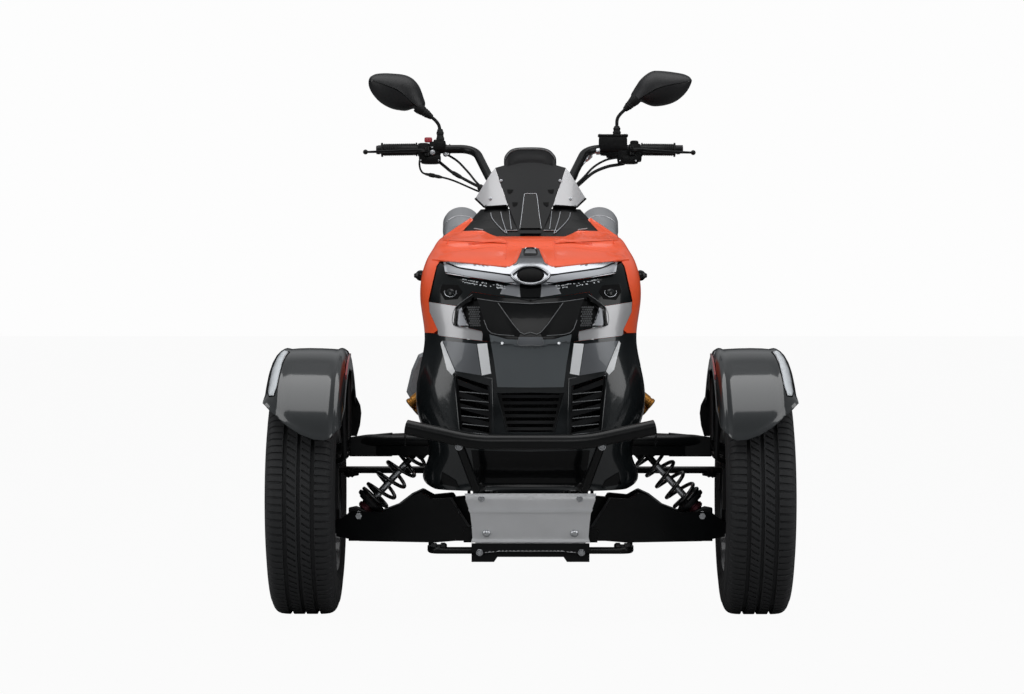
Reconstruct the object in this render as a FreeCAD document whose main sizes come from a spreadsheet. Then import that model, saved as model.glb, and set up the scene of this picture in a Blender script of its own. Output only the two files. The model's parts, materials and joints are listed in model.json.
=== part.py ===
import FreeCAD, Part
import math
import os
import re
import Sketcher

# Three-wheeled motorcycle with two steered wheels in front and one driven wheel behind.
# The origin is on the ground under the middle of the machine. The front faces -Y,
# +X is the rider's left and +Z is up. Lengths are millimetres and angles are degrees.

V = FreeCAD.Vector
doc = FreeCAD.newDocument("three_wheeler")
sheet = doc.addObject("Spreadsheet::Sheet", "sizes")

SIZES = [
    # Stance
    ("wheelbase", 1660, "front axle line to rear axle"),
    ("front_reach", 370, "front axle line to the front of the bumper"),
    ("rear_reach", 350, "rear axle to the tail end"),
    ("front_track", 1120, "between the middles of the front tyres"),
    # Wheels
    ("front_tyre_diameter", 587, "165/70 R14"),
    ("front_tyre_width", 170, "over the side walls"),
    ("front_rim_diameter", 356, "at the bead seat"),
    ("rear_tyre_diameter", 607, "205/55 R15"),
    ("rear_tyre_width", 205, "over the side walls"),
    ("rear_rim_diameter", 381, "at the bead seat"),
    ("rim_wall", 7, "rim barrel"),
    ("hub_diameter", 96, "front and rear hub"),
    ("spoke_width", 34, "at the rim"),
    ("spoke_depth", 22, "along the axle"),
    ("spoke_count", 5, "spokes on a wheel"),
    ("spoke_out", 26, "front spokes outside the middle of the tyre"),
    ("disc_diameter", 268, "brake disc"),
    ("rear_disc_diameter", 228, "rear brake disc"),
    ("disc_thickness", 5, "brake disc"),
    ("disc_inset", 22, "disc to the middle of the tyre"),
    ("bearing_gap", 0.3, "turning fits"),
    ("running_gap", 6, "between pieces that pass each other"),
    ("seam_gap", 3, "between body panels"),
    ("seat_gap", 0.3, "between pieces that rest on each other"),
    ("overrun", 20, "how far a cutter passes its piece"),
    # Steering knuckles
    ("kingpin_inset", 60, "kingpin to the middle of the front tyre"),
    ("kingpin_low", 238, "lower face of the knuckle"),
    ("kingpin_high", 390, "upper face of the knuckle"),
    ("kingpin_stud", 14, "ball joint stud"),
    ("knuckle_ear", 24, "height of a knuckle ear"),
    ("knuckle_thick", 40, "knuckle post across"),
    ("ball_housing", 44, "ball joint housing diameter"),
    ("ball_height", 36, "ball joint housing height"),
    ("axle_diameter", 34, "front stub axle"),
    ("steer_arm", 110, "kingpin to tie rod joint, along the machine"),
    ("steer_arm_side", 16, "kingpin to tie rod joint, sideways"),
    ("steer_arm_height", 340, "top face of the steering arm"),
    ("steer_arm_thick", 14, "steering arm"),
    ("steer_arm_width", 30, "steering arm"),
    ("tie_rod_diameter", 18, "tie rod"),
    ("tie_end_diameter", 26, "tie rod end housing"),
    ("tie_end_height", 26, "tie rod end housing"),
    ("tie_stud", 10, "tie rod end stud"),
    ("caliper_length", 92, "front caliper"),
    ("caliper_height", 46, "front caliper"),
    ("caliper_width", 44, "front caliper"),
    ("caliper_angle", 28, "front caliper over level"),
    # Pitman and steering column
    ("pitman_diameter", 24, "pitman shaft"),
    ("pitman_top", 500, "upper end of the pitman shaft"),
    ("column_foot", 530, "height of the steering joint"),
    ("column_rake", 36, "steering column from upright"),
    ("column_diameter", 32, "steering column"),
    ("column_length", 690, "steering joint to the bar clamp"),
    ("head_tube_start", 300, "along the column"),
    ("head_tube_length", 180, "along the column"),
    ("head_tube_diameter", 54, "frame head tube"),
    ("bar_diameter", 23, "handlebar tube"),
    ("bar_half_width", 411, "middle to grip end"),
    ("bar_height", 1189, "grips over the ground"),
    ("bar_set_back", 620, "grips behind the front axle"),
    ("bar_rise_out", 150, "middle to the bar's outer bend"),
    ("bar_rise_in", 100, "middle to the bar's inner bend"),
    ("bar_bend", 55, "bend radius"),
    ("grip_length", 112, "grip"),
    ("grip_diameter", 34, "grip"),
    ("switch_length", 78, "switch housing"),
    ("switch_height", 60, "switch housing"),
    ("switch_depth", 46, "switch housing"),
    ("lever_length", 178, "brake and clutch lever"),
    ("lever_thick", 9, "lever blade"),
    ("lever_ball", 17, "ball on the lever end"),
    ("lever_reach", 62, "lever in front of the grip"),
    ("reservoir_width", 78, "fluid reservoir"),
    ("reservoir_height", 44, "fluid reservoir"),
    ("reservoir_out", 184, "middle of the machine to the fluid reservoir"),
    ("mirror_width", 170, "mirror shell"),
    ("mirror_height", 122, "mirror shell"),
    ("mirror_depth", 46, "mirror shell"),
    ("mirror_out", 349, "middle of the machine to the middle of the shell"),
    ("mirror_up", 1330, "middle of the shell over the ground"),
    ("mirror_lift", 9, "how much higher and closer the left mirror is set"),
    ("mirror_foot", 241, "middle of the machine to the mirror stem"),
    ("mirror_stem", 12, "mirror stem"),
    ("cable_diameter", 7, "control cable"),
    # Front suspension
    ("arm_pivot", 150, "middle of the machine to the arm pivots"),
    ("arm_spread", 110, "arm pivots before and behind the axle"),
    ("arm_tube", 28, "upper arm tube"),
    ("arm_web", 38, "upper arm's web under the tube's axis"),
    ("upper_pivot", 440, "upper arm pivots over the ground"),
    ("lower_pivot", 208, "lower arm pivots over the ground"),
    ("pivot_diameter", 36, "arm pivot bushing"),
    ("pivot_length", 44, "arm pivot bushing"),
    ("lower_arm_depth", 74, "lower arm at the shock"),
    ("lower_arm_thick", 20, "lower arm leg"),
    ("shock_low_out", 428, "middle of the machine to the lower shock eye"),
    ("shock_low_up", 247, "lower shock eye over the ground"),
    ("shock_angle", 48, "shock from level"),
    ("shock_length", 395, "eye to eye"),
    ("shock_eye", 30, "shock eye"),
    ("shock_rod", 16, "shock rod"),
    ("shock_body", 38, "shock body"),
    ("spring_diameter", 64, "over the coils"),
    ("spring_wire", 11, "coil wire"),
    ("spring_turns", 6, "coils on a spring"),
    ("reservoir_large", 38, "reservoir diameter"),
    ("reservoir_small", 17, "adjuster diameter"),
    ("reservoir_offset", 78, "reservoir over the shock axis"),
    ("reservoir_length", 116, "reservoir"),
    ("stabilizer_diameter", 17, "stabilizer bar"),
    ("stabilizer_height", 170, "stabilizer bar over the ground"),
    ("stabilizer_half", 246, "middle to the stabilizer end"),
    # Frame
    ("subframe_tube", 30, "front subframe tube"),
    ("subframe_half", 112, "middle to the long subframe tubes"),
    ("subframe_front", 150, "subframe before the front axle"),
    ("subframe_back", 160, "subframe behind the front axle"),
    ("subframe_low", 208, "lower tubes over the ground"),
    ("subframe_high", 440, "upper tubes over the ground"),
    ("frame_tube", 34, "main frame tube"),
    ("frame_half", 150, "middle to the main rails"),
    ("frame_low", 190, "lower rails over the ground"),
    ("frame_bend", 70, "main rail bend radius"),
    ("swing_pivot_ahead", 460, "swingarm pivot before the rear axle"),
    ("swing_pivot_up", 330, "swingarm pivot over the ground"),
    ("swing_half", 152, "middle to a swingarm leg"),
    ("swing_leg_width", 30, "swingarm leg"),
    ("swing_leg_depth", 64, "swingarm leg"),
    ("rear_axle_diameter", 24, "rear axle"),
    ("rear_shock_low_back", 98, "lower eye behind the swingarm pivot"),
    ("rear_shock_low_up", 385, "lower eye over the ground"),
    ("rear_shock_high_ahead", 30, "upper eye before the swingarm pivot"),
    ("rear_shock_high_up", 610, "upper eye over the ground"),
    ("rear_spring_diameter", 66, "over the coils"),
    ("chain_case_height", 88, "closed chain case"),
    # Front bodywork
    ("nose_height", 945, "top of the nose over the ground"),
    ("nose_half_width", 280, "middle to the widest point of the nose"),
    ("nose_length", 490, "beak to the rear edge of the nose panels"),
    ("nose_reach", 250, "beak before the front axle"),
    ("panel_wall", 4, "body panel"),
    ("trim_proud", 7, "bright trim over the panels"),
    ("lamp_sunk", 3, "lamp lens under the panels"),
    ("beak_proud", 5, "beak over the panels"),
    ("bumper_tube", 36, "bumper tube"),
    ("bumper_half", 297, "middle to the bumper end"),
    ("bumper_height", 448, "bumper middle over the ground"),
    ("bumper_rise", 34, "bumper end over its middle"),
    ("bumper_sweep", 34, "bumper end behind its middle"),
    ("skid_plate_wall", 5, "skid plate"),
    ("skid_top", 322, "top of the skid plate"),
    ("skid_low", 204, "bottom of the skid plate"),
    ("skid_half", 158, "middle to the skid plate's upper corner"),
    ("radiator_width", 300, "radiator"),
    ("radiator_height", 190, "radiator"),
    ("radiator_depth", 36, "radiator"),
    ("radiator_low", 400, "radiator over the ground"),
    ("slat_depth", 16, "grille slat"),
    ("grille_bars", 6, "bars in the middle grille"),
    ("louvre_slats", 5, "slats in a side louvre"),
    # Cockpit
    ("screen_top", 1139, "windscreen over the ground"),
    ("screen_low", 963, "windscreen foot over the ground"),
    ("wing_half", 141, "middle to the outer corner of a screen wing"),
    ("screen_front", 70, "foot of the screen behind the front axle"),
    ("screen_back", 200, "top of the screen behind the front axle"),
    ("screen_wall", 4, "windscreen"),
    ("screen_bow_share", 0.37, "sweep of the shield for its half width"),
    ("dash_top_share", 1.075, "top of the dash for the height of the nose"),
    ("duct_proud", 7, "duct before the screen"),
    ("instrument_width", 145, "instrument"),
    ("instrument_height", 48, "instrument"),
    ("instrument_depth", 34, "instrument"),
    ("instrument_up", 1137, "instrument foot over the ground"),
    ("instrument_back", 338, "instrument behind the front axle"),
    # Tank, seat and tail
    ("tank_front", 400, "front of the tank cover behind the front axle"),
    ("tank_length", 430, "tank cover"),
    ("tank_height", 905, "top of the tank cover over the ground"),
    ("tank_half", 165, "half width of the tank cover"),
    ("seat_height", 735, "rider's seat over the ground"),
    ("seat_length", 400, "rider's seat"),
    ("seat_half", 165, "half width of the rider's seat"),
    ("seat_pad", 80, "thickness of the rider's pad"),
    ("pillion_height", 865, "pillion seat over the ground"),
    ("pillion_length", 330, "pillion seat"),
    ("pillion_half", 128, "half width of the pillion seat"),
    ("pillion_pad", 70, "thickness of the pillion pad"),
    ("tail_half", 165, "half width of the tail"),
    ("tail_low", 610, "lower edge of the tail"),
    ("tail_wall", 4, "tail shell"),
    ("fairing_back", 620, "end of the side fairings behind the front axle"),
    ("mudguard_wall", 4, "rear mudguard"),
    ("mudguard_gap", 34, "mudguard over the rear tyre"),
    ("mudguard_width", 216, "rear mudguard"),
    ("mudguard_back_angle", 33, "rear lip over level"),
    ("mudguard_front_angle", 62, "front lip over level"),
    # Engine and exhaust
    ("engine_length", 430, "crankcase"),
    ("engine_height", 230, "crankcase"),
    ("engine_half", 128, "half width of the crankcase"),
    ("engine_low", 230, "underside of the engine"),
    ("engine_front", 620, "front of the crankcase behind the front axle"),
    ("cylinder_bore", 150, "across the cylinder block"),
    ("cylinder_rise", 170, "cylinder block"),
    ("clutch_cover", 150, "clutch cover diameter"),
    ("clutch_depth", 28, "clutch cover"),
    ("cylinder_fins", 7, "cooling fins"),
    ("fin_thick", 4, "cooling fin"),
    ("air_box_back", 690, "air box behind the front axle"),
    ("air_box_depth", 110, "air box"),
    ("air_box_low", 500, "air box over the ground"),
    ("air_box_high", 650, "top of the air box over the ground"),
    ("air_box_half", 340, "middle to the outside of the air box"),
    ("silencer_diameter", 112, "silencer"),
    ("silencer_length", 400, "silencer"),
    ("silencer_half", 213, "middle to a silencer's axis"),
    ("silencer_top", 1014, "silencer axis at its tip over the ground"),
    ("silencer_tip_back", 165, "silencer tip behind the rear axle"),
    ("silencer_angle", 32, "silencer from level"),
    ("pipe_diameter", 42, "exhaust pipe"),
    # Fenders
    ("fender_radius", 374, "wheel middle to the outside of the fender"),
    ("fender_inner", 450, "middle of the machine to the inner edge"),
    ("fender_outer", 652, "middle of the machine to the outer edge"),
    ("fender_wall", 4, "fender"),
    ("fender_stay", 14, "fender stay tube"),
    ("fender_front_angle", 28, "front lip over level"),
    ("fender_back_angle", 30, "rear lip over level"),
    # Small fittings
    ("peg_length", 92, "footpeg"),
    ("peg_diameter", 26, "footpeg"),
    ("peg_height", 306, "footpeg over the ground"),
    ("peg_back", 800, "footpeg behind the front axle"),
    ("indicator_half", 302, "middle to an indicator's tip"),
    ("indicator_back", 280, "indicators behind the front axle"),
    ("indicator_height", 847, "indicators over the ground"),
    ("indicator_length", 84, "indicator body"),
    ("indicator_thick", 30, "indicator body"),
    ("tail_lamp_width", 156, "tail lamp"),
    ("tail_lamp_height", 36, "tail lamp"),
    ("tail_lamp_depth", 24, "tail lamp"),
    ("plate_holder_width", 200, "bare plate holder"),
    ("plate_holder_height", 140, "bare plate holder"),
    ("plate_holder_up", 560, "middle of the plate holder over the ground"),
    ("plate_hole_spacing", 146, "between the two plate holes"),
    ("plate_bolt_hole", 6.6, "hole for a plate bolt"),
]
for row, (alias, value, note) in enumerate(SIZES, 1):
    sheet.set(f"A{row}", note)
    sheet.set(f"B{row}", str(value))
    sheet.setAlias(f"B{row}", alias)
doc.recompute()
NAMES = {alias for alias, value, note in SIZES}


class Cells:
    """The sheet's values as plain numbers."""

    def __getattr__(self, alias):
        return float(sheet.get(alias))


mm = Cells()
front_y = mm.front_reach - (mm.wheelbase + mm.front_reach + mm.rear_reach) / 2
rear_y = front_y + mm.wheelbase
front_up = mm.front_tyre_diameter / 2
rear_up = mm.rear_tyre_diameter / 2
kingpin_x = mm.front_track / 2 - mm.kingpin_inset
FRONT_Y = "(front_reach - (wheelbase + front_reach + rear_reach) / 2)"
REAR_Y = "(wheelbase + front_reach - (wheelbase + front_reach + rear_reach) / 2)"
TURN = {
    "X": FreeCAD.Rotation(V(0, 1, 0), 90),
    "Y": FreeCAD.Rotation(V(1, 0, 0), -90),
    "Z": FreeCAD.Rotation(),
}
PARTS = []


# Helpers

def formula(text):
    """Point each size name in a formula at its cell."""
    return re.sub(r"[a-z_]+", lambda w: f"sizes.{w[0]}" if w[0] in NAMES else w[0], text)


def bind(item, **formulas):
    for name, text in formulas.items():
        item.setExpression(name, formula(text))
    return item


def place(item, at, rotation=None):
    if rotation is not None:
        item.Placement = FreeCAD.Placement(V(), rotation)
    for letter, text in zip("xyz", at):
        item.setExpression(f"Placement.Base.{letter}", formula(text))
    return item


def box(name, size, at):
    item = doc.addObject("Part::Box", name)
    bind(item, Length=size[0], Width=size[1], Height=size[2])
    return place(item, at)


def cylinder(name, diameter, length, at, axis="Z"):
    item = doc.addObject("Part::Cylinder", name)
    bind(item, Radius=f"({diameter}) / 2", Height=length)
    return place(item, at, TURN[axis])


def rod(name, diameter, start, end):
    """A round bar between two points."""
    item = doc.addObject("Part::Cylinder", name)
    bind(item, Radius=f"({diameter}) / 2")
    item.Height = (end - start).Length
    item.Placement = FreeCAD.Placement(start, FreeCAD.Rotation(V(0, 0, 1), end - start))
    return item


def route(points, bend):
    """Straight runs joined by tangent arcs."""
    edges = []
    start = points[0]
    for before, corner, after in zip(points, points[1:], points[2:]):
        toward = (before - corner).normalize()
        away = (after - corner).normalize()
        half = toward.getAngle(away) / 2
        shorter = min((before - corner).Length, (after - corner).Length)
        reach = min(bend / math.tan(half), 0.48 * shorter)
        middle_way = (toward + away).normalize()
        centre = corner + middle_way * (reach / math.cos(half))
        first = corner + toward * reach
        last = corner + away * reach
        top = centre - middle_way * (reach * math.tan(half))
        edges.append(Part.LineSegment(start, first).toShape())
        edges.append(Part.Arc(first, top, last).toShape())
        start = last
    edges.append(Part.LineSegment(start, points[-1]).toShape())
    return Part.Wire(edges)


def tube(name, diameter, points, bend):
    """A round tube swept along a bent route."""
    spine = doc.addObject("Part::Feature", f"{name}_route")
    spine.Shape = route(points, bend)
    ring = bind(doc.addObject("Part::Circle", f"{name}_ring"), Radius=f"({diameter}) / 2")
    turn = FreeCAD.Rotation(V(0, 0, 1), points[1] - points[0])
    ring.Placement = FreeCAD.Placement(points[0], turn)
    item = doc.addObject("Part::Sweep", name)
    item.Sections = [ring]
    item.Spine = spine
    item.Solid = True
    return item


def swept(points, size, bend):
    """A round bar along a bent route, for forms that are joined by hand."""
    ring = Part.Wire(Part.makeCircle(size / 2))
    ring.Placement = FreeCAD.Placement(points[0], FreeCAD.Rotation(V(0, 0, 1), points[1] - points[0]))
    return route(points, bend).makePipeShell([ring], True, False)


def shape(name, solid):
    """A form that needs the modeller's own functions."""
    item = doc.addObject("Part::Feature", name)
    item.Shape = solid
    return item


def fuse(name, items):
    item = doc.addObject("Part::MultiFuse", name)
    item.Shapes = items
    return item


def group(name, items):
    item = doc.addObject("Part::Compound", name)
    item.Links = items
    return item


def cut(name, base, tool):
    item = doc.addObject("Part::Cut", name)
    item.Base = base
    item.Tool = tool
    return item


def part(label, item):
    """Name a finished sub-part, which is also its node."""
    item.Label = label
    PARTS.append(item)
    return item


def flipped(point):
    return V(-point.x, point.y, point.z)


def both(make):
    """The same piece on the left, +X, and on the right."""
    return [make("left", 1), make("right", -1)]


def plane(body, role):
    return next(item for item in body.Origin.OriginFeatures if item.Role == role)


def sketch(body, name, role, corners):
    """A closed outline whose corners are tied to the sizes."""
    item = body.newObject("Sketcher::SketchObject", name)
    item.AttachmentSupport = [(plane(body, role), "")]
    item.MapMode = "FlatFace"
    count = len(corners)
    for index in range(count):
        start, end = (2 * math.pi * step / count for step in (index, index + 1))
        item.addGeometry(Part.LineSegment(V(math.cos(start), math.sin(start), 0),
                                          V(math.cos(end), math.sin(end), 0)))
    for index in range(count):
        item.addConstraint(Sketcher.Constraint("Coincident", index, 2, (index + 1) % count, 1))
    for index, (across, up) in enumerate(corners):
        for kind, text in (("DistanceX", across), ("DistanceY", up)):
            number = item.addConstraint(Sketcher.Constraint(kind, -1, 1, index, 1, 1.0))
            item.setExpression(f"Constraints[{number}]", formula(text))
    return item


def wire(points):
    return Part.makePolygon(points + points[:1])


def prism(points, direction):
    return Part.Face(wire(points)).extrude(direction)


def loft(wires, ruled=False):
    return Part.makeLoft(wires, True, ruled)


def mirrored(solid):
    return solid.mirror(V(), V(1, 0, 0))


# Wheels

def tyre(name, across, at_y, at_x):
    """A tyre turned about its axle: beads, bulging side walls, shoulders and a flat tread."""
    wide = f"{across}_tyre_width"
    tall = f"{across}_tyre_diameter / 2"
    seat = f"{across}_rim_diameter / 2"
    body = doc.addObject("PartDesign::Body", name)
    profile = [
        (f"-{wide} * 0.40", seat), (f"-{wide} / 2", f"{seat} + {wide} * 0.28"),
        (f"-{wide} * 0.475", f"{tall} - {wide} * 0.13"), (f"-{wide} * 0.36", tall),
    ]
    profile += [(text[1:], up) for text, up in reversed(profile)]
    outline = sketch(body, f"{name}_profile", "XZ_Plane", profile)
    turned = body.newObject("PartDesign::Revolution", f"{name}_turned")
    turned.Profile = outline
    turned.ReferenceAxis = (outline, ["H_Axis"])
    turned.Angle = 360
    place(body, (at_x, at_y, tall))
    return part(name, body)


def rim(name, across, at_y, at_x):
    """The turned barrel of a cast wheel."""
    wide = f"{across}_tyre_width"
    seat = f"{across}_rim_diameter / 2"
    tall = f"{across}_tyre_diameter / 2"
    body = doc.addObject("PartDesign::Body", name)
    half = [
        (f"{wide} * 0.24", f"{seat} - rim_wall * 2"), (f"{wide} * 0.44", f"{seat} - rim_wall"),
        (f"{wide} * 0.44 + rim_wall * 0.36", f"{seat} + rim_wall"),
        (f"{wide} * 0.40 + seat_gap + rim_wall * 0.36", f"{seat} + rim_wall"),
        (f"{wide} * 0.40 + seat_gap", f"{seat} - seat_gap"), (f"{wide} * 0.22", f"{seat} - rim_wall"),
    ]
    barrel = half + [(f"-({across_x})", up) for across_x, up in reversed(half)]
    outline = sketch(body, f"{name}_barrel_profile", "XZ_Plane", barrel)
    turned = body.newObject("PartDesign::Revolution", f"{name}_barrel")
    turned.Profile = outline
    turned.ReferenceAxis = (outline, ["H_Axis"])
    turned.Angle = 360
    place(body, (at_x, at_y, tall))
    return body


def wheel(label, across, at_y, x_sign, x_text):
    """Tyre and rim of one wheel, the rim's open face on the outside."""
    tyre(f"{label}_tyre", across, at_y, x_text)
    seat = f"({across}_rim_diameter / 2)"
    tall = f"{across}_tyre_diameter / 2"
    barrel = rim(f"{label}_barrel", across, at_y, x_text)
    middle = f"{x_text} + {x_sign} * spoke_out"
    hub_start = f"{middle} - spoke_depth * 0.85"
    pieces = [barrel]
    pieces.append(cylinder(f"{label}_hub", "hub_diameter", "spoke_depth * 1.7",
                           (hub_start, at_y, tall), "X"))
    step = 360 / mm.spoke_count
    for number in range(int(mm.spoke_count)):
        spoke = doc.addObject("Part::Wedge", f"{label}_spoke_{number}")
        bind(spoke, Xmin="-spoke_width * 0.75", Xmax="spoke_width * 0.75",
             X2min="-spoke_width / 2", X2max="spoke_width / 2",
             Ymin="hub_diameter * 0.4", Ymax=f"{seat} - rim_wall * 1.6",
             Zmin="-spoke_depth / 2", Zmax="spoke_depth / 2",
             Z2min="-spoke_depth / 2", Z2max="spoke_depth / 2")
        turn = FreeCAD.Rotation(V(1, 0, 0), number * step).multiply(TURN["X"])
        place(spoke, (middle, at_y, tall), turn)
        pieces.append(spoke)
    return pieces


def front_wheel(side, sign):
    tall = "front_tyre_diameter / 2"
    track = "front_track / 2" if sign > 0 else "-front_track / 2"
    pieces = wheel(f"front_wheel_{side}", "front", FRONT_Y, sign, track)
    inner = f"{track} - disc_inset" if sign > 0 else f"{track} + disc_inset - disc_thickness"
    carrier = f"{track} - disc_inset" if sign > 0 else f"{track} - spoke_out"
    pieces.append(cylinder(f"disc_{side}", "disc_diameter", "disc_thickness",
                           (inner, FRONT_Y, tall), "X"))
    pieces.append(cylinder(f"disc_carrier_{side}", "hub_diameter", "disc_inset + spoke_out",
                           (carrier, FRONT_Y, tall), "X"))
    solid = fuse(f"front_wheel_solid_{side}", pieces)
    bore_start = f"{track} - disc_inset - overrun" if sign > 0 else f"{track} - spoke_out"
    bore = cylinder(f"hub_bore_{side}", "axle_diameter + bearing_gap * 2",
                    "disc_inset + overrun + spoke_out", (bore_start, FRONT_Y, tall), "X")
    part(f"front_rim_{side}", cut(f"front_wheel_bored_{side}", solid, bore))


def rear_wheel():
    """The driven wheel, with a brake disc on its right."""
    tall = "rear_tyre_diameter / 2"
    pieces = wheel("rear_wheel", "rear", REAR_Y, 0, "0")
    right = "-rear_tyre_width / 2 - disc_thickness * 3"
    pieces.append(cylinder("rear_hub_tube", "hub_diameter * 0.7", "rear_tyre_width + disc_thickness * 3",
                           (right, REAR_Y, tall), "X"))
    pieces.append(cylinder("rear_disc", "rear_disc_diameter", "disc_thickness", (right, REAR_Y, tall), "X"))
    solid = fuse("rear_wheel_solid", pieces)
    bore = cylinder("rear_bore", "rear_axle_diameter + bearing_gap * 2",
                    "rear_tyre_width + overrun * 2",
                    ("-rear_tyre_width / 2 - overrun", REAR_Y, tall), "X")
    part("rear_rim", cut("rear_wheel_bored", solid, bore))


def caliper_block(centre, disc_radius, size):
    """A brake caliper that straddles a disc, its length upright before the axle."""
    radius = disc_radius - size.y * 0.45
    block = Part.makeBox(size.x, size.y, size.z,
                         centre + V(-size.x / 2, -radius - size.y / 2, -size.z / 2))
    slot = Part.makeCylinder(disc_radius + mm.running_gap, mm.disc_thickness + mm.running_gap * 2,
                             centre - V(mm.disc_thickness / 2 + mm.running_gap, 0, 0), V(1, 0, 0))
    return block.cut(slot)


def fender_turn(sign, grow, deeper):
    """The space under a fender's crown, turned about the axle line, grown or shrunk by a wall."""
    inner = mm.fender_inner - mm.front_track / 2 - grow
    outer = mm.fender_outer - mm.front_track / 2 + grow
    radius = mm.fender_radius + grow
    drop = (mm.fender_outer - mm.fender_inner) * 0.30
    crown = [
        V(inner, 0, radius - drop * 0.80), V(inner + drop * 0.12, 0, radius - drop * 0.28),
        V(inner + drop * 0.60, 0, radius - drop * 0.05), V(outer - drop * 1.2, 0, radius),
        V(outer - drop * 0.45, 0, radius - drop * 0.16), V(outer - drop * 0.10, 0, radius - drop * 0.65),
        V(outer, 0, radius - drop * 1.25),
    ]
    curve = Part.BSplineCurve()
    curve.interpolate(crown)
    corners = [crown[-1], crown[-1] - V(0, 0, deeper), crown[0] - V(0, 0, deeper), crown[0]]
    edges = [Part.LineSegment(start, end).toShape() for start, end in zip(corners, corners[1:])
             if (end - start).Length > 0]
    face = Part.Face(Part.Wire([curve.toShape()] + edges))
    face.rotate(V(), V(1, 0, 0), mm.fender_back_angle - 90)
    solid = face.revolve(V(), V(1, 0, 0), 180 - mm.fender_front_angle - mm.fender_back_angle)
    if sign < 0:
        solid = mirrored(solid)
    solid.translate(V(sign * mm.front_track / 2, front_y, front_up))
    return solid


def fender_stays(sign):
    """Two bent tubes from the top of the knuckle up to the underside of the fender."""
    foot_up = mm.kingpin_high - mm.knuckle_ear / 2
    bend_x = sign * (kingpin_x - mm.ball_housing * 0.9)
    top = V(sign * (mm.fender_inner + mm.fender_stay), front_y, front_up + mm.fender_radius * 0.93)
    crown = fender_turn(sign, mm.overrun, 0).cut(
        fender_turn(sign, -mm.fender_wall - mm.seat_gap, mm.overrun * 3))
    stays = []
    for way in (-1, 1):
        foot = V(sign * kingpin_x, front_y + way * mm.ball_housing * 0.4, foot_up)
        bend = V(bend_x, front_y + way * mm.ball_housing * 1.7, foot_up + mm.fender_stay)
        high = V(top.x, front_y + way * mm.fender_radius * 0.42, top.z)
        stays.append(swept([foot, bend, high], mm.fender_stay, mm.fender_stay * 2).cut(crown))
    return stays


for side, sign in (("left", 1), ("right", -1)):
    front_wheel(side, sign)
rear_wheel()


# Knuckles, tie rods and pitman

def knuckle(side, sign):
    """The upright between the two ball joints, with axle, steering arm and caliper."""
    pin = V(sign * kingpin_x, front_y, 0)
    post_low = mm.kingpin_low + mm.knuckle_ear
    post_high = mm.kingpin_high - mm.knuckle_ear
    half = mm.knuckle_thick / 2
    ears = [
        Part.makeCylinder(mm.ball_housing / 2, mm.knuckle_ear, pin + V(0, 0, height))
        for height in (mm.kingpin_low, post_high)
    ]
    post = Part.makeBox(mm.knuckle_thick, mm.knuckle_thick, post_high - post_low,
                        pin + V(-half, -half, post_low))
    hub = V(pin.x, pin.y, front_up)
    axle = Part.makeCylinder(mm.axle_diameter / 2, mm.kingpin_inset + mm.spoke_out * 0.8, hub, V(sign, 0, 0))
    collar = Part.makeCylinder(mm.knuckle_thick * 0.62, half * 0.9, hub, V(sign, 0, 0))
    low = mm.steer_arm_height - mm.steer_arm_thick
    end = pin + V(sign * mm.steer_arm_side, mm.steer_arm, low)
    wide = mm.steer_arm_width / 2
    arm = prism([pin + V(-wide, 0, low), pin + V(wide, 0, low), end + V(wide, 0, 0), end + V(-wide, 0, 0)],
                V(0, 0, mm.steer_arm_thick))
    eye = Part.makeCylinder(wide, mm.steer_arm_thick, end)
    disc_x = sign * (mm.front_track / 2 - mm.disc_inset + mm.disc_thickness / 2)
    radius = mm.disc_diameter / 2 - mm.caliper_height * 0.45
    centre = V(disc_x, front_y, front_up)
    caliper = caliper_block(centre, mm.disc_diameter / 2,
                            V(mm.caliper_width, mm.caliper_height, mm.caliper_length))
    arm_out = disc_x - sign * (mm.disc_thickness / 2 + mm.running_gap)
    bracket = Part.makeBox(abs(arm_out - pin.x), radius, mm.steer_arm_thick,
                           V(min(pin.x, arm_out), front_y - radius, front_up - mm.steer_arm_thick / 2))
    for piece in (caliper, bracket):
        piece.rotate(centre, V(1, 0, 0), -mm.caliper_angle)
    body = ears[0].fuse([ears[1], post, axle, collar, arm, eye, caliper, bracket])
    stud_hole = mm.kingpin_stud / 2 + mm.bearing_gap
    for height in (mm.kingpin_low - mm.overrun, post_high - mm.seat_gap):
        length = mm.knuckle_ear + mm.overrun
        body = body.cut(Part.makeCylinder(stud_hole, length, pin + V(0, 0, height)))
    hole = Part.makeCylinder(mm.tie_stud / 2 + mm.bearing_gap, mm.steer_arm_thick + 2 * mm.overrun,
                             end - V(0, 0, mm.overrun))
    body = body.cut(hole).fuse(fender_stays(sign))
    return part(f"knuckle_{side}", shape(f"knuckle_{side}_solid", body))


def tie_rod(side, sign):
    """A tie rod between the pitman's stud and the steering arm."""
    up = mm.steer_arm_height + mm.seat_gap
    outer = V(sign * (kingpin_x + mm.steer_arm_side), front_y + mm.steer_arm, up)
    inner = V(sign * mm.steer_arm_side, front_y + mm.steer_arm, up)
    lift = V(0, 0, mm.tie_end_height / 2)
    pieces = [
        Part.makeCylinder(mm.tie_end_diameter / 2, mm.tie_end_height, outer),
        Part.makeCylinder(mm.tie_end_diameter / 2, mm.tie_end_height, inner),
        Part.makeCylinder(mm.tie_stud / 2, mm.steer_arm_thick + mm.tie_end_height / 2,
                          outer - V(0, 0, mm.steer_arm_thick)),
        Part.makeCylinder(mm.tie_stud / 2, mm.steer_arm_thick + mm.tie_end_height / 2,
                          inner - V(0, 0, mm.steer_arm_thick)),
        Part.makeCylinder(mm.tie_rod_diameter / 2, kingpin_x, inner + lift, V(sign, 0, 0)),
    ]
    return part(f"tie_rod_{side}", shape(f"tie_rod_{side}_solid", pieces[0].fuse(pieces[1:])))


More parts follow.
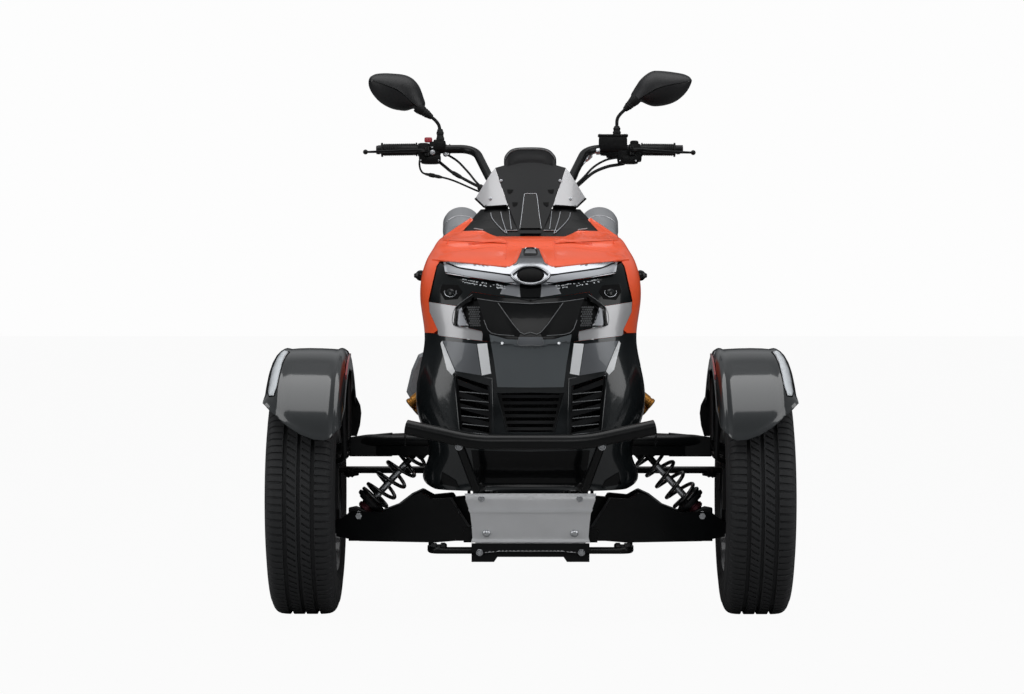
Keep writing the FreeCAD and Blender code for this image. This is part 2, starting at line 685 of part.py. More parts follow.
def pitman():
    """The lower steering shaft and its arm with a stud hole for each tie rod."""
    axis = V(0, front_y, 0)
    low = mm.steer_arm_height - mm.steer_arm_thick
    shaft = Part.makeCylinder(mm.pitman_diameter / 2, mm.pitman_top - low, axis + V(0, 0, low))
    wide = mm.steer_arm_width / 2
    end = mm.steer_arm
    arm = prism([axis + V(-wide, 0, low), axis + V(wide, 0, low),
                 axis + V(mm.steer_arm_side + wide, end, low),
                 axis + V(-mm.steer_arm_side - wide, end, low)], V(0, 0, mm.steer_arm_thick))
    pad = Part.makeBox(2 * (mm.steer_arm_side + wide), wide, mm.steer_arm_thick,
                       axis + V(-mm.steer_arm_side - wide, end, low))
    yoke = Part.makeCylinder(mm.column_diameter / 2, mm.knuckle_ear,
                             axis + V(0, 0, mm.pitman_top - mm.knuckle_ear))
    body = shaft.fuse([arm, pad, yoke])
    for sign in (-1, 1):
        hole = Part.makeCylinder(mm.tie_stud / 2 + mm.bearing_gap, mm.steer_arm_thick + 2 * mm.overrun,
                                 axis + V(sign * mm.steer_arm_side, end, low - mm.overrun))
        body = body.cut(hole)
    part("pitman", shape("pitman_solid", body))


both(knuckle)
both(tie_rod)
pitman()


# Fenders

def fender(side, sign):
    """A hollow arched cover over a front wheel."""
    solid = fender_turn(sign, 0, 0).cut(fender_turn(sign, -mm.fender_wall, mm.overrun))
    return part(f"fender_{side}", shape(f"fender_{side}_shell", solid))


both(fender)


# Front suspension

def upper_arm(side, sign):
    """A welded A-arm: two tubes from the ball joint to the frame pivots."""
    pin = V(sign * kingpin_x, front_y, mm.kingpin_high + mm.seat_gap)
    pieces = [cylinder(f"upper_ball_{side}", "ball_housing", "ball_height",
                       (f"{sign} * (front_track / 2 - kingpin_inset)", FRONT_Y,
                        "kingpin_high + seat_gap"))]
    pieces.append(rod(f"upper_stud_{side}", "kingpin_stud", pin,
                      pin - V(0, 0, mm.knuckle_ear - mm.seat_gap)))
    nose = pin + V(-sign * mm.ball_housing * 0.3, 0, mm.ball_height / 2)
    elbow_x = sign * (kingpin_x - mm.ball_housing * 1.8)
    for way in (-1, 1):
        start = nose + V(0, way * mm.arm_tube * 0.2, 0)
        elbow = V(elbow_x, front_y + way * mm.arm_tube * 0.4, nose.z + mm.arm_tube * 0.9)
        foot = V(sign * mm.arm_pivot, front_y + way * mm.arm_spread, mm.upper_pivot)
        web = [elbow + (foot - elbow) * along - V(0, mm.panel_wall / 2, mm.arm_web * down)
               for along, down in ((0.02, 0), (0.84, 0), (0.80, 0.95), (0.10, 1))]
        pieces.append(shape(f"upper_web_{side}_{way + 1}", prism(web, V(0, mm.panel_wall, 0))))
        pieces.append(tube(f"upper_leg_{side}_{way + 1}", "arm_tube", [start, elbow, foot],
                           mm.arm_tube * 3))
        pieces.append(cylinder(f"upper_bush_{side}_{way + 1}", "pivot_diameter", "pivot_length",
                               (f"{sign} * arm_pivot",
                                f"{FRONT_Y} + {way} * arm_spread - pivot_length / 2", "upper_pivot"), "Y"))
    return fuse(f"upper_arm_{side}", pieces)


def lower_arm(side, sign):
    """A deep plate arm whose legs rise into a lobe beside the shock."""
    pin = V(sign * kingpin_x, front_y, mm.kingpin_low - mm.seat_gap)
    housing = Part.makeCylinder(mm.ball_housing / 2, mm.ball_height, pin - V(0, 0, mm.ball_height))
    stud = Part.makeCylinder(mm.kingpin_stud / 2, mm.knuckle_ear, pin)
    span = kingpin_x - mm.arm_pivot
    depth = mm.lower_arm_depth
    base = mm.lower_pivot - depth * 0.30
    legs = []
    for way in (-1, 1):
        start = V(sign * (kingpin_x - mm.ball_housing * 0.4), front_y + way * mm.lower_arm_thick * 0.5, 0)
        foot = V(sign * mm.arm_pivot, front_y + way * mm.arm_spread, 0)
        along = foot - start
        side_way = V(-along.y, along.x, 0).normalize() * (mm.lower_arm_thick / 2)
        outline_shares = [(0, 0.12), (0.18, -0.02), (0.75, 0), (1, 0.12), (1, 0.52), (0.93, 1.00),
                          (0.86, 1.50), (0.72, 1.45), (0.64, 1.66), (0.56, 1.50), (0.46, 1.16),
                          (0.34, 0.97), (0.12, 0.98), (0, 0.60)]
        points = [start + along * share + V(0, 0, base + depth * rise) - side_way
                  for share, rise in outline_shares]
        legs.append(prism(points, side_way * 2))
        legs.append(Part.makeCylinder(mm.pivot_diameter / 2, mm.pivot_length,
                                      foot + V(0, -mm.pivot_length / 2, mm.lower_pivot), V(0, 1, 0)))
    body = housing.fuse([stud] + legs)
    eye = Part.makeBox(mm.shock_eye * 2.2, mm.shock_eye + mm.running_gap, depth * 3,
                       V(sign * mm.shock_low_out - mm.shock_eye * 1.1,
                         front_y - (mm.shock_eye + mm.running_gap) / 2,
                         mm.shock_low_up - mm.shock_eye * 0.8))
    return shape(f"lower_arm_{side}", body.cut(eye))


def shock_line(sign):
    """Lower eye, upper eye and direction of a front shock."""
    low = V(sign * mm.shock_low_out, front_y, mm.shock_low_up)
    angle = math.radians(mm.shock_angle)
    along = V(-sign * math.cos(angle), 0, math.sin(angle))
    return low, low + along * mm.shock_length, along


def coil_over(name, low, high, pin_way, body, spring):
    """A coil-over shock between two eyes: rod, body, spring seats and eyes across pin_way."""
    eye = mm.shock_eye
    length = (high - low).Length
    along = (high - low).normalize()
    seat = mm.spring_wire * 0.6
    pieces = [
        Part.makeCylinder(eye / 2, eye, low - pin_way * (eye / 2), pin_way),
        Part.makeCylinder(eye / 2, eye, high - pin_way * (eye / 2), pin_way),
        Part.makeCylinder(mm.shock_rod / 2, length, low, along),
        Part.makeCylinder(eye * 0.45, eye * 1.2, low, along),
        Part.makeCylinder(spring / 2, seat, low + along * (eye * 1.2), along),
        Part.makeCylinder(body / 2, length * 0.38, low + along * (length * 0.52), along),
        Part.makeCylinder(eye * 0.45, eye * 1.2, high - along * (eye * 1.2), along),
        Part.makeCylinder(spring / 2, seat, low + along * (length * 0.82), along),
    ]
    return shape(name, pieces[0].fuse(pieces[1:]))


def front_shock(side, sign):
    """Eyes, rod, body, seats and adjuster of one coil-over shock."""
    low, high, along = shock_line(sign)
    return coil_over(f"front_shock_{side}", low, high, V(0, 1, 0), mm.shock_body, mm.spring_diameter)


def spring_solid(diameter, wire_size, turns, length):
    """Coils standing on the origin along +Z."""
    mean = (diameter - wire_size) / 2
    pitch = (length - wire_size) / turns
    helix = Part.makeHelix(pitch, pitch * turns, mean)
    ring = Part.Wire(Part.makeCircle(wire_size / 2, V(mean, 0, 0), V(0, 1, 0)))
    return Part.Wire(helix.Edges).makePipeShell([ring], True, True)


def spring_between(name, low, high, diameter, turns):
    """The spring of a coil-over, between its two seats."""
    along = (high - low).normalize()
    start = mm.shock_eye * 1.2 + mm.spring_wire * 0.6
    end = (high - low).Length * 0.82
    coil = spring_solid(diameter, mm.spring_wire, turns, end - start - 2 * mm.seat_gap)
    coil.Placement = FreeCAD.Placement(low + along * (start + mm.spring_wire / 2 + mm.seat_gap),
                                       FreeCAD.Rotation(V(0, 0, 1), along))
    return shape(name, coil)


def front_spring(side, sign):
    low, high, along = shock_line(sign)
    return spring_between(f"front_spring_{side}", low, high, mm.spring_diameter, mm.spring_turns)


def reservoir(side, sign):
    """The gas reservoir beside a shock, with its small adjuster."""
    low, high, along = shock_line(sign)
    angle = math.radians(mm.shock_angle)
    across = V(sign * math.sin(angle), 0, math.cos(angle))
    start = low + along * (mm.shock_length * 0.745) + across * mm.reservoir_offset
    large, small = mm.reservoir_large, mm.reservoir_small
    small_start = start + across * (large * 0.72) - along * small * 0.5
    link_end = low + along * (mm.shock_length * 0.865) + across * mm.reservoir_offset
    link_length = mm.reservoir_offset - mm.shock_body / 2 - mm.seat_gap
    pieces = [
        Part.makeCylinder(large / 2, mm.reservoir_length, start, along),
        Part.makeCylinder(large * 0.42, large * 0.2, start - along * (large * 0.2), along),
        Part.makeCylinder(small / 2, mm.reservoir_length * 0.7, small_start, along),
        Part.makeCylinder(small / 2, large, small_start + along * (mm.reservoir_length * 0.6), across * -1),
        Part.makeCylinder(small / 2, link_length, link_end, across * -1),
    ]
    return shape(f"reservoir_{side}", pieces[0].fuse(pieces[1:]))


part("control_arms", group("arm_set", both(upper_arm) + both(lower_arm)))
part("shock_reservoirs", group("reservoir_pair", both(reservoir)))


def stabilizer():
    """The bar under the subframe, with its bushings and drop links to the lower arms."""
    y = front_y - mm.subframe_front + mm.subframe_tube / 2
    link_y = front_y - mm.arm_spread * 0.75
    up = mm.stabilizer_height
    bar = [V(-mm.stabilizer_half, link_y, up), V(-mm.stabilizer_half, y, up),
           V(mm.stabilizer_half, y, up), V(mm.stabilizer_half, link_y, up)]
    pieces = [tube("stabilizer_tube", "stabilizer_diameter", bar, mm.stabilizer_diameter * 1.5)]
    bush_low = "stabilizer_height - stabilizer_diameter * 0.7"
    for sign in (-1, 1):
        pieces.append(box(f"stabilizer_bush_{sign + 1}",
                          ("subframe_tube", "subframe_tube * 0.8",
                           f"subframe_low - subframe_tube / 2 - seat_gap - ({bush_low})"),
                          (f"{sign} * subframe_half * 0.85 - subframe_tube / 2",
                           f"{FRONT_Y} - subframe_front + subframe_tube * 0.1", bush_low)))
        pieces.append(cylinder(f"drop_link_{sign + 1}", "stabilizer_diameter * 0.8",
                               "lower_pivot - lower_arm_depth * 0.3 - seat_gap - stabilizer_height",
                               (f"{sign} * stabilizer_half", f"{FRONT_Y} - arm_spread * 0.75",
                                "stabilizer_height")))
    return fuse("stabilizer_solid", pieces)


part("stabilizer_bar", stabilizer())


# Frame

def column_point(along):
    """A point on the steering column's axis, measured up from the steering joint."""
    rake = math.radians(mm.column_rake)
    return V(0, front_y + along * math.sin(rake), mm.column_foot + along * math.cos(rake))


def rear_shock_line():
    """Lower and upper eye of the single rear shock."""
    pivot_y = rear_y - mm.swing_pivot_ahead
    return (V(0, pivot_y + mm.rear_shock_low_back, mm.rear_shock_low_up),
            V(0, pivot_y - mm.rear_shock_high_ahead, mm.rear_shock_high_up))


def rear_shock_lug(sign, end, carrier_up):
    """One of the two ears at the rear shock's lower (0) or upper (1) eye."""
    eye = rear_shock_line()[end]
    thick = mm.panel_wall * 1.5
    reach = mm.shock_eye * 0.45
    low, high = sorted((carrier_up, eye.z + (reach if carrier_up < eye.z else -reach)))
    start = sign * (mm.shock_eye / 2 + mm.seat_gap)
    return Part.makeBox(thick, reach * 2, high - low, V(min(start, start + sign * thick), eye.y - reach, low))


def shock_towers(sign):
    """Two short tubes to each shock's upper eye, with a disc on each side of the eye."""
    low, high, along = shock_line(sign)
    eye = mm.shock_eye
    pieces = []
    for way in (-1, 1):
        foot = V(sign * mm.subframe_half, front_y + way * mm.arm_spread * 0.8, mm.subframe_high)
        lug = V(high.x, front_y + way * eye, high.z)
        pieces.append(Part.makeCylinder(mm.subframe_tube * 0.4, (lug - foot).Length, foot, lug - foot))
        disc_y = front_y + way * (eye * 0.65 + mm.seat_gap) - eye * 0.15
        pieces.append(Part.makeCylinder(eye * 0.55, eye * 0.3, V(high.x, disc_y, high.z), V(0, 1, 0)))
    return pieces


def arm_brackets(sign):
    """A pair of ears at each arm pivot."""
    half = mm.subframe_half
    reach = mm.arm_pivot + mm.pivot_diameter * 0.4
    pieces = []
    for height in (mm.lower_pivot, mm.upper_pivot):
        for way in (-1, 1):
            for end in (-1, 1):
                y = front_y + way * mm.arm_spread - mm.panel_wall
                y += end * (mm.pivot_length / 2 + mm.seat_gap + mm.panel_wall)
                pieces.append(Part.makeBox(reach - half, mm.panel_wall * 2, mm.pivot_diameter,
                                           V(min(sign * half, sign * reach), y,
                                             height - mm.pivot_diameter / 2)))
    return pieces


def front_subframe():
    """The welded cage that carries both pairs of arms and the shock tops."""
    half = mm.subframe_half
    front = front_y - mm.subframe_front
    back = front_y + mm.subframe_back
    size = mm.subframe_tube
    heights = (mm.subframe_low, mm.subframe_high)
    ends = (front + size / 2, back - size / 2)
    pieces = []
    for height in heights:
        for y in ends:
            pieces.append(Part.makeCylinder(size / 2, 2 * half, V(-half, y, height), V(1, 0, 0)))
    for sign in (-1, 1):
        for height in heights:
            pieces.append(Part.makeCylinder(size / 2, back - front,
                                            V(sign * half, front, height), V(0, 1, 0)))
        for y in ends:
            pieces.append(Part.makeCylinder(size / 2, heights[1] - heights[0], V(sign * half, y, heights[0])))
        pieces += shock_towers(sign) + arm_brackets(sign)
    boss_low = mm.subframe_high - size / 2
    boss = Part.makeCylinder(mm.pitman_diameter, size, V(0, front_y, boss_low))
    plate = Part.makeBox(2 * half, size, size, V(-half, front_y - size / 2, boss_low))
    bore = Part.makeCylinder(mm.pitman_diameter / 2 + mm.bearing_gap, size * 3,
                             V(0, front_y, boss_low - size))
    tab_up = mm.subframe_low + (mm.subframe_high - mm.subframe_low) * 0.70
    behind = nose_solid(-mm.panel_wall - mm.seat_gap)
    start = front - mm.nose_reach / 2
    for sign in (-1, 1):
        tab = Part.makeBox(size, front + size / 2 - start, size * 0.7,
                           V(sign * half - size / 2, start, tab_up))
        pieces.append(tab.common(behind))
    return shape("front_subframe_solid", pieces[0].fuse(pieces[1:] + [boss, plate]).cut(bore))


def upper_rail():
    """The bends of the left upper rail, from the head tube to the swingarm pivot."""
    half = mm.frame_half
    head_low = column_point(mm.head_tube_start)
    head_high = column_point(mm.head_tube_start + mm.head_tube_length)
    seat_base = mm.seat_height - mm.seat_pad - mm.seat_gap - mm.frame_tube / 2
    pivot_y = rear_y - mm.swing_pivot_ahead
    return [head_low + (head_high - head_low) * 0.6 + V(mm.frame_tube * 0.45, 0, 0),
            V(half * 0.75, head_low.y + half * 1.4, seat_base), V(half, pivot_y - half * 1.4, seat_base),
            V(half, pivot_y, mm.swing_pivot_up + mm.frame_tube * 0.6)]


def main_frame():
    """Head tube, upper and lower rails, seat rails and cross tubes."""
    half = mm.frame_half
    head_low = column_point(mm.head_tube_start)
    head_high = column_point(mm.head_tube_start + mm.head_tube_length)
    along = head_high - head_low
    pieces = [rod("head_tube", "head_tube_diameter", head_low, head_high)]
    pivot = V(half, rear_y - mm.swing_pivot_ahead, mm.swing_pivot_up)
    seat_base = mm.seat_height - mm.seat_pad - mm.seat_gap - mm.frame_tube / 2
    off = V(mm.frame_tube * 0.45, 0, 0)
    upper = upper_rail()
    cage_y = front_y + mm.subframe_back + mm.frame_tube * 0.47 + mm.seat_gap
    cage = V(mm.subframe_half * 0.9, cage_y, mm.subframe_high)
    down = [head_low + along * 0.2 + off, V(cage.x, cage.y, cage.z + half * 0.8),
            V(cage.x, cage.y, mm.frame_low + half * 0.3), V(half, cage.y + half * 1.6, mm.frame_low),
            V(half, pivot.y - half * 0.6, mm.frame_low),
            V(half, pivot.y - mm.frame_tube * 0.6, pivot.z - mm.frame_tube * 0.4)]
    seat = [V(half, pivot.y - half * 1.7, seat_base),
            V(half * 0.9, pivot.y + half * 0.8, seat_base),
            V(half * 0.6, rear_y + mm.rear_reach * 0.35, mm.pillion_height - mm.pillion_pad - half * 0.5)]
    rails = ((upper, "frame_tube"), (down, "frame_tube * 0.94"), (seat, "frame_tube * 0.8"))
    for number, (path, size) in enumerate(rails):
        for side, points in (("left", path), ("right", [flipped(point) for point in path])):
            pieces.append(tube(f"rail_{number}_{side}", size, points, mm.frame_bend))
    raised = V(-mm.frame_tube * 0.3, 0, mm.frame_tube * 0.15)
    level = V(-mm.frame_tube * 0.3, 0, 0)
    shock_top = V(half, rear_shock_line()[1].y, seat_base)
    crosses = [(upper[1], raised), (upper[2], raised), (shock_top, level), (down[3], level),
               (down[4], level), (seat[2], level)]
    for number, (point, shift) in enumerate(crosses):
        end = point + shift
        pieces.append(rod(f"cross_{number}", "frame_tube * 0.7", flipped(end), end))
    for sign in (-1, 1):
        pieces.append(box(f"pivot_plate_{sign + 1}", ("frame_tube", "frame_tube * 2.4", "frame_tube * 3"),
                          (f"{sign} * frame_half - frame_tube / 2",
                           f"{REAR_Y} - swing_pivot_ahead - frame_tube * 1.4",
                           "swing_pivot_up - frame_tube * 1.2")))
        pieces.append(shape(f"shock_lug_{sign + 1}", rear_shock_lug(sign, 1, seat_base)))
    solid = fuse("main_frame_tubes", pieces)
    bore = rod("head_bore", "column_diameter + bearing_gap * 2",
               head_low - along, head_high + along)
    return cut("main_frame_solid", solid, bore)


part("main_frame", main_frame())


# Steering

def bar_points():
    """The bends of the handlebar, from the right grip end to the left one."""
    top = column_point(mm.column_length)
    bar_y = front_y + mm.bar_set_back
    inner = V(mm.bar_rise_in, top.y + mm.bar_bend * 0.5, top.z)
    outer = V(mm.bar_rise_out, bar_y - mm.bar_bend * 0.4, mm.bar_height)
    end = V(mm.bar_half_width, bar_y, mm.bar_height)
    return [flipped(end), flipped(outer), flipped(inner), inner, outer, end]


def handlebar():
    """Column, clamp and the bent bar."""
    top = column_point(mm.column_length)
    foot = column_point(mm.running_gap + mm.column_diameter / 2)
    reach = V(mm.bar_rise_in * 0.5, 0, 0)
    pieces = [
        rod("column", "column_diameter", foot, top),
        tube("bar", "bar_diameter", bar_points(), mm.bar_bend),
        rod("clamp", "column_diameter * 1.2", top - reach, top + reach),
    ]
    return fuse("handlebar_solid", pieces)


part("handlebar", handlebar())


def bar_direction():
    """Direction of the outer bar from the bend to the grip end, on the left side."""
    return V(mm.bar_half_width - mm.bar_rise_out, mm.bar_bend * 0.4, 0).normalize()


def control(side, sign):
    """Grip, switch housing, lever and, on the left, the fluid reservoir."""
    bar_y = front_y + mm.bar_set_back
    way = bar_direction()
    inner = V(mm.bar_half_width, bar_y, mm.bar_height) - way * mm.grip_length
    grip = Part.makeCylinder(mm.grip_diameter / 2, mm.grip_length + mm.seat_gap * 10, inner, way)
    housing = Part.makeBox(mm.switch_length, mm.switch_depth, mm.switch_height,
                           inner - V(mm.switch_length, mm.switch_depth / 2, mm.switch_height * 0.55))
    lever_y = bar_y - mm.lever_reach
    pivot = V(inner.x - mm.switch_length * 0.5, bar_y - mm.switch_depth * 0.5, mm.bar_height)
    bend = V(inner.x, lever_y, mm.bar_height)
    tip = V(inner.x + mm.lever_length * 0.78, lever_y - mm.lever_thick, mm.bar_height - mm.lever_thick * 1.3)
    lever = swept([pivot, bend, tip], mm.lever_thick, mm.lever_thick * 3)
    pieces = [housing, lever, Part.makeSphere(mm.lever_ball / 2, tip)]
    if sign > 0:
        pieces.append(Part.makeBox(mm.reservoir_width, mm.switch_depth * 0.9, mm.reservoir_height,
                                   V(mm.reservoir_out, bar_y - mm.switch_depth * 0.9,
                                     mm.bar_height - mm.reservoir_height * 0.28)))
    bar = swept(bar_points(), mm.bar_diameter + 2 * mm.seat_gap, mm.bar_bend)
    body = grip.fuse(pieces).cut(bar)
    return shape(f"control_{side}", body if sign > 0 else mirrored(body))


def control_cable(side, sign):
    """A cable from under a switch housing, behind the bar and down to the steering column."""
    size = mm.cable_diameter
    inner, outer, grip_end = bar_points()[3:]
    low = mm.bar_height - mm.switch_height * 0.55 + size * 0.45
    housing_x = (grip_end - bar_direction() * mm.grip_length).x - mm.switch_length
    end = column_point(mm.column_length - mm.bar_rise_in * 0.5)
    points = [V(housing_x - mm.seat_gap, outer.y, low), V(outer.x - size * 4, outer.y, low - size * 0.5),
              V(inner.x * 0.55, inner.y + size * 4, inner.z - size * 3),
              V(mm.column_diameter * 1.4, end.y, end.z),
              V(mm.column_diameter / 2 + mm.seat_gap, end.y, end.z)]
    body = swept(points, size, mm.bar_bend)
    return shape(f"cable_{side}", body if sign > 0 else mirrored(body))


part("bar_controls", group("control_pair", both(control)))
part("control_cables", group("cable_pair", both(control_cable)))


def mirror(side, sign):
    """A mirror shell on its bent stem."""
    lift = mm.mirror_lift if sign > 0 else 0
    centre = V(mm.mirror_out - lift, front_y + mm.bar_set_back - mm.mirror_depth, mm.mirror_up + lift)
    wide = mm.mirror_width / 2
    tall = mm.mirror_height / 2
    outline_shares = [(1.0, 0.67), (0.90, 0.92), (0.39, 1.0), (-0.12, 0.95), (-0.43, 0.67), (-0.62, 0.31),
                      (-0.75, -0.30), (-1.0, -0.84), (-0.91, -1.0), (-0.43, -0.60), (-0.12, -0.67),
                      (0.33, -0.49), (0.78, -0.10), (1.0, 0.43)]
    rings = []
    for depth_share, size_share in ((0, 0.55), (0.35, 0.92), (0.8, 1.0), (1.0, 0.97)):
        points = [centre + V(x * wide * size_share, mm.mirror_depth * depth_share, z * tall * size_share)
                  for x, z in outline_shares]
        rings.append(wire(points))
    shell = loft(rings, True)
    housing_top = mm.bar_height + mm.switch_height * 0.45
    reservoir_top = mm.bar_height + mm.reservoir_height * 0.72
    top_z = max(housing_top, reservoir_top) if sign > 0 else housing_top
    foot = V(mm.mirror_foot, front_y + mm.bar_set_back - mm.switch_depth * 0.2, top_z + mm.seat_gap)
    knee = foot + V(0, 0, centre.z - mm.mirror_height * 0.6 - foot.z)
    top = centre + V(-wide * 0.84, mm.mirror_depth * 0.6, -tall * 0.75)
    body = shell.fuse(swept([foot, knee, top], mm.mirror_stem, mm.mirror_stem * 2))
    return shape(f"mirror_{side}", body if sign > 0 else mirrored(body))


part("mirrors", group("mirror_pair", both(mirror)))


# Nose panels

# Height over the ground, front edge, half width, widest point and rear edge of the nose,
# as shares of the nose height, length and half width.
NOSE_SHARES = [
    (0.335, 0.040, 0.80, 0.26),
    (0.42, 0.020, 0.90, 0.28),
    (0.52, 0.010, 0.98, 0.30),
    (0.62, 0.010, 1.00, 0.32),
    (0.73, 0.000, 0.935, 0.34),
    (0.83, 0.060, 0.975, 0.38),
    (0.895, 0.130, 0.965, 0.42),
    (0.93, 0.210, 0.935, 0.48),
    (0.965, 0.400, 0.88, 0.62),
    (1.000, 0.620, 0.79, 0.80),
]


SCREEN_SHARES = [(0, 1.0), (0.30, 0.985), (0.645, 0.909), (0.404, 0.347), (0.227, 0), (0.20, -0.10),
                 (0, -0.10)]


DUCT_SHARES = [(0, 0.58), (0.115, 0.56), (0.20, 0.0), (0.19, -0.06), (0, -0.06)]


WING_SHARES = [(0.648, 0.903), (0.716, 0.835), (1.0, 0.460), (0.844, 0.324), (0.408, 0.350)]


def nose_section(height_share, front_share, half_share, wide_share, grow):
    """A level outline of the nose: a smooth front and a straight back."""
    z = height_share * mm.nose_height
    front = front_y - mm.nose_reach + front_share * mm.nose_length - grow
    back = front_y - mm.nose_reach + mm.nose_length
    side_y = front_y - mm.nose_reach + wide_share * mm.nose_length
    half = half_share * mm.nose_half_width + grow
    right = [V(half, back, z), V(half, side_y, z), V(half * 0.90, front + (side_y - front) * 0.52, z),
             V(half * 0.62, front + (side_y - front) * 0.17, z),
             V(half * 0.3, front + (side_y - front) * 0.04, z)]
    curve = Part.BSplineCurve()
    curve.interpolate(right[1:] + [V(0, front, z)] + [flipped(point) for point in reversed(right[1:])])
    return Part.Wire([Part.LineSegment(right[0], right[1]).toShape(), curve.toShape(),
                      Part.LineSegment(flipped(right[1]), flipped(right[0])).toShape(),
                      Part.LineSegment(flipped(right[0]), right[0]).toShape()])


NOSES = {}


def nose_solid(grow):
    """The whole nose as one solid, grown or shrunk by a wall."""
    if grow not in NOSES:
        NOSES[grow] = loft([nose_section(*shares, grow) for shares in NOSE_SHARES])
    return NOSES[grow]


def front_prism(points_share):
    """An outline in the front view, in shares of the nose, run through its depth."""
    start = front_y - mm.nose_reach - mm.overrun * 2
    points = [V(x * mm.nose_half_width, start, z * mm.nose_height) for x, z in points_share]
    return prism(points, V(0, mm.nose_length + mm.overrun * 4, 0))


def nose_panel(outline, proud, wall, holes=()):
    """A panel: the nose's skin inside a front outline, on both sides of the middle."""
    skin = nose_solid(proud).cut(nose_solid(proud - wall))
    cutter = front_prism(outline)
    piece = skin.common(cutter)
    for hole in holes:
        piece = piece.cut(front_prism(hole))
    return piece


def full_outline(half_outline):
    """Close a half outline, which starts and ends on the middle, to both sides."""
    return half_outline + [(-x, z) for x, z in reversed(half_outline) if x > 0]


COWL_SHARES = [(0, 0.9688), (0.083, 0.966), (0.161, 0.917), (0.793, 0.936), (0.828, 0.920),
               (0.894, 0.831), (0.885, 0.800), (0.81, 0.754), (0.846, 0.746), (1.2, 0.746),
               (1.2, 1.1), (0, 1.1)]
TRIM_SHARES = [(0, 0.9682), (0.082, 0.9654), (0.160, 0.9164), (0.770, 0.9348), (0.740, 0.9000),
               (0.161, 0.8730), (0, 0.8680)]
LAMP_SHARES = [(0, 0.8674), (0.1605, 0.8724), (0.742, 0.8996), (0.772, 0.9344), (0.790, 0.9352),
               (0.8265, 0.9192), (0.8925, 0.8310), (0.8905, 0.8268), (0.6205, 0.8158),
               (0.510, 0.8530), (0.275, 0.8420), (0, 0.8300)]
LENS_SHARES = [(0.8892, 0.8262), (0.8835, 0.8003), (0.8085, 0.7540), (0.8085, 0.7440),
               (0.795, 0.7396), (0.418, 0.7276), (0.414, 0.7440), (0.423, 0.7520),
               (0.649, 0.7670), (0.632, 0.8152)]
BEAK_SHARES = [(0, 0.8294), (0.275, 0.8414), (0.510, 0.8524), (0.6195, 0.8152), (0.6312, 0.8144),
               (0.648, 0.7676), (0.4222, 0.7526), (0.413, 0.7444), (0.4171, 0.7276),
               (0.091, 0.7140), (0, 0.7140)]
MESH_SHARES = [(0.592, 0.804), (0.500, 0.836), (0.452, 0.762), (0.55, 0.771)]
LOWER_SHARES = [(0, 0.7134), (0.0915, 0.7134), (0.4172, 0.7268), (0.795, 0.7388),
                (0.8085, 0.7432), (0.846, 0.7452), (1.2, 0.7452), (1.2, 0.34), (0, 0.34)]
GRILLE_SHARES = [(0, 0.595), (0.29, 0.593), (0.215, 0.494), (0, 0.494)]
LOUVRE_SHARES = [(0.653, 0.639), (0.355, 0.612), (0.335, 0.476), (0.604, 0.483)]


def side_trim_cut(solid, low_share, high_share, back_share):
    """Cut a panel's rear edge with a plane block, square to the machine's length."""
    back = front_y - mm.nose_reach + back_share * mm.nose_length
    block = Part.makeBox(4 * mm.nose_half_width, 4 * mm.nose_length,
                         (high_share - low_share) * mm.nose_height,
                         V(-2 * mm.nose_half_width, back, low_share * mm.nose_height))
    return solid.cut(block)


def across(outline):
    """The same outline on the other side."""
    return [(-x, z) for x, z in outline]


def bumper_stay(sign):
    """Where a bumper stay starts at its strut and ends at the subframe."""
    foot = V(sign * mm.skid_half * 0.83, front_y - mm.nose_reach - mm.skid_plate_wall * 2,
             mm.skid_top + mm.bumper_tube * 0.2)
    return foot, V(sign * mm.subframe_half, front_y - mm.subframe_front - mm.seat_gap, foot.z)


def blend_share(corners, along, up):
    """A point inside four corners of an opening: along its width, then up its height."""
    low_in, low_out, high_out, high_in = corners
    low = [a + (b - a) * along for a, b in zip(low_in, low_out)]
    high = [a + (b - a) * along for a, b in zip(high_in, high_out)]
    return tuple(a + (b - a) * up for a, b in zip(low, high))


def slats(corners, count, thick_share, droop_share):
    """Front outlines of equal slats across an opening, their inner ends lower by a share."""
    rows = []
    for number in range(count):
        middle = (number + 0.5) / count
        low, high = middle - thick_share / count, middle + thick_share / count
        rows.append([blend_share(corners, -0.06, low - droop_share), blend_share(corners, 1.06, low),
                     blend_share(corners, 1.06, high), blend_share(corners, -0.06, high - droop_share)])
    return rows


def nose_pieces():
    """The panels of the nose, each cut from its skin by an outline in the front view."""
    wall = mm.panel_wall
    part("cowl", shape("cowl_shell", nose_panel(full_outline(COWL_SHARES), 0, wall)))
    trim = nose_panel(full_outline(TRIM_SHARES), mm.trim_proud, mm.trim_proud + wall * 1.2)
    part("nose_trim", shape("nose_trim_shell", trim))
    lamps = nose_panel(full_outline(LAMP_SHARES), -mm.lamp_sunk, wall * 1.2)
    part("headlamps", shape("headlamp_shell", lamps))
    lens = nose_panel(LENS_SHARES, 0, wall)
    lenses = [shape("lamp_panel_left", lens), shape("lamp_panel_right", mirrored(lens))]
    part("lamp_panels", group("lamp_panel_pair", lenses))
    beak = nose_panel(full_outline(BEAK_SHARES), mm.beak_proud, mm.beak_proud + wall,
                      [MESH_SHARES, across(MESH_SHARES)])
    part("beak", shape("beak_shell", beak))
    openings = [full_outline(GRILLE_SHARES), LOUVRE_SHARES, across(LOUVRE_SHARES)]
    lower = nose_panel(full_outline(LOWER_SHARES), 0, wall, openings)
    lower = side_trim_cut(lower, 0, 0.66, 0.30)
    for sign in (-1, 1):
        foot, back = bumper_stay(sign)
        lower = lower.cut(Part.makeCylinder(mm.bumper_tube * 0.3 + mm.seam_gap, (back - foot).Length,
                                            foot, back - foot))
    part("nose_panel", shape("nose_panel_shell", lower))


nose_pieces()
part("front_subframe", front_subframe())


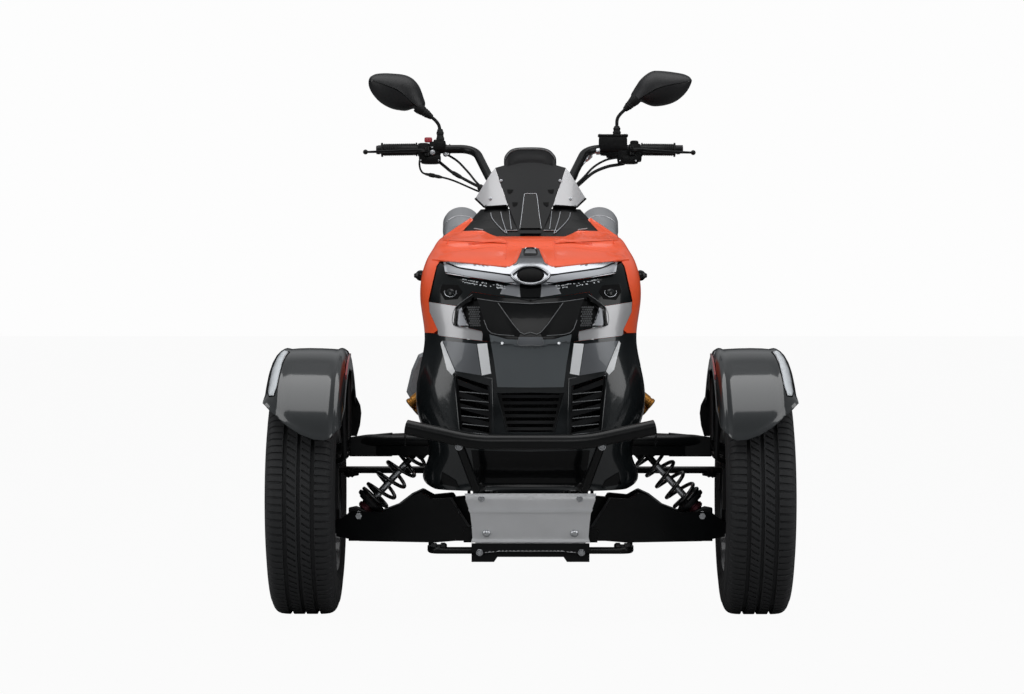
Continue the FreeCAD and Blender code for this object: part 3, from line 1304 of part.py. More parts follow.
def grille():
    """Bars across the middle opening, drooping slats in both louvres and the two mesh plates."""
    deep = mm.slat_depth
    behind = nose_solid(-mm.panel_wall - mm.seat_gap)
    band = behind.cut(nose_solid(-mm.panel_wall - mm.seat_gap - deep))
    right_low, right_high = GRILLE_SHARES[2], GRILLE_SHARES[1]
    middle = [(-right_low[0], right_low[1]), right_low, right_high, (-right_high[0], right_high[1])]
    high_out, high_in, low_in, low_out = LOUVRE_SHARES
    louvre = [low_in, low_out, high_out, high_in]
    groups = []
    for corners, count, droop in ((middle, int(mm.grille_bars), 0), (louvre, int(mm.louvre_slats), 0.05)):
        outlines = slats(corners, count, 0.24, droop)
        for along in (0.03, 0.97):
            outlines.append([blend_share(corners, along - 0.03, 0.02),
                             blend_share(corners, along + 0.03, 0.02),
                             blend_share(corners, along + 0.03, 0.98),
                             blend_share(corners, along - 0.03, 0.98)])
        bars = [front_prism(outline) for outline in outlines]
        groups.append(bars[0].fuse(bars[1:]).common(band))
    plate_skin = behind.cut(nose_solid(-mm.panel_wall * 1.6 - mm.seat_gap))
    centre = [sum(point[axis] for point in MESH_SHARES) / len(MESH_SHARES) for axis in (0, 1)]
    wider = [tuple(c + (p - c) * 1.15 for c, p in zip(centre, point)) for point in MESH_SHARES]
    plate = plate_skin.common(front_prism(wider))
    solids = [groups[0], groups[1], mirrored(groups[1]), plate, mirrored(plate)]
    return group("grille_pieces", [shape(f"grille_piece_{number}", solid)
                                   for number, solid in enumerate(solids)])


part("grille", grille())


# Bumper, skid plate and radiator

def bumper():
    """A bent tube across the nose, with two struts down to the skid plate."""
    y = front_y - mm.front_reach + mm.bumper_tube / 2
    half = mm.bumper_half
    line = [V(-half, y + mm.bumper_sweep, mm.bumper_height + mm.bumper_rise),
            V(-half * 0.45, y, mm.bumper_height), V(half * 0.45, y, mm.bumper_height),
            V(half, y + mm.bumper_sweep, mm.bumper_height + mm.bumper_rise)]
    pieces = [tube("bumper_bar", "bumper_tube", line, half)]
    for sign in (-1, 1):
        top = V(sign * half * 0.58, y + mm.bumper_tube * 0.3, mm.bumper_height)
        foot, back = bumper_stay(sign)
        pieces.append(rod(f"bumper_strut_{sign + 1}", "bumper_tube * 0.6", top, foot))
        pieces.append(rod(f"bumper_stay_{sign + 1}", "bumper_tube * 0.55", foot, back))
    return fuse("bumper_solid", pieces)


part("bumper", bumper())


def skid_plate():
    """A bent plate under the nose: a steep face, a lower lip and a level floor."""
    y = front_y - mm.nose_reach - mm.skid_plate_wall
    half = mm.skid_half
    wall = mm.skid_plate_wall
    top, low = mm.skid_top - mm.bumper_tube * 0.45, mm.skid_low
    slope = (top - low) * 0.55
    waist = V(half * 0.915, y + slope * 0.4, top - (top - low) * 0.40)
    rim_half, low_half = V(half, y, top), V(half * 0.895, y + slope, low)
    face = prism([flipped(rim_half), rim_half, waist, low_half, flipped(low_half), flipped(waist)],
                 V(0, wall, 0))
    lip_low = low - (top - low) * 0.35
    lip = prism([V(-half * 0.88, y + slope, low), V(half * 0.88, y + slope, low),
                 V(half * 0.78, y + slope, lip_low), V(half * 0.45, y + slope, lip_low + wall),
                 V(-half * 0.45, y + slope, lip_low + wall), V(-half * 0.78, y + slope, lip_low)],
                V(0, wall * 2, 0))
    floor_top = mm.subframe_low - mm.subframe_tube / 2 - mm.seat_gap
    floor = Part.makeBox(half * 0.9, front_y - mm.subframe_front + mm.subframe_tube - y - slope, wall,
                         V(-half * 0.45, y + slope, floor_top - wall))
    return shape("skid_plate_solid", face.fuse([lip, floor]))


def visor(proud, low, high):
    """The bowed shield surface as a wall between two heights, grown forward by proud."""
    foot_y = front_y + mm.screen_front
    rise = mm.screen_top - mm.screen_low
    half = mm.wing_half * 1.1
    rows = []
    for height in (low, high):
        y = foot_y + (mm.screen_back - mm.screen_front) * (height - mm.screen_low) / rise
        front, back = y - proud, y + mm.screen_wall
        bow = half * mm.screen_bow_share
        outer = Part.Arc(V(-half, front + bow, height), V(0, front, height), V(half, front + bow, height))
        inner = Part.Arc(V(half, back + bow, height), V(0, back, height), V(-half, back + bow, height))
        rows.append(Part.Wire([
            outer.toShape(),
            Part.LineSegment(V(half, front + bow, height), V(half, back + bow, height)).toShape(),
            inner.toShape(),
            Part.LineSegment(V(-half, back + bow, height), V(-half, front + bow, height)).toShape(),
        ]))
    return loft(rows, True)


def visor_piece(outline, proud):
    """The part of the shield inside a front outline in shares of its half width and height."""
    low, high = mm.screen_low - mm.overrun, mm.screen_top + mm.overrun
    rise = mm.screen_top - mm.screen_low
    start = front_y - mm.nose_reach
    points = [V(x * mm.wing_half, start, mm.screen_low + z * rise) for x, z in outline]
    return visor(proud, low, high).common(prism(points, V(0, mm.nose_length * 1.5, 0)))


def dash_solid(grow):
    """The black deck that closes the nose under the windscreen, as one solid."""
    inset = -mm.panel_wall - mm.seat_gap + grow
    plug = nose_solid(-mm.panel_wall - mm.seat_gap).common(
        Part.makeBox(4 * mm.nose_half_width, 2 * mm.nose_length, mm.nose_height,
                     V(-2 * mm.nose_half_width, front_y - mm.nose_reach - mm.nose_length / 2,
                       mm.nose_height * 0.970)))
    sections = [nose_section(*NOSE_SHARES[-1], inset)]
    for height, front, half in ((1.022, 0.655, 0.70), (1.045, 0.70, 0.56), (mm.dash_top_share, 0.75, 0.47)):
        sections.append(nose_section(height, front, half, front + (1 - front) * 0.5, inset))
    return plug.fuse(loft(sections, True))


part("skid_plate", skid_plate())
part("radiator", box("radiator_core", ("radiator_width", "radiator_depth", "radiator_height"),
                     ("-radiator_width / 2",
                      f"{FRONT_Y} - subframe_front - radiator_depth - seat_gap", "radiator_low")))


# Cockpit

def cockpit():
    """The dark screen with its raised duct, and the two pale wings beside it."""
    screen = visor_piece(full_outline(SCREEN_SHARES), 0).fuse(
        visor_piece(full_outline(DUCT_SHARES), mm.duct_proud))
    part("windscreen", shape("windscreen_shell", screen.cut(dash_solid(mm.seat_gap))))
    wing = visor_piece(WING_SHARES, 0)
    part("screen_wings", group("screen_wing_pair", [shape("screen_wing_left", wing),
                                                    shape("screen_wing_right", mirrored(wing))]))


cockpit()


def dash_panel():
    return shape("dash_panel_solid", dash_solid(0))


def instrument():
    """The instrument on two bent stalks that stand on the dash."""
    wide, tall, deep = mm.instrument_width / 2, mm.instrument_height, mm.instrument_depth
    y = front_y + mm.instrument_back
    z = mm.instrument_up
    outline = [V(-wide, y, z), V(wide, y, z), V(wide * 0.86, y, z + tall * 0.55), V(wide * 0.50, y, z + tall),
               V(-wide * 0.50, y, z + tall), V(-wide * 0.86, y, z + tall * 0.55)]
    body = prism(outline, V(0, deep, 0))
    foot_y = front_y - mm.nose_reach + mm.nose_length * 0.93
    foot_z = mm.nose_height * mm.dash_top_share + mm.seat_gap
    stalks = []
    for sign in (-1, 1):
        foot = V(sign * wide * 0.75, foot_y, foot_z)
        head = V(sign * wide * 0.75, y + deep / 2, z + mm.seat_gap)
        bend = foot + V(0, 0, mm.mirror_stem * 3)
        stalks.append(swept([foot, bend, head], mm.mirror_stem, mm.mirror_stem * 2))
    return shape("instrument_solid", body.fuse(stalks))


FAIRING_SHARES = [
    (0.680, 0.955, 0.735, 1.05), (0.750, 0.944, 0.800, 1.12), (0.830, 0.975, 0.860, 1.15),
    (0.920, 0.945, 0.920, 1.12), (0.985, 0.840, 0.960, 1.07),
]


def fairing_space(grow):
    """The room between the side fairings, from the nose back to the tank, grown or shrunk."""
    front = front_y - mm.nose_reach + mm.nose_length + mm.seam_gap
    back = front_y + mm.fairing_back
    sections = []
    for share in (0, 0.35, 0.7, 1):
        y = front + (back - front) * share
        blend = share * share * (3 - 2 * share)
        side = []
        for front_up_share, front_half, back_up, back_half in FAIRING_SHARES:
            x = front_half * mm.nose_half_width * (1 - blend) + back_half * mm.tank_half * blend
            z = front_up_share * mm.nose_height * (1 - share) + back_up * mm.tank_height * share
            side.append(V(x + grow, y, z))
        left, right = Part.BSplineCurve(), Part.BSplineCurve()
        left.interpolate(side)
        right.interpolate([flipped(point) for point in reversed(side)])
        sections.append(Part.Wire([
            left.toShape(), Part.LineSegment(side[-1], flipped(side[-1])).toShape(), right.toShape(),
            Part.LineSegment(flipped(side[0]), side[0]).toShape(),
        ]))
    return loft(sections)


def side_fairings():
    """Thin side covers between the nose and the tank."""
    return shape("side_fairing_shells", fairing_space(0).cut(fairing_space(-mm.panel_wall)))


def column_cover():
    """The sloping deck between the side fairings, on two posts over a cross tube of the frame."""
    front = front_y - mm.nose_reach + mm.nose_length + mm.seam_gap
    back = front_y + mm.tank_front + mm.head_tube_diameter * 0.5
    front_up = mm.nose_height * 0.965
    back_up = mm.tank_height * 0.985
    wall = mm.panel_wall
    wide = mm.nose_half_width * 2
    plate = prism([V(-wide, front, front_up), V(-wide, back, back_up), V(-wide, back, back_up - wall),
                   V(-wide, front, front_up - wall)], V(2 * wide, 0, 0))
    low = column_point(mm.head_tube_start)
    high = column_point(mm.column_length)
    opening = Part.makeCylinder(mm.head_tube_diameter / 2 + mm.running_gap, (high - low).Length,
                                low, high - low)
    deck = plate.common(fairing_space(-wall - mm.seat_gap)).cut(opening)
    post_y = upper_rail()[1].y
    post_low = upper_rail()[1].z + mm.frame_tube * 0.5 + mm.seat_gap
    post_high = front_up + (back_up - front_up) * (post_y - front) / (back - front) - wall * 0.5
    post_out = mm.frame_half * 0.4
    posts = [Part.makeBox(wall * 4, wall * 2, post_high - post_low,
                          V(sign * post_out - wall * 2, post_y - wall, post_low))
             for sign in (-1, 1)]
    return shape("column_cover_solid", deck.fuse(posts))


part("instrument", instrument())
part("side_fairings", side_fairings())
part("dash_panel", group("dash_set", [dash_panel(), column_cover()]))


# Tank, seat and tail

def rounded(y, half, low, high, corner):
    """A rounded section across the machine at one place along it."""
    lean = corner * (1 - math.sqrt(0.5))
    edges = []
    corners = [(half, high, 1, 1), (-half, high, -1, 1), (-half, low, -1, -1), (half, low, 1, -1)]
    for index, (x, z, right, up) in enumerate(corners):
        beside = V(x, y, z - up * corner)
        above = V(x - right * corner, y, z)
        middle = V(x - right * lean, y, z - up * lean)
        first, last = (beside, above) if index % 2 == 0 else (above, beside)
        edges.append((first, middle, last))
    outline = []
    for index, (first, middle, last) in enumerate(edges):
        outline.append(Part.Arc(first, middle, last).toShape())
        outline.append(Part.LineSegment(last, edges[(index + 1) % 4][0]).toShape())
    return Part.Wire(outline)


def tank_cover():
    start = front_y + mm.tank_front
    rows = []
    low = mm.seat_height - mm.seat_pad
    for share, half, high in ((0, 0.62, 0.95), (0.35, 1.0, 1.0), (0.75, 0.92, 0.98), (1.0, 0.66, 0.86)):
        rows.append(rounded(start + mm.tank_length * share, mm.tank_half * half, low,
                            mm.tank_height * high, mm.tank_half * 0.22))
    return shape("tank_cover_solid", loft(rows))


part("tank_cover", tank_cover())


def seat():
    start = front_y + mm.tank_front + mm.tank_length + mm.running_gap
    low = mm.seat_height - mm.seat_pad
    rows = []
    for share, half in ((0, 0.62), (0.45, 0.95), (1.0, 1.0)):
        rows.append(rounded(start + mm.seat_length * share, mm.seat_half * half, low,
                            mm.seat_height, mm.seat_pad * 0.3))
    rider = shape("rider_pad", loft(rows))
    start += mm.seat_length + mm.running_gap
    low = mm.pillion_height - mm.pillion_pad
    rows = []
    for share, half in ((0, 1.0), (0.6, 0.95), (1.0, 0.75)):
        rows.append(rounded(start + mm.pillion_length * share, mm.pillion_half * half, low,
                            mm.pillion_height, mm.pillion_pad * 0.3))
    return group("seat_pads", [rider, shape("pillion_pad_solid", loft(rows))])


def tail_end():
    """Rear end of the tail, in front of its lamp."""
    return rear_y + mm.rear_reach - mm.tail_lamp_depth - mm.seat_gap


def tail_solid(grow):
    """The outer form of the tail, grown or shrunk by a wall."""
    start = front_y + mm.tank_front + mm.tank_length + mm.seat_length + 2 * mm.running_gap
    top = mm.pillion_height - mm.pillion_pad - mm.seat_gap + min(grow, 0)
    rows = []
    for share, half, low in ((0, 1.0, 0.0), (0.32, 0.93, 0.15), (0.7, 0.78, 0.5), (1.0, 0.52, 0.78)):
        z = mm.tail_low + (top - mm.tail_low) * low
        y = start + (tail_end() - start) * share
        if grow < 0:
            z -= mm.overrun
            y += (-mm.overrun, 0, 0, grow)[len(rows)]
        rows.append(rounded(y, mm.tail_half * half + grow, z, top, (top - z) * 0.2))
    return loft(rows)


part("seat", seat())


def tail():
    return shape("tail_shell", tail_solid(0).cut(tail_solid(-mm.tail_wall)))


def tail_lamp():
    """A wedge lamp on the end of the tail."""
    y = tail_end() + mm.seat_gap
    high = mm.pillion_height - mm.pillion_pad - mm.tail_wall
    wide, tall, deep = mm.tail_lamp_width / 2, mm.tail_lamp_height, mm.tail_lamp_depth
    face = [V(-wide, y, high), V(wide, y, high), V(wide * 0.86, y, high - tall),
            V(-wide * 0.86, y, high - tall)]
    centre = high - tall / 2
    small = [V(point.x * 0.8, y + deep, centre + (point.z - centre) * 0.6) for point in face]
    return shape("tail_lamp_solid", loft([wire(face), wire(small)], True))


def mudguard_turn(radius, half, start_angle, sweep):
    """A solid of round-edged section turned about the rear axle."""
    edge = mm.mudguard_gap * 0.4
    points = [V(-half, 0, radius - edge * 3), V(-half, 0, radius - edge), V(-half + edge, 0, radius),
              V(half - edge, 0, radius), V(half, 0, radius - edge), V(half, 0, radius - edge * 3)]
    face = Part.Face(wire(points))
    face.rotate(V(), V(1, 0, 0), start_angle - 90)
    solid = face.revolve(V(), V(1, 0, 0), sweep)
    solid.translate(V(0, rear_y, rear_up))
    return solid


def rear_mudguard():
    """The rear mudguard with its two hangers and the bare number plate holder behind."""
    wall = mm.mudguard_wall
    outer = rear_up + mm.mudguard_gap + wall
    half = mm.mudguard_width / 2
    sweep = 180 - mm.mudguard_back_angle - mm.mudguard_front_angle
    shell = mudguard_turn(outer, half, mm.mudguard_back_angle, sweep).cut(
        mudguard_turn(outer - wall, half - wall, mm.mudguard_back_angle - 5, sweep + 10)).cut(
        mudguard_turn(outer - wall * 3, half - wall, mm.mudguard_back_angle - 5, sweep + 10))
    cross = V(0, rear_y + mm.rear_reach * 0.35, mm.pillion_height - mm.pillion_pad - mm.frame_half * 0.5)
    cross_low = cross.z - mm.frame_tube * 0.35 - mm.seat_gap
    pieces = []
    for sign in (-1, 1):
        hanger_low = rear_up + outer * 0.9
        pieces.append(Part.makeBox(wall * 2, mm.frame_tube, cross_low - hanger_low,
                                   V(sign * half * 0.4 - wall, cross.y - mm.frame_tube / 2, hanger_low)))
    plate_y = rear_y + outer * math.cos(math.radians(mm.mudguard_back_angle)) + wall
    plate_mid = mm.plate_holder_up
    angle = math.asin((plate_mid - rear_up) / outer)
    arm_start = rear_y + outer * math.cos(angle) - wall * 2
    wide, tall = mm.plate_holder_width, mm.plate_holder_height
    pieces.append(Part.makeBox(wide * 0.3, plate_y - arm_start, wall * 3,
                               V(-wide * 0.15, arm_start, plate_mid - wall * 1.5)))
    pieces.append(Part.makeBox(wide, wall, tall, V(-wide / 2, plate_y, plate_mid - tall / 2)))
    body = shell.fuse(pieces)
    for sign in (-1, 1):
        body = body.cut(Part.makeCylinder(mm.plate_bolt_hole / 2, wall + 2 * mm.overrun,
                                          V(sign * mm.plate_hole_spacing / 2, plate_y - mm.overrun,
                                            plate_mid + tall * 0.35), V(0, 1, 0)))
    inside = half - wall * 2 - mm.mudguard_gap * 0.4
    return shape("rear_mudguard_solid", body.cut(Part.makeCylinder(
        outer - wall, inside * 2, V(-inside, rear_y, rear_up), V(1, 0, 0))))


def indicator(side, sign):
    """A small streamlined indicator on a stalk, just behind the cowl."""
    y = front_y + mm.indicator_back
    centre = V(sign * (mm.indicator_half - mm.indicator_length * 0.5), y, mm.indicator_height)
    rows = []
    for share, size in ((-0.5, 0.45), (-0.1, 1.0), (0.25, 0.85), (0.5, 0.3)):
        half = mm.indicator_thick / 2 * size
        at = centre + V(sign * mm.indicator_length * share, 0, 0)
        circle = Part.makeCircle(half, at, V(sign, 0, 0))
        rows.append(Part.Wire(circle))
    body = loft(rows)
    return shape(f"indicator_{side}", body.cut(fairing_space(mm.seat_gap)))


part("tail_fairing", tail())
part("tail_lamp", tail_lamp())
part("indicators", group("indicator_pair", both(indicator)))
part("rear_mudguard", rear_mudguard())


# Engine, exhaust and rear end

def engine():
    """Crankcase, finned cylinder with its head, clutch and alternator covers, and feet."""
    start = f"{FRONT_Y} + engine_front"
    block_y = f"{start} + engine_length * 0.15"
    top = "engine_low + engine_height"
    pieces = [
        box("crankcase", ("engine_half * 2", "engine_length", "engine_height"),
            ("-engine_half", start, "engine_low")),
        box("cylinder_block", ("cylinder_bore", "cylinder_bore", "cylinder_rise"),
            ("-cylinder_bore / 2", block_y, top)),
        box("cylinder_head", ("cylinder_bore * 1.1", "cylinder_bore * 1.2", "cylinder_rise * 0.24"),
            ("-cylinder_bore * 0.55", f"{block_y} - cylinder_bore * 0.1", f"{top} + cylinder_rise * 0.72")),
        cylinder("clutch_cover_disc", "clutch_cover", "clutch_depth + engine_half",
                 ("-engine_half - clutch_depth", f"{start} + engine_length * 0.6",
                  "engine_low + engine_height / 2"), "X"),
        cylinder("alternator_cover_disc", "clutch_cover * 0.8", "clutch_depth * 0.8 + engine_half",
                 ("0", f"{start} + engine_length * 0.4", "engine_low + engine_height / 2"), "X"),
        cylinder("oil_filter", "clutch_cover * 0.45", "clutch_depth * 2",
                 ("engine_half * 0.4", f"{start} - clutch_depth * 1.5",
                  "engine_low + engine_height * 0.3"), "Y"),
    ]
    for number in range(int(mm.cylinder_fins)):
        pieces.append(box(f"fin_{number}", ("cylinder_bore * 1.28", "cylinder_bore * 1.28", "fin_thick"),
                          ("-cylinder_bore * 0.64", f"{block_y} - cylinder_bore * 0.14",
                           f"{top} + cylinder_rise * (0.08 + 0.62 * {number} / cylinder_fins)")))
    for sign in (-1, 1):
        for share in (0.12, 0.78):
            foot = box(f"engine_foot_{sign + 1}_{share}",
                       ("frame_tube * 1.4", "frame_tube", "engine_low - frame_low"),
                       (f"{sign} * (frame_half - frame_tube * 0.4) - frame_tube * 0.7",
                        f"{start} + engine_length * {share}", "frame_low + frame_tube * 0.47 + seat_gap"))
            pieces.append(foot)
    return fuse("engine_solid", pieces)


def exhaust_pipe(side, sign):
    """A pipe from the cylinder, down past the crankcase and back up into a silencer."""
    angle = math.radians(mm.silencer_angle)
    along = V(0, math.cos(angle), math.sin(angle))
    end = V(mm.silencer_half, rear_y + mm.silencer_tip_back, mm.silencer_top) - along * (
        mm.silencer_length + mm.seat_gap)
    size = mm.pipe_diameter
    block_y = front_y + mm.engine_front + mm.engine_length * 0.15 - mm.cylinder_bore * 0.14
    port = V(size * 0.75, block_y - mm.seat_gap, mm.engine_low + mm.engine_height + mm.cylinder_rise * 0.35)
    out = mm.frame_half + mm.frame_tube * 0.5 + size * 0.5 + mm.running_gap
    level = mm.engine_low + mm.engine_height
    points = [port, port + V(0, -size * 1.8, 0), V(out, block_y - size * 2.4, level),
              V(out, block_y + mm.engine_length, level + size * 0.3), end - along * (size * 3), end]
    body = swept(points, size, size * 2)
    return shape(f"exhaust_pipe_{side}", body if sign > 0 else mirrored(body))


def air_box():
    """The moulded air box outside the frame on the right, with its bracket to the upper rail."""
    deep = mm.air_box_depth
    y = front_y + mm.air_box_back
    low, high = mm.air_box_low, mm.air_box_high
    tall = high - low
    inner, outer = -(mm.frame_half + mm.frame_tube * 1.4), -mm.air_box_half
    span = outer - inner
    outline_shares = [(0, 0.10), (0, 1.0), (0.52, 1.0), (0.77, 0.88), (0.90, 0.60), (1.0, 0.20),
                      (0.88, 0), (0.15, 0)]
    rows = []
    for depth_share, size_share in ((0, 0.86), (0.2, 1.0), (1.0, 0.94)):
        middle = V(inner + span * 0.5, y + deep * depth_share, low + tall * 0.5)
        rows.append(wire([middle + V(span * (x - 0.5) * size_share, 0, tall * (z - 0.5) * size_share)
                          for x, z in outline_shares]))
    rail = upper_rail()
    size = mm.frame_tube
    arm = Part.makeBox(-inner + span * -0.1, size, size * 0.4,
                       V(inner + span * 0.1, y + deep / 2 - size / 2, rail[1].z - size * 0.2))
    arm = arm.cut(swept([flipped(point) for point in rail[1:3]], size + 2 * mm.seat_gap, size))
    arm = min(arm.Solids, key=lambda solid: solid.CenterOfMass.x)
    return shape("air_box_solid", loft(rows, True).fuse(arm))


def footpeg(side, sign):
    """A footpeg on a bracket outside the lower rail."""
    inner = mm.frame_half + mm.frame_tube * 0.47 + mm.seat_gap
    wall = mm.panel_wall * 2
    y = front_y + mm.peg_back
    plate = prism([V(inner, y - mm.frame_tube, mm.frame_low - mm.frame_tube * 0.4),
                   V(inner, y + mm.frame_tube, mm.frame_low - mm.frame_tube * 0.4),
                   V(inner, y + mm.frame_tube * 0.5, mm.peg_height + mm.peg_diameter * 0.7),
                   V(inner, y - mm.frame_tube * 0.5, mm.peg_height + mm.peg_diameter * 0.7)], V(wall, 0, 0))
    start = V(inner + wall * 0.5, y, mm.peg_height)
    peg = Part.makeCylinder(mm.peg_diameter / 2, mm.peg_length, start, V(1, 0, 0))
    collar = Part.makeCylinder(mm.peg_diameter * 0.7, wall * 2, start, V(1, 0, 0))
    knob = Part.makeSphere(mm.peg_diameter * 0.55, start + V(mm.peg_length, 0, 0))
    pedal_z = mm.peg_height + mm.peg_diameter * 0.2
    pedal = swept([V(inner + wall * 1.5, y - mm.frame_tube * 0.3, pedal_z),
                   V(inner + wall * 4, y - mm.peg_length, pedal_z),
                   V(inner + wall * 4, y - mm.peg_length * 1.7, pedal_z + mm.peg_diameter * 0.6)],
                  mm.lever_thick, mm.peg_diameter)
    pad = Part.makeCylinder(mm.lever_thick, mm.peg_length * 0.45,
                            V(inner + wall * 3, y - mm.peg_length * 1.7, pedal_z + mm.peg_diameter * 0.6),
                            V(1, 0, 0))
    body = plate.fuse([peg, collar, knob, pedal, pad])
    return shape(f"footpeg_{side}", body if sign > 0 else mirrored(body))


part("engine", engine())
part("footpegs", group("footpeg_pair", both(footpeg)))
part("air_box", air_box())


def silencer(side, sign):
    """A silencer with a bored tip and a lug towards the tail."""
    tip = V(sign * mm.silencer_half, rear_y + mm.silencer_tip_back, mm.silencer_top)
    angle = math.radians(mm.silencer_angle)
    along = V(0, math.cos(angle), math.sin(angle))
    start = tip - along * mm.silencer_length
    size = mm.silencer_diameter
    cone = size * 0.35
    body = Part.makeCone(mm.pipe_diameter / 2, size / 2, cone, start, along).fuse([
        Part.makeCylinder(size / 2, mm.silencer_length - cone * 1.4, start + along * cone, along),
        Part.makeCone(size / 2, size * 0.42, cone * 0.4, tip - along * (cone * 0.4), along)])
    bore = Part.makeCylinder(size * 0.3, mm.silencer_length * 0.2,
                             tip - along * mm.silencer_length * 0.18, along)
    lug = Part.makeBox(mm.silencer_half, size * 0.5, size * 0.3,
                       V(min(0, sign * mm.silencer_half), rear_y - size * 1.1,
                         mm.pillion_height - mm.pillion_pad - size * 0.35))
    lug = lug.cut(tail_solid(mm.seat_gap))
    lug = max(lug.Solids, key=lambda solid: solid.CenterOfMass.x * sign)
    return shape(f"silencer_{side}", body.fuse(lug).cut(bore))


part("exhaust", group("exhaust_set", both(exhaust_pipe) + both(silencer)))


def swingarm():
    """Two boxed legs from the pivot to the rear axle, with shock ears and the rear caliper."""
    pivot_y = rear_y - mm.swing_pivot_ahead
    depth = mm.swing_leg_depth
    pieces = []
    for sign in (-1, 1):
        x = sign * mm.swing_half - mm.swing_leg_width / 2
        points = [V(x, pivot_y + mm.frame_tube, mm.swing_pivot_up - depth * 0.4),
                  V(x, rear_y + depth * 0.7, rear_up - depth * 0.35),
                  V(x, rear_y + depth * 0.7, rear_up + depth * 0.35),
                  V(x, rear_y - depth * 0.7, rear_up + depth * 0.42),
                  V(x, pivot_y + mm.frame_tube, mm.swing_pivot_up + depth * 0.6)]
        pieces.append(prism(points, V(mm.swing_leg_width, 0, 0)))
        pieces.append(rear_shock_lug(sign, 0, mm.swing_pivot_up))
    cross_y = pivot_y + mm.frame_tube + depth * 0.5
    for size, y, up in ((depth * 0.8, cross_y, mm.swing_pivot_up), (mm.rear_axle_diameter, rear_y, rear_up)):
        pieces.append(Part.makeCylinder(size / 2, 2 * mm.swing_half, V(-mm.swing_half, y, up), V(1, 0, 0)))
    disc_x = -mm.rear_tyre_width / 2 - mm.disc_thickness * 2.5
    width = (mm.swing_half - mm.swing_leg_width * 0.4 + disc_x) * 2
    pieces.append(caliper_block(V(disc_x, rear_y, rear_up), mm.rear_disc_diameter / 2,
                                V(width, mm.caliper_height, mm.caliper_length * 0.8)))
    return shape("swingarm_solid", pieces[0].fuse(pieces[1:]))


def final_drive():
    """The closed chain case outside the left swingarm leg."""
    wall = mm.swing_leg_width * 0.6
    x = mm.frame_half + mm.frame_tube / 2 + mm.seat_gap
    front = V(x, rear_y - mm.swing_pivot_ahead - mm.chain_case_height * 0.9, mm.swing_pivot_up)
    back = V(x, rear_y, rear_up)
    half = V(0, 0, mm.chain_case_height / 2)
    middle = prism([front - half, back - half, back + half, front + half], V(wall, 0, 0))
    ends = [Part.makeCylinder(mm.chain_case_height / 2, wall, centre, V(1, 0, 0)) for centre in (front, back)]
    return shape("final_drive_solid", middle.fuse(ends))


part("swingarm", swingarm())
part("final_drive", final_drive())
rear_eyes = rear_shock_line()
rear_unit = coil_over("rear_shock", *rear_eyes, V(1, 0, 0), mm.shock_body, mm.rear_spring_diameter)
rear_coil = spring_between("rear_spring", *rear_eyes, mm.rear_spring_diameter, mm.spring_turns)
part("shocks", group("shock_set", both(front_shock) + [rear_unit]))
part("springs", group("spring_set", both(front_spring) + [rear_coil]))

doc.recompute()
failed = [item.Label for item in doc.Objects if {"Invalid", "Error"} & set(item.State)]
if failed:
    raise RuntimeError(f"these failed: {failed}")
os.makedirs("parts", exist_ok=True)
for item in PARTS:
    solid = item.Shape
    if solid.isNull() or not solid.isValid() or not solid.Solids:
        raise RuntimeError(f"{item.Label} has no valid shape")
    solid.exportStep(f"parts/{item.Label}.step")
print(len(PARTS), "parts written")
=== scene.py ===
# %% [markdown]
# # Three-wheeled motorcycle: studio scene
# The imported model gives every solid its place, in metres. This script dresses it: finishes for every solid,
# tyres with tread, facets and lamps on the nose, a padded seat, and the small fittings that a real machine shows.
# The camera stands where the photograph was taken.

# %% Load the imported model
import json
import math
import random

import bpy
import bmesh
from mathutils import Matrix, Vector
from mathutils.bvhtree import BVHTree


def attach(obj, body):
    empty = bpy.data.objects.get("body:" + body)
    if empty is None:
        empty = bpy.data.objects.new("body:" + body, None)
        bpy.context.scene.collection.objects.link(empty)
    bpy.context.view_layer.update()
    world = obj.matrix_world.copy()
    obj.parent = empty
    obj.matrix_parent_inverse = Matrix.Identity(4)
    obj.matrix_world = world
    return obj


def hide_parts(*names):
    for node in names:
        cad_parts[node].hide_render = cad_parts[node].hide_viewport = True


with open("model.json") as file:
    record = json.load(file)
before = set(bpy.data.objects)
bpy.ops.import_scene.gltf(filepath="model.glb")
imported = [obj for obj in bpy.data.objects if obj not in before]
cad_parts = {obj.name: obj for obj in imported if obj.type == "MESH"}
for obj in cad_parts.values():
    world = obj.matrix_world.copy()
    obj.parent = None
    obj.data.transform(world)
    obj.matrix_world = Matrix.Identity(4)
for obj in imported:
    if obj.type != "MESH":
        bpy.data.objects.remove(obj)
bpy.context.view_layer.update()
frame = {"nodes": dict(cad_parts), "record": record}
nodes = frame["nodes"]
scene = bpy.context.scene
print("solids:", len(nodes))

# %% [markdown]
# ## Camera
# The horizon lies at row 285 of the 694 rows and the middle of the machine at column 530.5, which fixes the tilt
# and the small turn of the camera. The focal length is 3000 px, about 105 mm on a 36 mm sensor.

# %% Camera
PHOTO_WIDE, PHOTO_TALL = 1024, 694
FOCAL_PX, HORIZON_PX, MIDDLE_PX = 3000.0, 285.0, 530.5
EYE = Vector((0, -8.320, 0.8225))

camera_data = bpy.data.cameras.new("camera")
camera_data.sensor_width = 36.0
camera_data.lens = FOCAL_PX / PHOTO_WIDE * 36.0
camera = bpy.data.objects.new("camera", camera_data)
scene.collection.objects.link(camera)
tilt = math.atan((PHOTO_TALL / 2 - HORIZON_PX) / FOCAL_PX)
turn = math.atan((MIDDLE_PX - PHOTO_WIDE / 2) / FOCAL_PX)
camera.location = EYE
camera.rotation_euler = (math.pi / 2 - tilt, 0, turn)
scene.camera = camera
print("lens mm", round(camera_data.lens, 1), "tilt", round(math.degrees(tilt), 2))


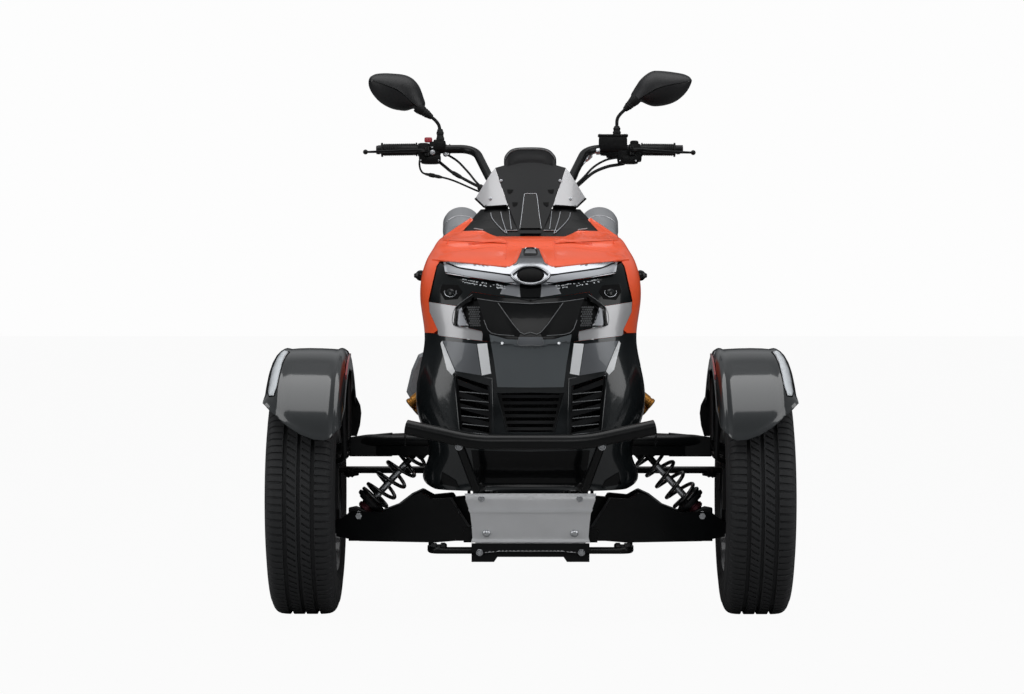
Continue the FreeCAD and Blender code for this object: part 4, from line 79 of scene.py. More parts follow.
def sight(px, py):
    """Direction from the camera through a pixel of the photograph."""
    local = Vector(((px - PHOTO_WIDE / 2) / FOCAL_PX, (PHOTO_TALL / 2 - py) / FOCAL_PX, -1.0))
    return (camera.rotation_euler.to_matrix() @ local).normalized()


def at_depth(px, py, y):
    """The point that a pixel shows on the upright plane at y."""
    way = sight(px, py)
    return EYE + way * ((y - EYE.y) / way.y)


# %% [markdown]
# ## Stage and light
# The photograph was lit by large soft boxes: one overhead, one on each side and one before the nose. The world is
# near white for the camera, and a dim grey ramp for reflections, so that dark gloss keeps its depth.

# %% World
def linear(code):
    """A colour written as RRGGBB to linear values."""
    values = [int(code[i:i + 2], 16) / 255 for i in (0, 2, 4)]
    return tuple(v / 12.92 if v <= 0.04045 else ((v + 0.055) / 1.055) ** 2.4 for v in values) + (1.0,)


def add_node(tree, kind, at=(0, 0), inputs=None, **settings):
    """A node with its settings. Each input, by name or number, takes a value or a link from a socket."""
    node = tree.nodes.new(kind)
    node.location = at
    for key, value in settings.items():
        setattr(node, key, value)
    for key, value in (inputs or {}).items():
        if isinstance(value, bpy.types.NodeSocket):
            tree.links.new(value, node.inputs[key])
        else:
            node.inputs[key].default_value = value
    return node


scene.view_settings.view_transform = "Standard"
world = bpy.data.worlds.new("studio")
world.use_nodes = True
scene.world = world
tree = world.node_tree
tree.nodes.clear()
coords = add_node(tree, "ShaderNodeTexCoord", (-1100, 0))
split = add_node(tree, "ShaderNodeSeparateXYZ", (-900, 0), {0: coords.outputs["Generated"]})
lift = add_node(tree, "ShaderNodeMath", (-800, -200), {0: split.outputs["Z"], 1: 0.5, 2: 0.5},
                operation="MULTIPLY_ADD")
ramp = add_node(tree, "ShaderNodeValToRGB", (-700, 0), {0: lift.outputs[0]})
stops = ramp.color_ramp.elements
stops[0].position, stops[1].position = 0.40, 0.72
stops.new(0.52)
stops.new(0.60)
for stop, code in zip(stops, ("505254", "1e1f20", "4c4f52", "c9cbcd")):
    stop.color = linear(code)
path = add_node(tree, "ShaderNodeLightPath", (-700, 300))
around = add_node(tree, "ShaderNodeBackground", (-400, 0), {"Color": ramp.outputs[0], "Strength": 0.6})
plain = add_node(tree, "ShaderNodeBackground", (-400, 200), {"Color": linear("fdfdfd"), "Strength": 1.0})
mixed = add_node(tree, "ShaderNodeMixShader", (-150, 100),
                 {0: path.outputs["Is Camera Ray"], 1: around.outputs[0], 2: plain.outputs[0]})
add_node(tree, "ShaderNodeOutputWorld", (50, 100), {0: mixed.outputs[0]})
print("world nodes:", len(tree.nodes))

# %% [markdown]
# A soft box is a square area lamp. Its size sets how wide a highlight runs over the lacquer, so the boxes are
# as large as the machine.

# %% Lamps
LAMP_AIM = Vector((0, -0.3, 0.6))
LAMPS = {"overhead_box": ((0, -0.75, 4.2), (4.4, 2.8), 88), "left_box": ((-4.0, -2.6, 2.0), (2.4, 3.2), 55),
         "right_box": ((4.0, -2.6, 2.0), (2.4, 3.2), 55), "front_box": ((0, -7.0, 3.2), (3.4, 2.0), 52)}


def soft_box(name, at, size, power):
    """A square lamp that faces a point of the machine."""
    data = bpy.data.lights.new(name, "AREA")
    data.shape = "RECTANGLE"
    data.size, data.size_y = size
    data.energy = power
    item = bpy.data.objects.new(name, data)
    item.location = at
    item.rotation_euler = (LAMP_AIM - Vector(at)).to_track_quat("-Z", "Y").to_euler()
    scene.collection.objects.link(item)


for name, (at, size, power) in LAMPS.items():
    soft_box(name, at, size, power)
print("lamps:", len(LAMPS))

# %% [markdown]
# ## Floor
# The floor is the same near white as the background where the camera sees it, with a faint contact shade.

# %% Floor
def new_material(name):
    """A material with an empty node tree and its output."""
    material = bpy.data.materials.new(name)
    material.use_nodes = True
    material.node_tree.nodes.clear()
    return material, material.node_tree, add_node(material.node_tree, "ShaderNodeOutputMaterial", (600, 0))


def flat_mesh(name, verts, faces):
    """A mesh object from bare lists, not yet riding on anything."""
    data = bpy.data.meshes.new(name)
    data.from_pydata([tuple(v) for v in verts], [], [tuple(f) for f in faces])
    data.update()
    item = bpy.data.objects.new(name, data)
    scene.collection.objects.link(item)
    return item


floor_paint, tree, out = new_material("floor_white")
glow = add_node(tree, "ShaderNodeEmission", (0, 100), {"Color": linear("fdfdfd"), "Strength": 1.0})
matte = add_node(tree, "ShaderNodeBsdfDiffuse", (0, -100), {"Color": linear("9a9a9a")})
path = add_node(tree, "ShaderNodeLightPath", (-400, 200))
weight = add_node(tree, "ShaderNodeMath", (-150, 200), {0: path.outputs["Is Camera Ray"], 1: 0.975},
                  operation="MULTIPLY")
share = add_node(tree, "ShaderNodeMixShader", (350, 0),
                 {0: weight.outputs[0], 1: matte.outputs[0], 2: glow.outputs[0]})
tree.links.new(share.outputs[0], out.inputs[0])
floor = flat_mesh("floor", [(-30, -30, -0.0005), (30, -30, -0.0005), (30, 40, -0.0005), (-30, 40, -0.0005)],
                  [(0, 1, 2, 3)])
floor.data.materials.append(floor_paint)
print("floor laid")

# %% [markdown]
# ## Shapes
# Each maker returns a pair of lists, corners and faces, in metres. They are joined into one mesh by `piece`, which
# sets the finish, the body that the piece rides on and the solids that it stands for.

# %% Turned shapes
def frame_along(way, beside=None):
    """Two directions square to a direction, and the direction itself."""
    way = Vector(way).normalized()
    helper = Vector(beside) if beside is not None else Vector((0, 0, 1) if abs(way.z) < 0.9 else (0, 1, 0))
    right = helper.cross(way).normalized()
    return right, way.cross(right).normalized(), way


def lathe(profile, at, way, count=48):
    """A profile of (radius, distance along the axis) turned about an axis."""
    right, up, way = frame_along(way)
    at = Vector(at)
    verts, faces, rings = [], [], []
    for radius, along in profile:
        if radius < 1e-6:
            rings.append([len(verts)])
            verts.append(at + way * along)
            continue
        start = len(verts)
        for i in range(count):
            angle = math.tau * i / count
            verts.append(at + way * along + (right * math.cos(angle) + up * math.sin(angle)) * radius)
        rings.append(list(range(start, start + count)))
    for low, high in zip(rings, rings[1:]):
        for i in range(count):
            j = (i + 1) % count
            corners = [low[i % len(low)], low[j % len(low)], high[j % len(high)], high[i % len(high)]]
            kept = [c for n, c in enumerate(corners) if c not in corners[:n]]
            if len(kept) > 2:
                faces.append(kept)
    return verts, faces


print("corners of a plain turned ring:", len(lathe([(1, 0), (1, 1)], (0, 0, 0), (0, 0, 1))[0]))

# %% [markdown]
# Tubes, hoses and beads are swept: a section is carried along a line and turned as little as possible on its way,
# which keeps it free of twists. The line is a spline through a few places.

# %% Swept shapes
def spline(points, steps):
    """Points of a smooth line from the second of the given points to the last but one."""
    line = []
    for a, b, c, d in zip(points, points[1:], points[2:], points[3:]):
        for i in range(steps):
            t = i / steps
            line.append(0.5 * ((2 * b) + (c - a) * t + (2 * a - 5 * b + 4 * c - d) * t * t
                               + (3 * b - a - 3 * c + d) * t * t * t))
    return line


def smooth_line(points, steps=8):
    """Points of a smooth line through the given ones."""
    points = [Vector(p) for p in points]
    ends = [points[0] * 2 - points[1]] + points + [points[-1] * 2 - points[-2]]
    return spline(ends, steps) + [points[-1]]


def strips(rows, count, closed=True):
    """The four-sided faces between rows of corners that were made one row after the other."""
    return [(row * count + i, row * count + (i + 1) % count, (row + 1) * count + (i + 1) % count,
             (row + 1) * count + i)
            for row in range(rows - 1) for i in range(count if closed else count - 1)]


def sweep(points, section, scale=None, beside=None):
    """A section of (sideways, upward) offsets carried along a line of points."""
    points = [Vector(p) for p in points]
    ways = [(points[min(i + 1, len(points) - 1)] - points[max(i - 1, 0)]).normalized()
            for i in range(len(points))]
    right, up, last = frame_along(ways[0], beside)
    verts, size = [], len(section)
    for i, (point, way) in enumerate(zip(points, ways)):
        turn = last.rotation_difference(way)
        right, up, last = turn @ right, turn @ up, way
        grow = scale(i / (len(points) - 1)) if scale else 1.0
        verts += [point + right * (a * grow) + up * (b * grow) for a, b in section]
    ends = [tuple(reversed(range(size))), tuple(range(len(verts) - size, len(verts)))]
    return verts, strips(len(points), size) + ends


def circle(radius, count=12):
    """A round section for a sweep."""
    return [(radius * math.cos(math.tau * i / count), radius * math.sin(math.tau * i / count))
            for i in range(count)]


print("corners of a plain tube:", len(sweep([(0, 0, 0), (0, 0, 1)], circle(0.1))[0]))

# %% [markdown]
# Flat sheet, moulded housings and fasteners: three shapes that most fittings are put together from.
# The box starts as a divided cube whose corners are pulled onto a small ball, so every edge is round.

# %% Plates, boxes and screw heads
def plate(outline, thick, at=(0, 0, 0), across=(1, 0, 0), up=(0, 0, 1), edge=0.0):
    """A flat outline of (across, up) points given a thickness towards the viewer, its front edge sloped."""
    at, across, up = Vector(at), Vector(across).normalized(), Vector(up).normalized()
    out = across.cross(up)
    count = len(outline)
    middle = Vector((sum(p[0] for p in outline) / count, sum(p[1] for p in outline) / count))
    rings = [(0.0, 0.0), (thick - edge, 0.0), (thick, edge)] if edge else [(0.0, 0.0), (thick, 0.0)]
    verts = []
    for rise, inset in rings:
        for x, z in outline:
            away = Vector((x, z)) - middle
            point = middle + away * max(0.0, 1 - inset / max(away.length, 1e-6))
            verts.append(at + across * point.x + up * point.y + out * rise)
    back, front = tuple(reversed(range(count))), tuple(range((len(rings) - 1) * count, len(rings) * count))
    return verts, [back] + strips(len(rings), count) + [front]


def rounded_box(size, at, corner):
    """A block with all its edges rounded, as a grid on a rounded cube."""
    half = [s / 2 for s in size]
    corner = min([corner] + [h * 0.98 for h in half])
    mesh = bmesh.new()
    bmesh.ops.create_cube(mesh, size=2.0)
    bmesh.ops.subdivide_edges(mesh, edges=mesh.edges[:], cuts=5, use_grid_fill=True)
    verts = []
    for vert in mesh.verts:
        inner = Vector([max(-1.0, min(1.0, c)) * (h - corner) for c, h in zip(vert.co, half)])
        edge_way = Vector([c if abs(c) > 0.999 else 0.0 for c in vert.co])
        soft = Vector(vert.co)
        way = (edge_way * 0.6 + soft * 0.4 if edge_way.length else soft).normalized()
        verts.append(inner + Vector([w * corner for w in way]))
    faces = [tuple(v.index for v in face.verts) for face in mesh.faces]
    mesh.free()
    return [Vector(at) + v for v in verts], faces


def bolt_head(at, way, radius, kind="hex"):
    """A fastener's head: a washer under a hexagon, or a round head with a socket."""
    if kind == "hex":
        washer = lathe([(0, 0), (radius * 1.25, 0), (radius * 1.25, radius * 0.16), (radius, radius * 0.2)], at,
                       way, 20)
        head = lathe([(radius, radius * 0.18), (radius, radius * 0.72), (radius * 0.88, radius * 0.86),
                      (0, radius * 0.86)],
                     at, way, 6)
        return join(washer, head)
    return lathe([(0, 0), (radius, 0), (radius, radius * 0.42), (radius * 0.8, radius * 0.68),
                  (radius * 0.5, radius * 0.72), (radius * 0.45, radius * 0.3), (0, radius * 0.3)],
                 at, way, 18)


print("corners of a rounded box:", len(rounded_box((1, 1, 1), (0, 0, 0), 0.1)[0]))

# %% [markdown]
# Like pieces share one mesh, and the machine is alike left and right, so shapes are joined and mirrored as lists.
# Only then does `piece` build the mesh, round its edges and give it the finish.

# %% Joining, mirroring and dressing
def join(*shapes):
    """One pair of lists from several."""
    verts, faces = [], []
    for more_verts, more_faces in shapes:
        start = len(verts)
        verts += [Vector(v) for v in more_verts]
        faces += [tuple(i + start for i in face) for face in more_faces]
    return verts, faces


def flip(made):
    """The same shape on the other side of the machine."""
    verts, faces = made
    return [Vector((-v[0], v[1], v[2])) for v in verts], [tuple(reversed(face)) for face in faces]


def pair(made):
    """A shape and its twin on the other side."""
    return join(made, flip(made))


def piece(name, made, paint, body="chassis", replaces=(), angle=38.0, bevel=0.0):
    """One mesh of the visual model: its finish, its body and what it stands for."""
    verts, faces = made
    item = flat_mesh(name, verts, faces)
    work = bmesh.new()
    work.from_mesh(item.data)
    bmesh.ops.remove_doubles(work, verts=work.verts, dist=1e-6)
    bmesh.ops.recalc_face_normals(work, faces=work.faces)
    work.to_mesh(item.data)
    work.free()
    item.data.validate()
    if bevel:
        rounder = item.modifiers.new("edges", "BEVEL")
        rounder.width, rounder.segments, rounder.limit_method = bevel, 2, "ANGLE"
        rounder.angle_limit = math.radians(40)
    item.data.shade_smooth()
    item.data.set_sharp_from_angle(angle=math.radians(angle))
    item.data.materials.append(paint)
    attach(item, body)
    if replaces:
        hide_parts(*replaces)
    return item


print("makers ready")

# %% [markdown]
# ## Finishes
# One maker builds them all: a base colour with a little mottling, roughness that varies over the surface, a bump at
# the scale of the real texture, and brighter rubbed edges where metal or plastic wears. Scales are in millimetres.

# %% The maker of finishes
def finish(name, colour, metallic=0.0, roughness=0.4, ior=1.5, coat=0.0, grain_mm=None, grain=0.0, mottle=0.08,
           spread=0.08, wear=None, sheen=0.0, kind="noise", coat_rough=0.04):
    """A procedural finish. grain is the bump's height in millimetres, and spread how far the roughness varies."""
    material, tree, out = new_material(name)
    place = add_node(tree, "ShaderNodeTexCoord", (-1100, 0)).outputs["Object"]
    broad = add_node(tree, "ShaderNodeTexNoise", (-850, 200), {"Vector": place, "Scale": 14.0, "Detail": 4.0})
    level = add_node(tree, "ShaderNodeMapRange", (-550, 100), {
        0: broad.outputs["Fac"], "To Min": max(0.02, roughness - spread), "To Max": min(1.0, roughness + spread)})
    base = linear(colour)
    low, high = [tuple(min(1, c * (1 + way * mottle)) for c in base[:3]) + (1,) for way in (-1, 1)]
    tone = add_node(tree, "ShaderNodeMix", (-550, 400), {0: broad.outputs["Fac"], 6: low, 7: high}, data_type="RGBA")
    if wear:
        bend = add_node(tree, "ShaderNodeNewGeometry", (-850, 700)).outputs["Pointiness"]
        edge = add_node(tree, "ShaderNodeMapRange", (-550, 700),
                        {0: bend, "From Min": 0.56, "From Max": 0.72, "To Max": 0.55})
        tone = add_node(tree, "ShaderNodeMix", (-250, 400), {0: edge.outputs[0], 6: tone.outputs[2], 7: linear(wear)},
                        data_type="RGBA")
    shader = add_node(tree, "ShaderNodeBsdfPrincipled", (300, 0), {
        "Base Color": tone.outputs[2], "Roughness": level.outputs[0], "Metallic": metallic, "IOR": ior,
        "Coat Weight": coat, "Coat Roughness": coat_rough, "Sheen Weight": sheen})
    if grain_mm:
        node, scale, more, socket = {
            "cells": ("Voronoi", 1000.0 / grain_mm, {}, "Distance"),
            "lines": ("Wave", 1000.0 / grain_mm / 6.283, {"Distortion": 0.6}, "Fac"),
            "noise": ("Noise", 1000.0 / grain_mm, {"Detail": 3.0}, "Fac")}[kind]
        fine = add_node(tree, "ShaderNodeTex" + node, (-850, -250), {"Vector": place, "Scale": scale, **more})
        bump = add_node(tree, "ShaderNodeBump", (-200, -250), {
            "Strength": 0.6, "Distance": grain / 1000.0, "Height": fine.outputs[socket]})
        tree.links.new(bump.outputs[0], shader.inputs["Normal"])
    tree.links.new(shader.outputs[0], out.inputs[0])
    return material


print("finish maker ready")

# %% [markdown]
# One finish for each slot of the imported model, named for what the real piece is made of.

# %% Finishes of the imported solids
paint = {
    # moulded tyre rubber: matt, with soft grey glints
    "tyre": finish("tyre_rubber", "1b1c1e", roughness=0.72, grain_mm=1.4, grain=0.25, spread=0.12, mottle=0.2),
    # lacquered alloy: dark and glossy, pale at rubbed edges
    "rim_metal": finish("rim_black_lacquer", "15171a", metallic=0.6, roughness=0.3, coat=0.4, wear="5a5e63"),
    # painted casting: dull, with a sandy skin
    "cast_black": finish("cast_black_paint", "101113", metallic=0.3, roughness=0.5, grain_mm=2.0, grain=0.3,
                         wear="3b3d40"),
    # powder coat on steel tube: fine orange peel, soft shine
    "black_steel": finish("black_powder_coat", "090a0b", metallic=0.1, roughness=0.3, ior=1.35, grain_mm=1.1,
                          grain=0.12, wear="2a2c2e"),
    # clear lacquer over metal flake: dark, with crisp reflections
    "graphite": finish("graphite_lacquer", "171b1d", metallic=0.35, roughness=0.30, ior=1.32, coat=1.0,
                       coat_rough=0.08, grain_mm=0.6, grain=0.01, spread=0.04, mottle=0.05),
    # turned steel: dark, bright at its edges
    "shock_metal": finish("shock_steel", "1b1c1e", metallic=0.7, roughness=0.3, wear="85888c"),
    # enamelled spring wire: small sharp glints
    "spring_black": finish("spring_black_gloss", "0a0b0c", metallic=0.1, roughness=0.28, coat=0.5),
    # bronze anodised bottle: warm metal with turning lines
    "gold": finish("bronze_anodised", "b8813f", metallic=1.0, roughness=0.3, grain_mm=0.8, grain=0.02,
                   kind="lines", mottle=0.12),
    # grained moulded plastic: a broken, soft shine
    "black_plastic": finish("grained_black_plastic", "0b0c0d", roughness=0.42, ior=1.27, grain_mm=0.9, grain=0.09,
                            kind="cells", wear="2b2d30"),
    # solid orange lacquer: even colour under a thin gloss
    "orange": finish("orange_red_lacquer", "f05a30", roughness=0.34, ior=1.35, coat=0.4, spread=0.03, mottle=0.04,
                     grain_mm=0.5, grain=0.006),
    # bright chrome plate: takes the tone of the studio
    "chrome": finish("bright_chrome", "a2a4a8", metallic=1.0, roughness=0.2, spread=0.05, mottle=0.03),
    # smoked acrylic: nearly black, mirror smooth
    "smoked_lens": finish("smoked_lens", "101314", roughness=0.14, ior=1.22, coat=0.25, spread=0.03),
    # pale grey, barely metallic: a painted reflection of the bright studio on glossy black facets
    "silver_plastic": finish("pale_grey_painted_reflection", "a9a9ab", metallic=0.25, roughness=0.3, coat=0.6,
                             grain_mm=0.6, grain=0.01, mottle=0.05),
    # polished black plastic: dark with sharp edges of light
    "black_gloss": finish("black_gloss_plastic", "08090a", roughness=0.2, ior=1.22, coat=0.15, spread=0.05),
    # rolled sheet: grey, with faint rolling lines; on the dash ribs a painted highlight, on the lens inserts a
    # painted reflection
    "silver_plate": finish("silver_plate_and_painted_light", "85878b", metallic=0.85, roughness=0.38, grain_mm=0.9,
                           grain=0.03, kind="lines", wear="d5d6d8"),
    # radiator core: fine upright fins
    "radiator": finish("radiator_fins", "141516", metallic=0.5, roughness=0.5, grain_mm=2.4, grain=1.2,
                       kind="lines"),
    # black acrylic screen: dark with a soft shine
    "screen": finish("screen_black", "131416", roughness=0.3, ior=1.25, spread=0.04),
    # coated seat cloth: pebbled, with a faint sheen
    "seat_leather": finish("seat_cover", "18191b", roughness=0.52, grain_mm=1.6, grain=0.16, kind="cells",
                           sheen=0.15, mottle=0.12),
    # die-cast alloy: grey, sandy, bright where rubbed
    "engine_cast": finish("engine_casting", "2a2c2f", metallic=0.7, roughness=0.48, grain_mm=1.8, grain=0.25,
                          wear="707479"),
    # satin steel: pale, turned lines round the tube
    "silencer_steel": finish("satin_silencer", "b4b5b8", metallic=0.8, roughness=0.42, grain_mm=1.0, grain=0.02,
                             kind="lines", mottle=0.08),
    # ribbed red acrylic: deep colour, glassy
    "red_lens": finish("red_lens", "8c0f12", roughness=0.12, coat=1.0, grain_mm=4.0, grain=0.5, kind="lines"),
    # dark indicator cover: a low gloss
    "amber_lens": finish("indicator_black", "0c0d0e", roughness=0.25, ior=1.3, coat=0.2),
    # cast cover: mid grey with a sandy skin
    "grey_cover": finish("grey_cast_cover", "85888b", metallic=0.5, roughness=0.45, grain_mm=1.6, grain=0.2,
                         wear="8b8e91"),
    # soft grip rubber: matt black
    "grip_rubber": finish("soft_rubber", "0d0e0f", roughness=0.6, ior=1.35, grain_mm=1.2, grain=0.12),
}
print("finishes for the solids:", len(paint))

# %% [markdown]
# The added pieces bring a few finishes of their own. Then every solid gets the finish that its slot asks for.

# %% Finishes of the added pieces
extra = {
    # deep black plastic, and painted shade in a gap, the slots, the openings and the silencer mouths: takes almost no
    # light
    "dark": finish("deep_black_and_painted_shade", "050506", roughness=0.45, ior=1.16, grain_mm=2.0, grain=0.1),
    # flat panel of the nose: mid grey lacquer
    "graphite_mid": finish("graphite_centre", "5a5f62", metallic=0.2, roughness=0.36, ior=1.35, coat=0.4,
                           mottle=0.05),
    # shoulder of the nose and the box under the beak: a lighter grey, a painted reflection where they tilt to the
    # light
    "graphite_reflection": finish("graphite_shoulder_reflection", "66696d", metallic=0.3, roughness=0.34, ior=1.35, coat=0.5,
                             mottle=0.05),
    # painted highlight: a nearly white band along the shoulder
    "highlight_band": finish("painted_highlight_band", "eceef0", metallic=0.0, roughness=0.35, coat=0.4, mottle=0.04),
    # mirror housing: grained black, a soft shine
    "mirror_shell": finish("mirror_shell_black", "121315", roughness=0.42, ior=1.42, grain_mm=0.9, grain=0.06,
                           kind="cells"),
    # dull grey: the mesh dots, and painted highlight along lit edges, slat lips and the hood's rim
    "rim_line": finish("grey_lines_and_painted_highlight", "6b6d6f", roughness=0.6, grain_mm=1.0, grain=0.05),
    # zinc plated screw: bright
    "zinc": finish("zinc_screw", "c9cbce", metallic=1.0, roughness=0.26, grain_mm=0.5, grain=0.02),
    # lens over small lamps: pebbled white
    "led": finish("led_lens_white", "d3d8dc", roughness=0.2, coat=0.8, grain_mm=3.0, grain=0.3, kind="cells"),
    # silvered glass
    "mirror": finish("mirror_glass", "e4e7ea", metallic=1.0, roughness=0.03, spread=0.01, mottle=0.01),
    # twisted seam thread: rough, dark grey
    "thread": finish("seat_thread", "3a3b3d", roughness=0.8, grain_mm=0.8, grain=0.1),
    # ground brake steel: concentric lines
    "disc": finish("brake_disc_steel", "8e9094", metallic=1.0, roughness=0.3, grain_mm=0.8, grain=0.03,
                   kind="lines"),
    # pale polished metal; on the duct's edges, a thin light line of painted highlight
    "edge_grey": finish("pale_metal_and_painted_highlight", "b9bcc0", metallic=0.6, roughness=0.2, coat=0.5),
    # turned alloy face: clear lacquer
    "rim_face": finish("rim_machined_face", "6f7378", metallic=1.0, roughness=0.26, coat=0.4),
    # instrument glass: black and mirror smooth
    "blue_lcd": finish("instrument_glass", "0e1418", roughness=0.06, coat=1.0, spread=0.02),
}
wanted = {row["node"]: row["material_slot"] for row in frame["record"]["subparts"]}
for name, item in nodes.items():
    item.data.materials.clear()
    item.data.materials.append(paint[wanted[name]])
    for polygon in item.data.polygons:
        polygon.material_index = 0
print("finishes:", len(paint) + len(extra))

# %% [markdown]
# ## Nose
# The facets, lamps and trim of the nose are drawn as outlines in the photograph's pixels: columns from the middle
# line, rows, and how far each corner stands proud in millimetres. A corner is carried along its line of sight onto
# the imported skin, so each facet follows the curve of the panel that carries it.

# %% Meeting the skin
def sight_tree(*names):
    """The skins of some solids, ready to be met by a line of sight."""
    verts, faces = [], []
    for name in names:
        start = len(verts)
        verts += [v.co.copy() for v in nodes[name].data.vertices]
        faces += [[i + start for i in polygon.vertices] for polygon in nodes[name].data.polygons]
    return BVHTree.FromPolygons(verts, faces)


nose_skin = sight_tree("cowl", "nose_trim", "headlamps", "lamp_panels", "beak", "nose_panel")


def on_skin(px, py, lift_mm=0.0, skin=None, home=None):
    """The skin at a pixel, pulled towards the camera. Beside the skin, the first place on the way home counts."""
    skin = skin or nose_skin
    home = home or (MIDDLE_PX, py)
    for step in range(31):
        share = step / 30
        hit = skin.ray_cast(EYE, sight(px + (home[0] - px) * share, py + (home[1] - py) * share))
        if hit[0] is not None:
            return EYE + sight(px, py) * (hit[3] - lift_mm / 1000)
    return None


print("the nose at row 300, in metres:", [round(c, 3) for c in on_skin(MIDDLE_PX, 300.0)])

# %% [markdown]
# A facet could be cut into the panel itself, but a thin sheet laid over it keeps the curve and gets crisp edges.
# Its outline is cut fine enough to follow the skin, its rim is turned in, and a pale bead on an edge or a rib is a
# painted highlight.

# %% Facets and beads
FACET_CUTS, FACET_EDGE_PX, RIM_SINK_MM = 5, 3.2, 1.5


def facet(corners, skin=None, even=0):
    """A panel over the skin from corners of (columns from the middle, row, lift in mm), with its rim turned in.

    Two corners on the middle line make it one panel across the nose; without them it is a pair.
    """
    whole = list(corners)
    middle = [i for i, corner in enumerate(corners) if abs(corner[0]) < 0.05]
    across = len(middle) >= 2
    if across:
        if middle[1] - middle[0] == 1:
            whole = whole[middle[1]:] + whole[:middle[1]]
        whole += [(-x, y, h) for x, y, h in reversed(whole) if abs(x) > 0.05]
    work = bmesh.new()
    work.faces.new([work.verts.new(corner) for corner in whole])
    bmesh.ops.triangulate(work, faces=work.faces[:])
    for _ in range(FACET_CUTS):
        long_edges = [edge for edge in work.edges
                      if (edge.verts[0].co.xy - edge.verts[1].co.xy).length > FACET_EDGE_PX]
        if not long_edges:
            break
        bmesh.ops.subdivide_edges(work, edges=long_edges, cuts=1)
        bmesh.ops.triangulate(work, faces=[f for f in work.faces if len(f.verts) > 3])
    edge_loops = [edge for edge in work.edges if len(edge.link_faces) == 1]
    home = [sum(c[n] for c in whole) / len(whole) for n in (0, 1)]
    skirt = bmesh.ops.extrude_edge_only(work, edges=edge_loops)
    lower = {v for v in skirt["geom"] if isinstance(v, bmesh.types.BMVert)}
    work.verts.index_update()
    verts = []
    for vert in work.verts:
        x, y, lift = vert.co
        verts.append(on_skin(MIDDLE_PX + x, y, -RIM_SINK_MM if vert in lower else lift, skin,
                             (MIDDLE_PX + home[0], home[1])) or at_depth(MIDDLE_PX + x, y, -1.0))
    faces = [tuple(v.index for v in face.verts) for face in work.faces]
    links = [[edge.other_vert(vert).index for edge in vert.link_edges] for vert in work.verts]
    far = [(point - EYE).length for point in verts]
    for _ in range(even):
        mean = [sum(far[i] for i in near) / len(near) for near in links]
        far = [min(own, (own + other) / 2) for own, other in zip(far, mean)]
    verts = [EYE + (point - EYE).normalized() * reach for point, reach in zip(verts, far)]
    work.free()
    return (verts, faces) if across else pair((verts, faces))


def skin_line(corners, radius_mm, steps=6, skin=None):
    """Two thin beads along the skin through corners of (columns from the middle, row); the first gives a lift."""
    lift = corners[0][2] if len(corners[0]) > 2 else 0.0
    line = smooth_line([(x, y, 0) for x, y, *_ in corners], steps)
    points = [on_skin(MIDDLE_PX + p.x, p.y, lift, skin) for p in line]
    return pair(sweep([p for p in points if p is not None], circle(radius_mm / 1000, 8), beside=(0, -1, 0)))


print("an edge longer than", FACET_EDGE_PX, "px is cut, up to", FACET_CUTS, "times")

# %% [markdown]
# The outlines, from the orange brow down to the chin, as read from the photograph.

# %% Outlines of the nose
COWL_FACE = [
    (9.7, 247.0, 5), (9.9, 250.0, 5), (12.7, 256.6, 4.5), (16.7, 263.5, 4), (24.8, 266.8, 3), (59.1, 263.4, 1.5),
    (98.0, 259.8, 0.8), (92.1, 255.0, 3), (78.7, 251.4, 4), (64.4, 250.0, 4.5), (44.8, 247.3, 5), (23.4, 245.4, 5)]
SHOULDER_RISE = [(88, 240, 3), (87, 236, 3), (72.6, 226.0, 3), (60, 217.8, 2), (57.2, 219.6, 2), (67.8, 231.0, 3),
                 (47.6, 230.6, 4), (40.9, 233.8, 4), (30.5, 238.0, 4), (24.8, 239.8, 4), (24.8, 243.0, 4)]
SHOULDER_HIGHLIGHT = [(56.5, 228.6, 3.5), (47.5, 229.8)]
DASH_RIB_HIGHLIGHTS = [[(39.8, 212.9, 2), (38.5, 218), (33, 225), (24.8, 232.9)], [(29.8, 212, 2), (28, 220), (23.5, 233.6)],
             [(21.2, 210.7, 2), (20.3, 220), (19.1, 229.3)], [(26.5, 230.6, 2), (13, 230.4)]]
CAP_PLATE = [(4.6, 249.2, 9), (0.0, 248.6, 9), (0.0, 253.2, 9), (5.6, 253.2, 9)]
BAR_GAP_SHADOW = [(84.5, 262.6, 3.5), (71.6, 267.6), (55.5, 270.1), (30.5, 273.6), (19.5, 275.6)]
CHROME_BAR = [
    (83.7, 261.1, 2.5), (55.5, 264.1, 3), (23.4, 267.9, 3), (13.5, 262.9, 4), (9.1, 249.5, 4),
    (5.5, 247.7, 4), (0.0, 247.1, 4), (0.0, 265.7, 5), (7.3, 266.8, 5), (14.4, 270.9, 5), (20.1, 274.1, 4),
    (30.5, 273.2, 3), (55.5, 269.5, 2.5), (71.6, 267.0, 2.5), (79.6, 263.8, 2.5)]
SILVER_BAR = [
    (86.6, 265.4, 2), (83.7, 263.4, 2), (71.6, 268.2, 2.5), (55.5, 270.7, 2.5), (21.2, 275.5, 3),
    (15.9, 281.6, 3), (23.4, 282.5, 2.5), (55.5, 277.5, 2), (85.5, 271.8, 2)]
TRIM_CAP = [(6.4, 255.0, 7), (7.6, 252.0, 7), (5.8, 248.5, 7), (3.0, 247.2, 7), (0.0, 247.0, 7), (0.0, 255.2, 7)]
PILLAR = [(10.5, 282.5, 3), (0.0, 282.9, 3), (0.0, 297.5, 3), (9.4, 297.1, 3)]
PILLAR_SIDE = [(11.2, 282.9, 2), (10.1, 297.1, 2), (30.5, 293.9, 1), (27.8, 287.9, 1), (23.4, 285.4, 2)]
LAMP_BOX = [(88.5, 284.3, 1.5), (72.5, 285.2, 1.5), (68.4, 291.4, 1.5), (73.4, 298.9, 1.5),
            (85.9, 299.8, 1.5), (90.9, 291.4, 1.5)]
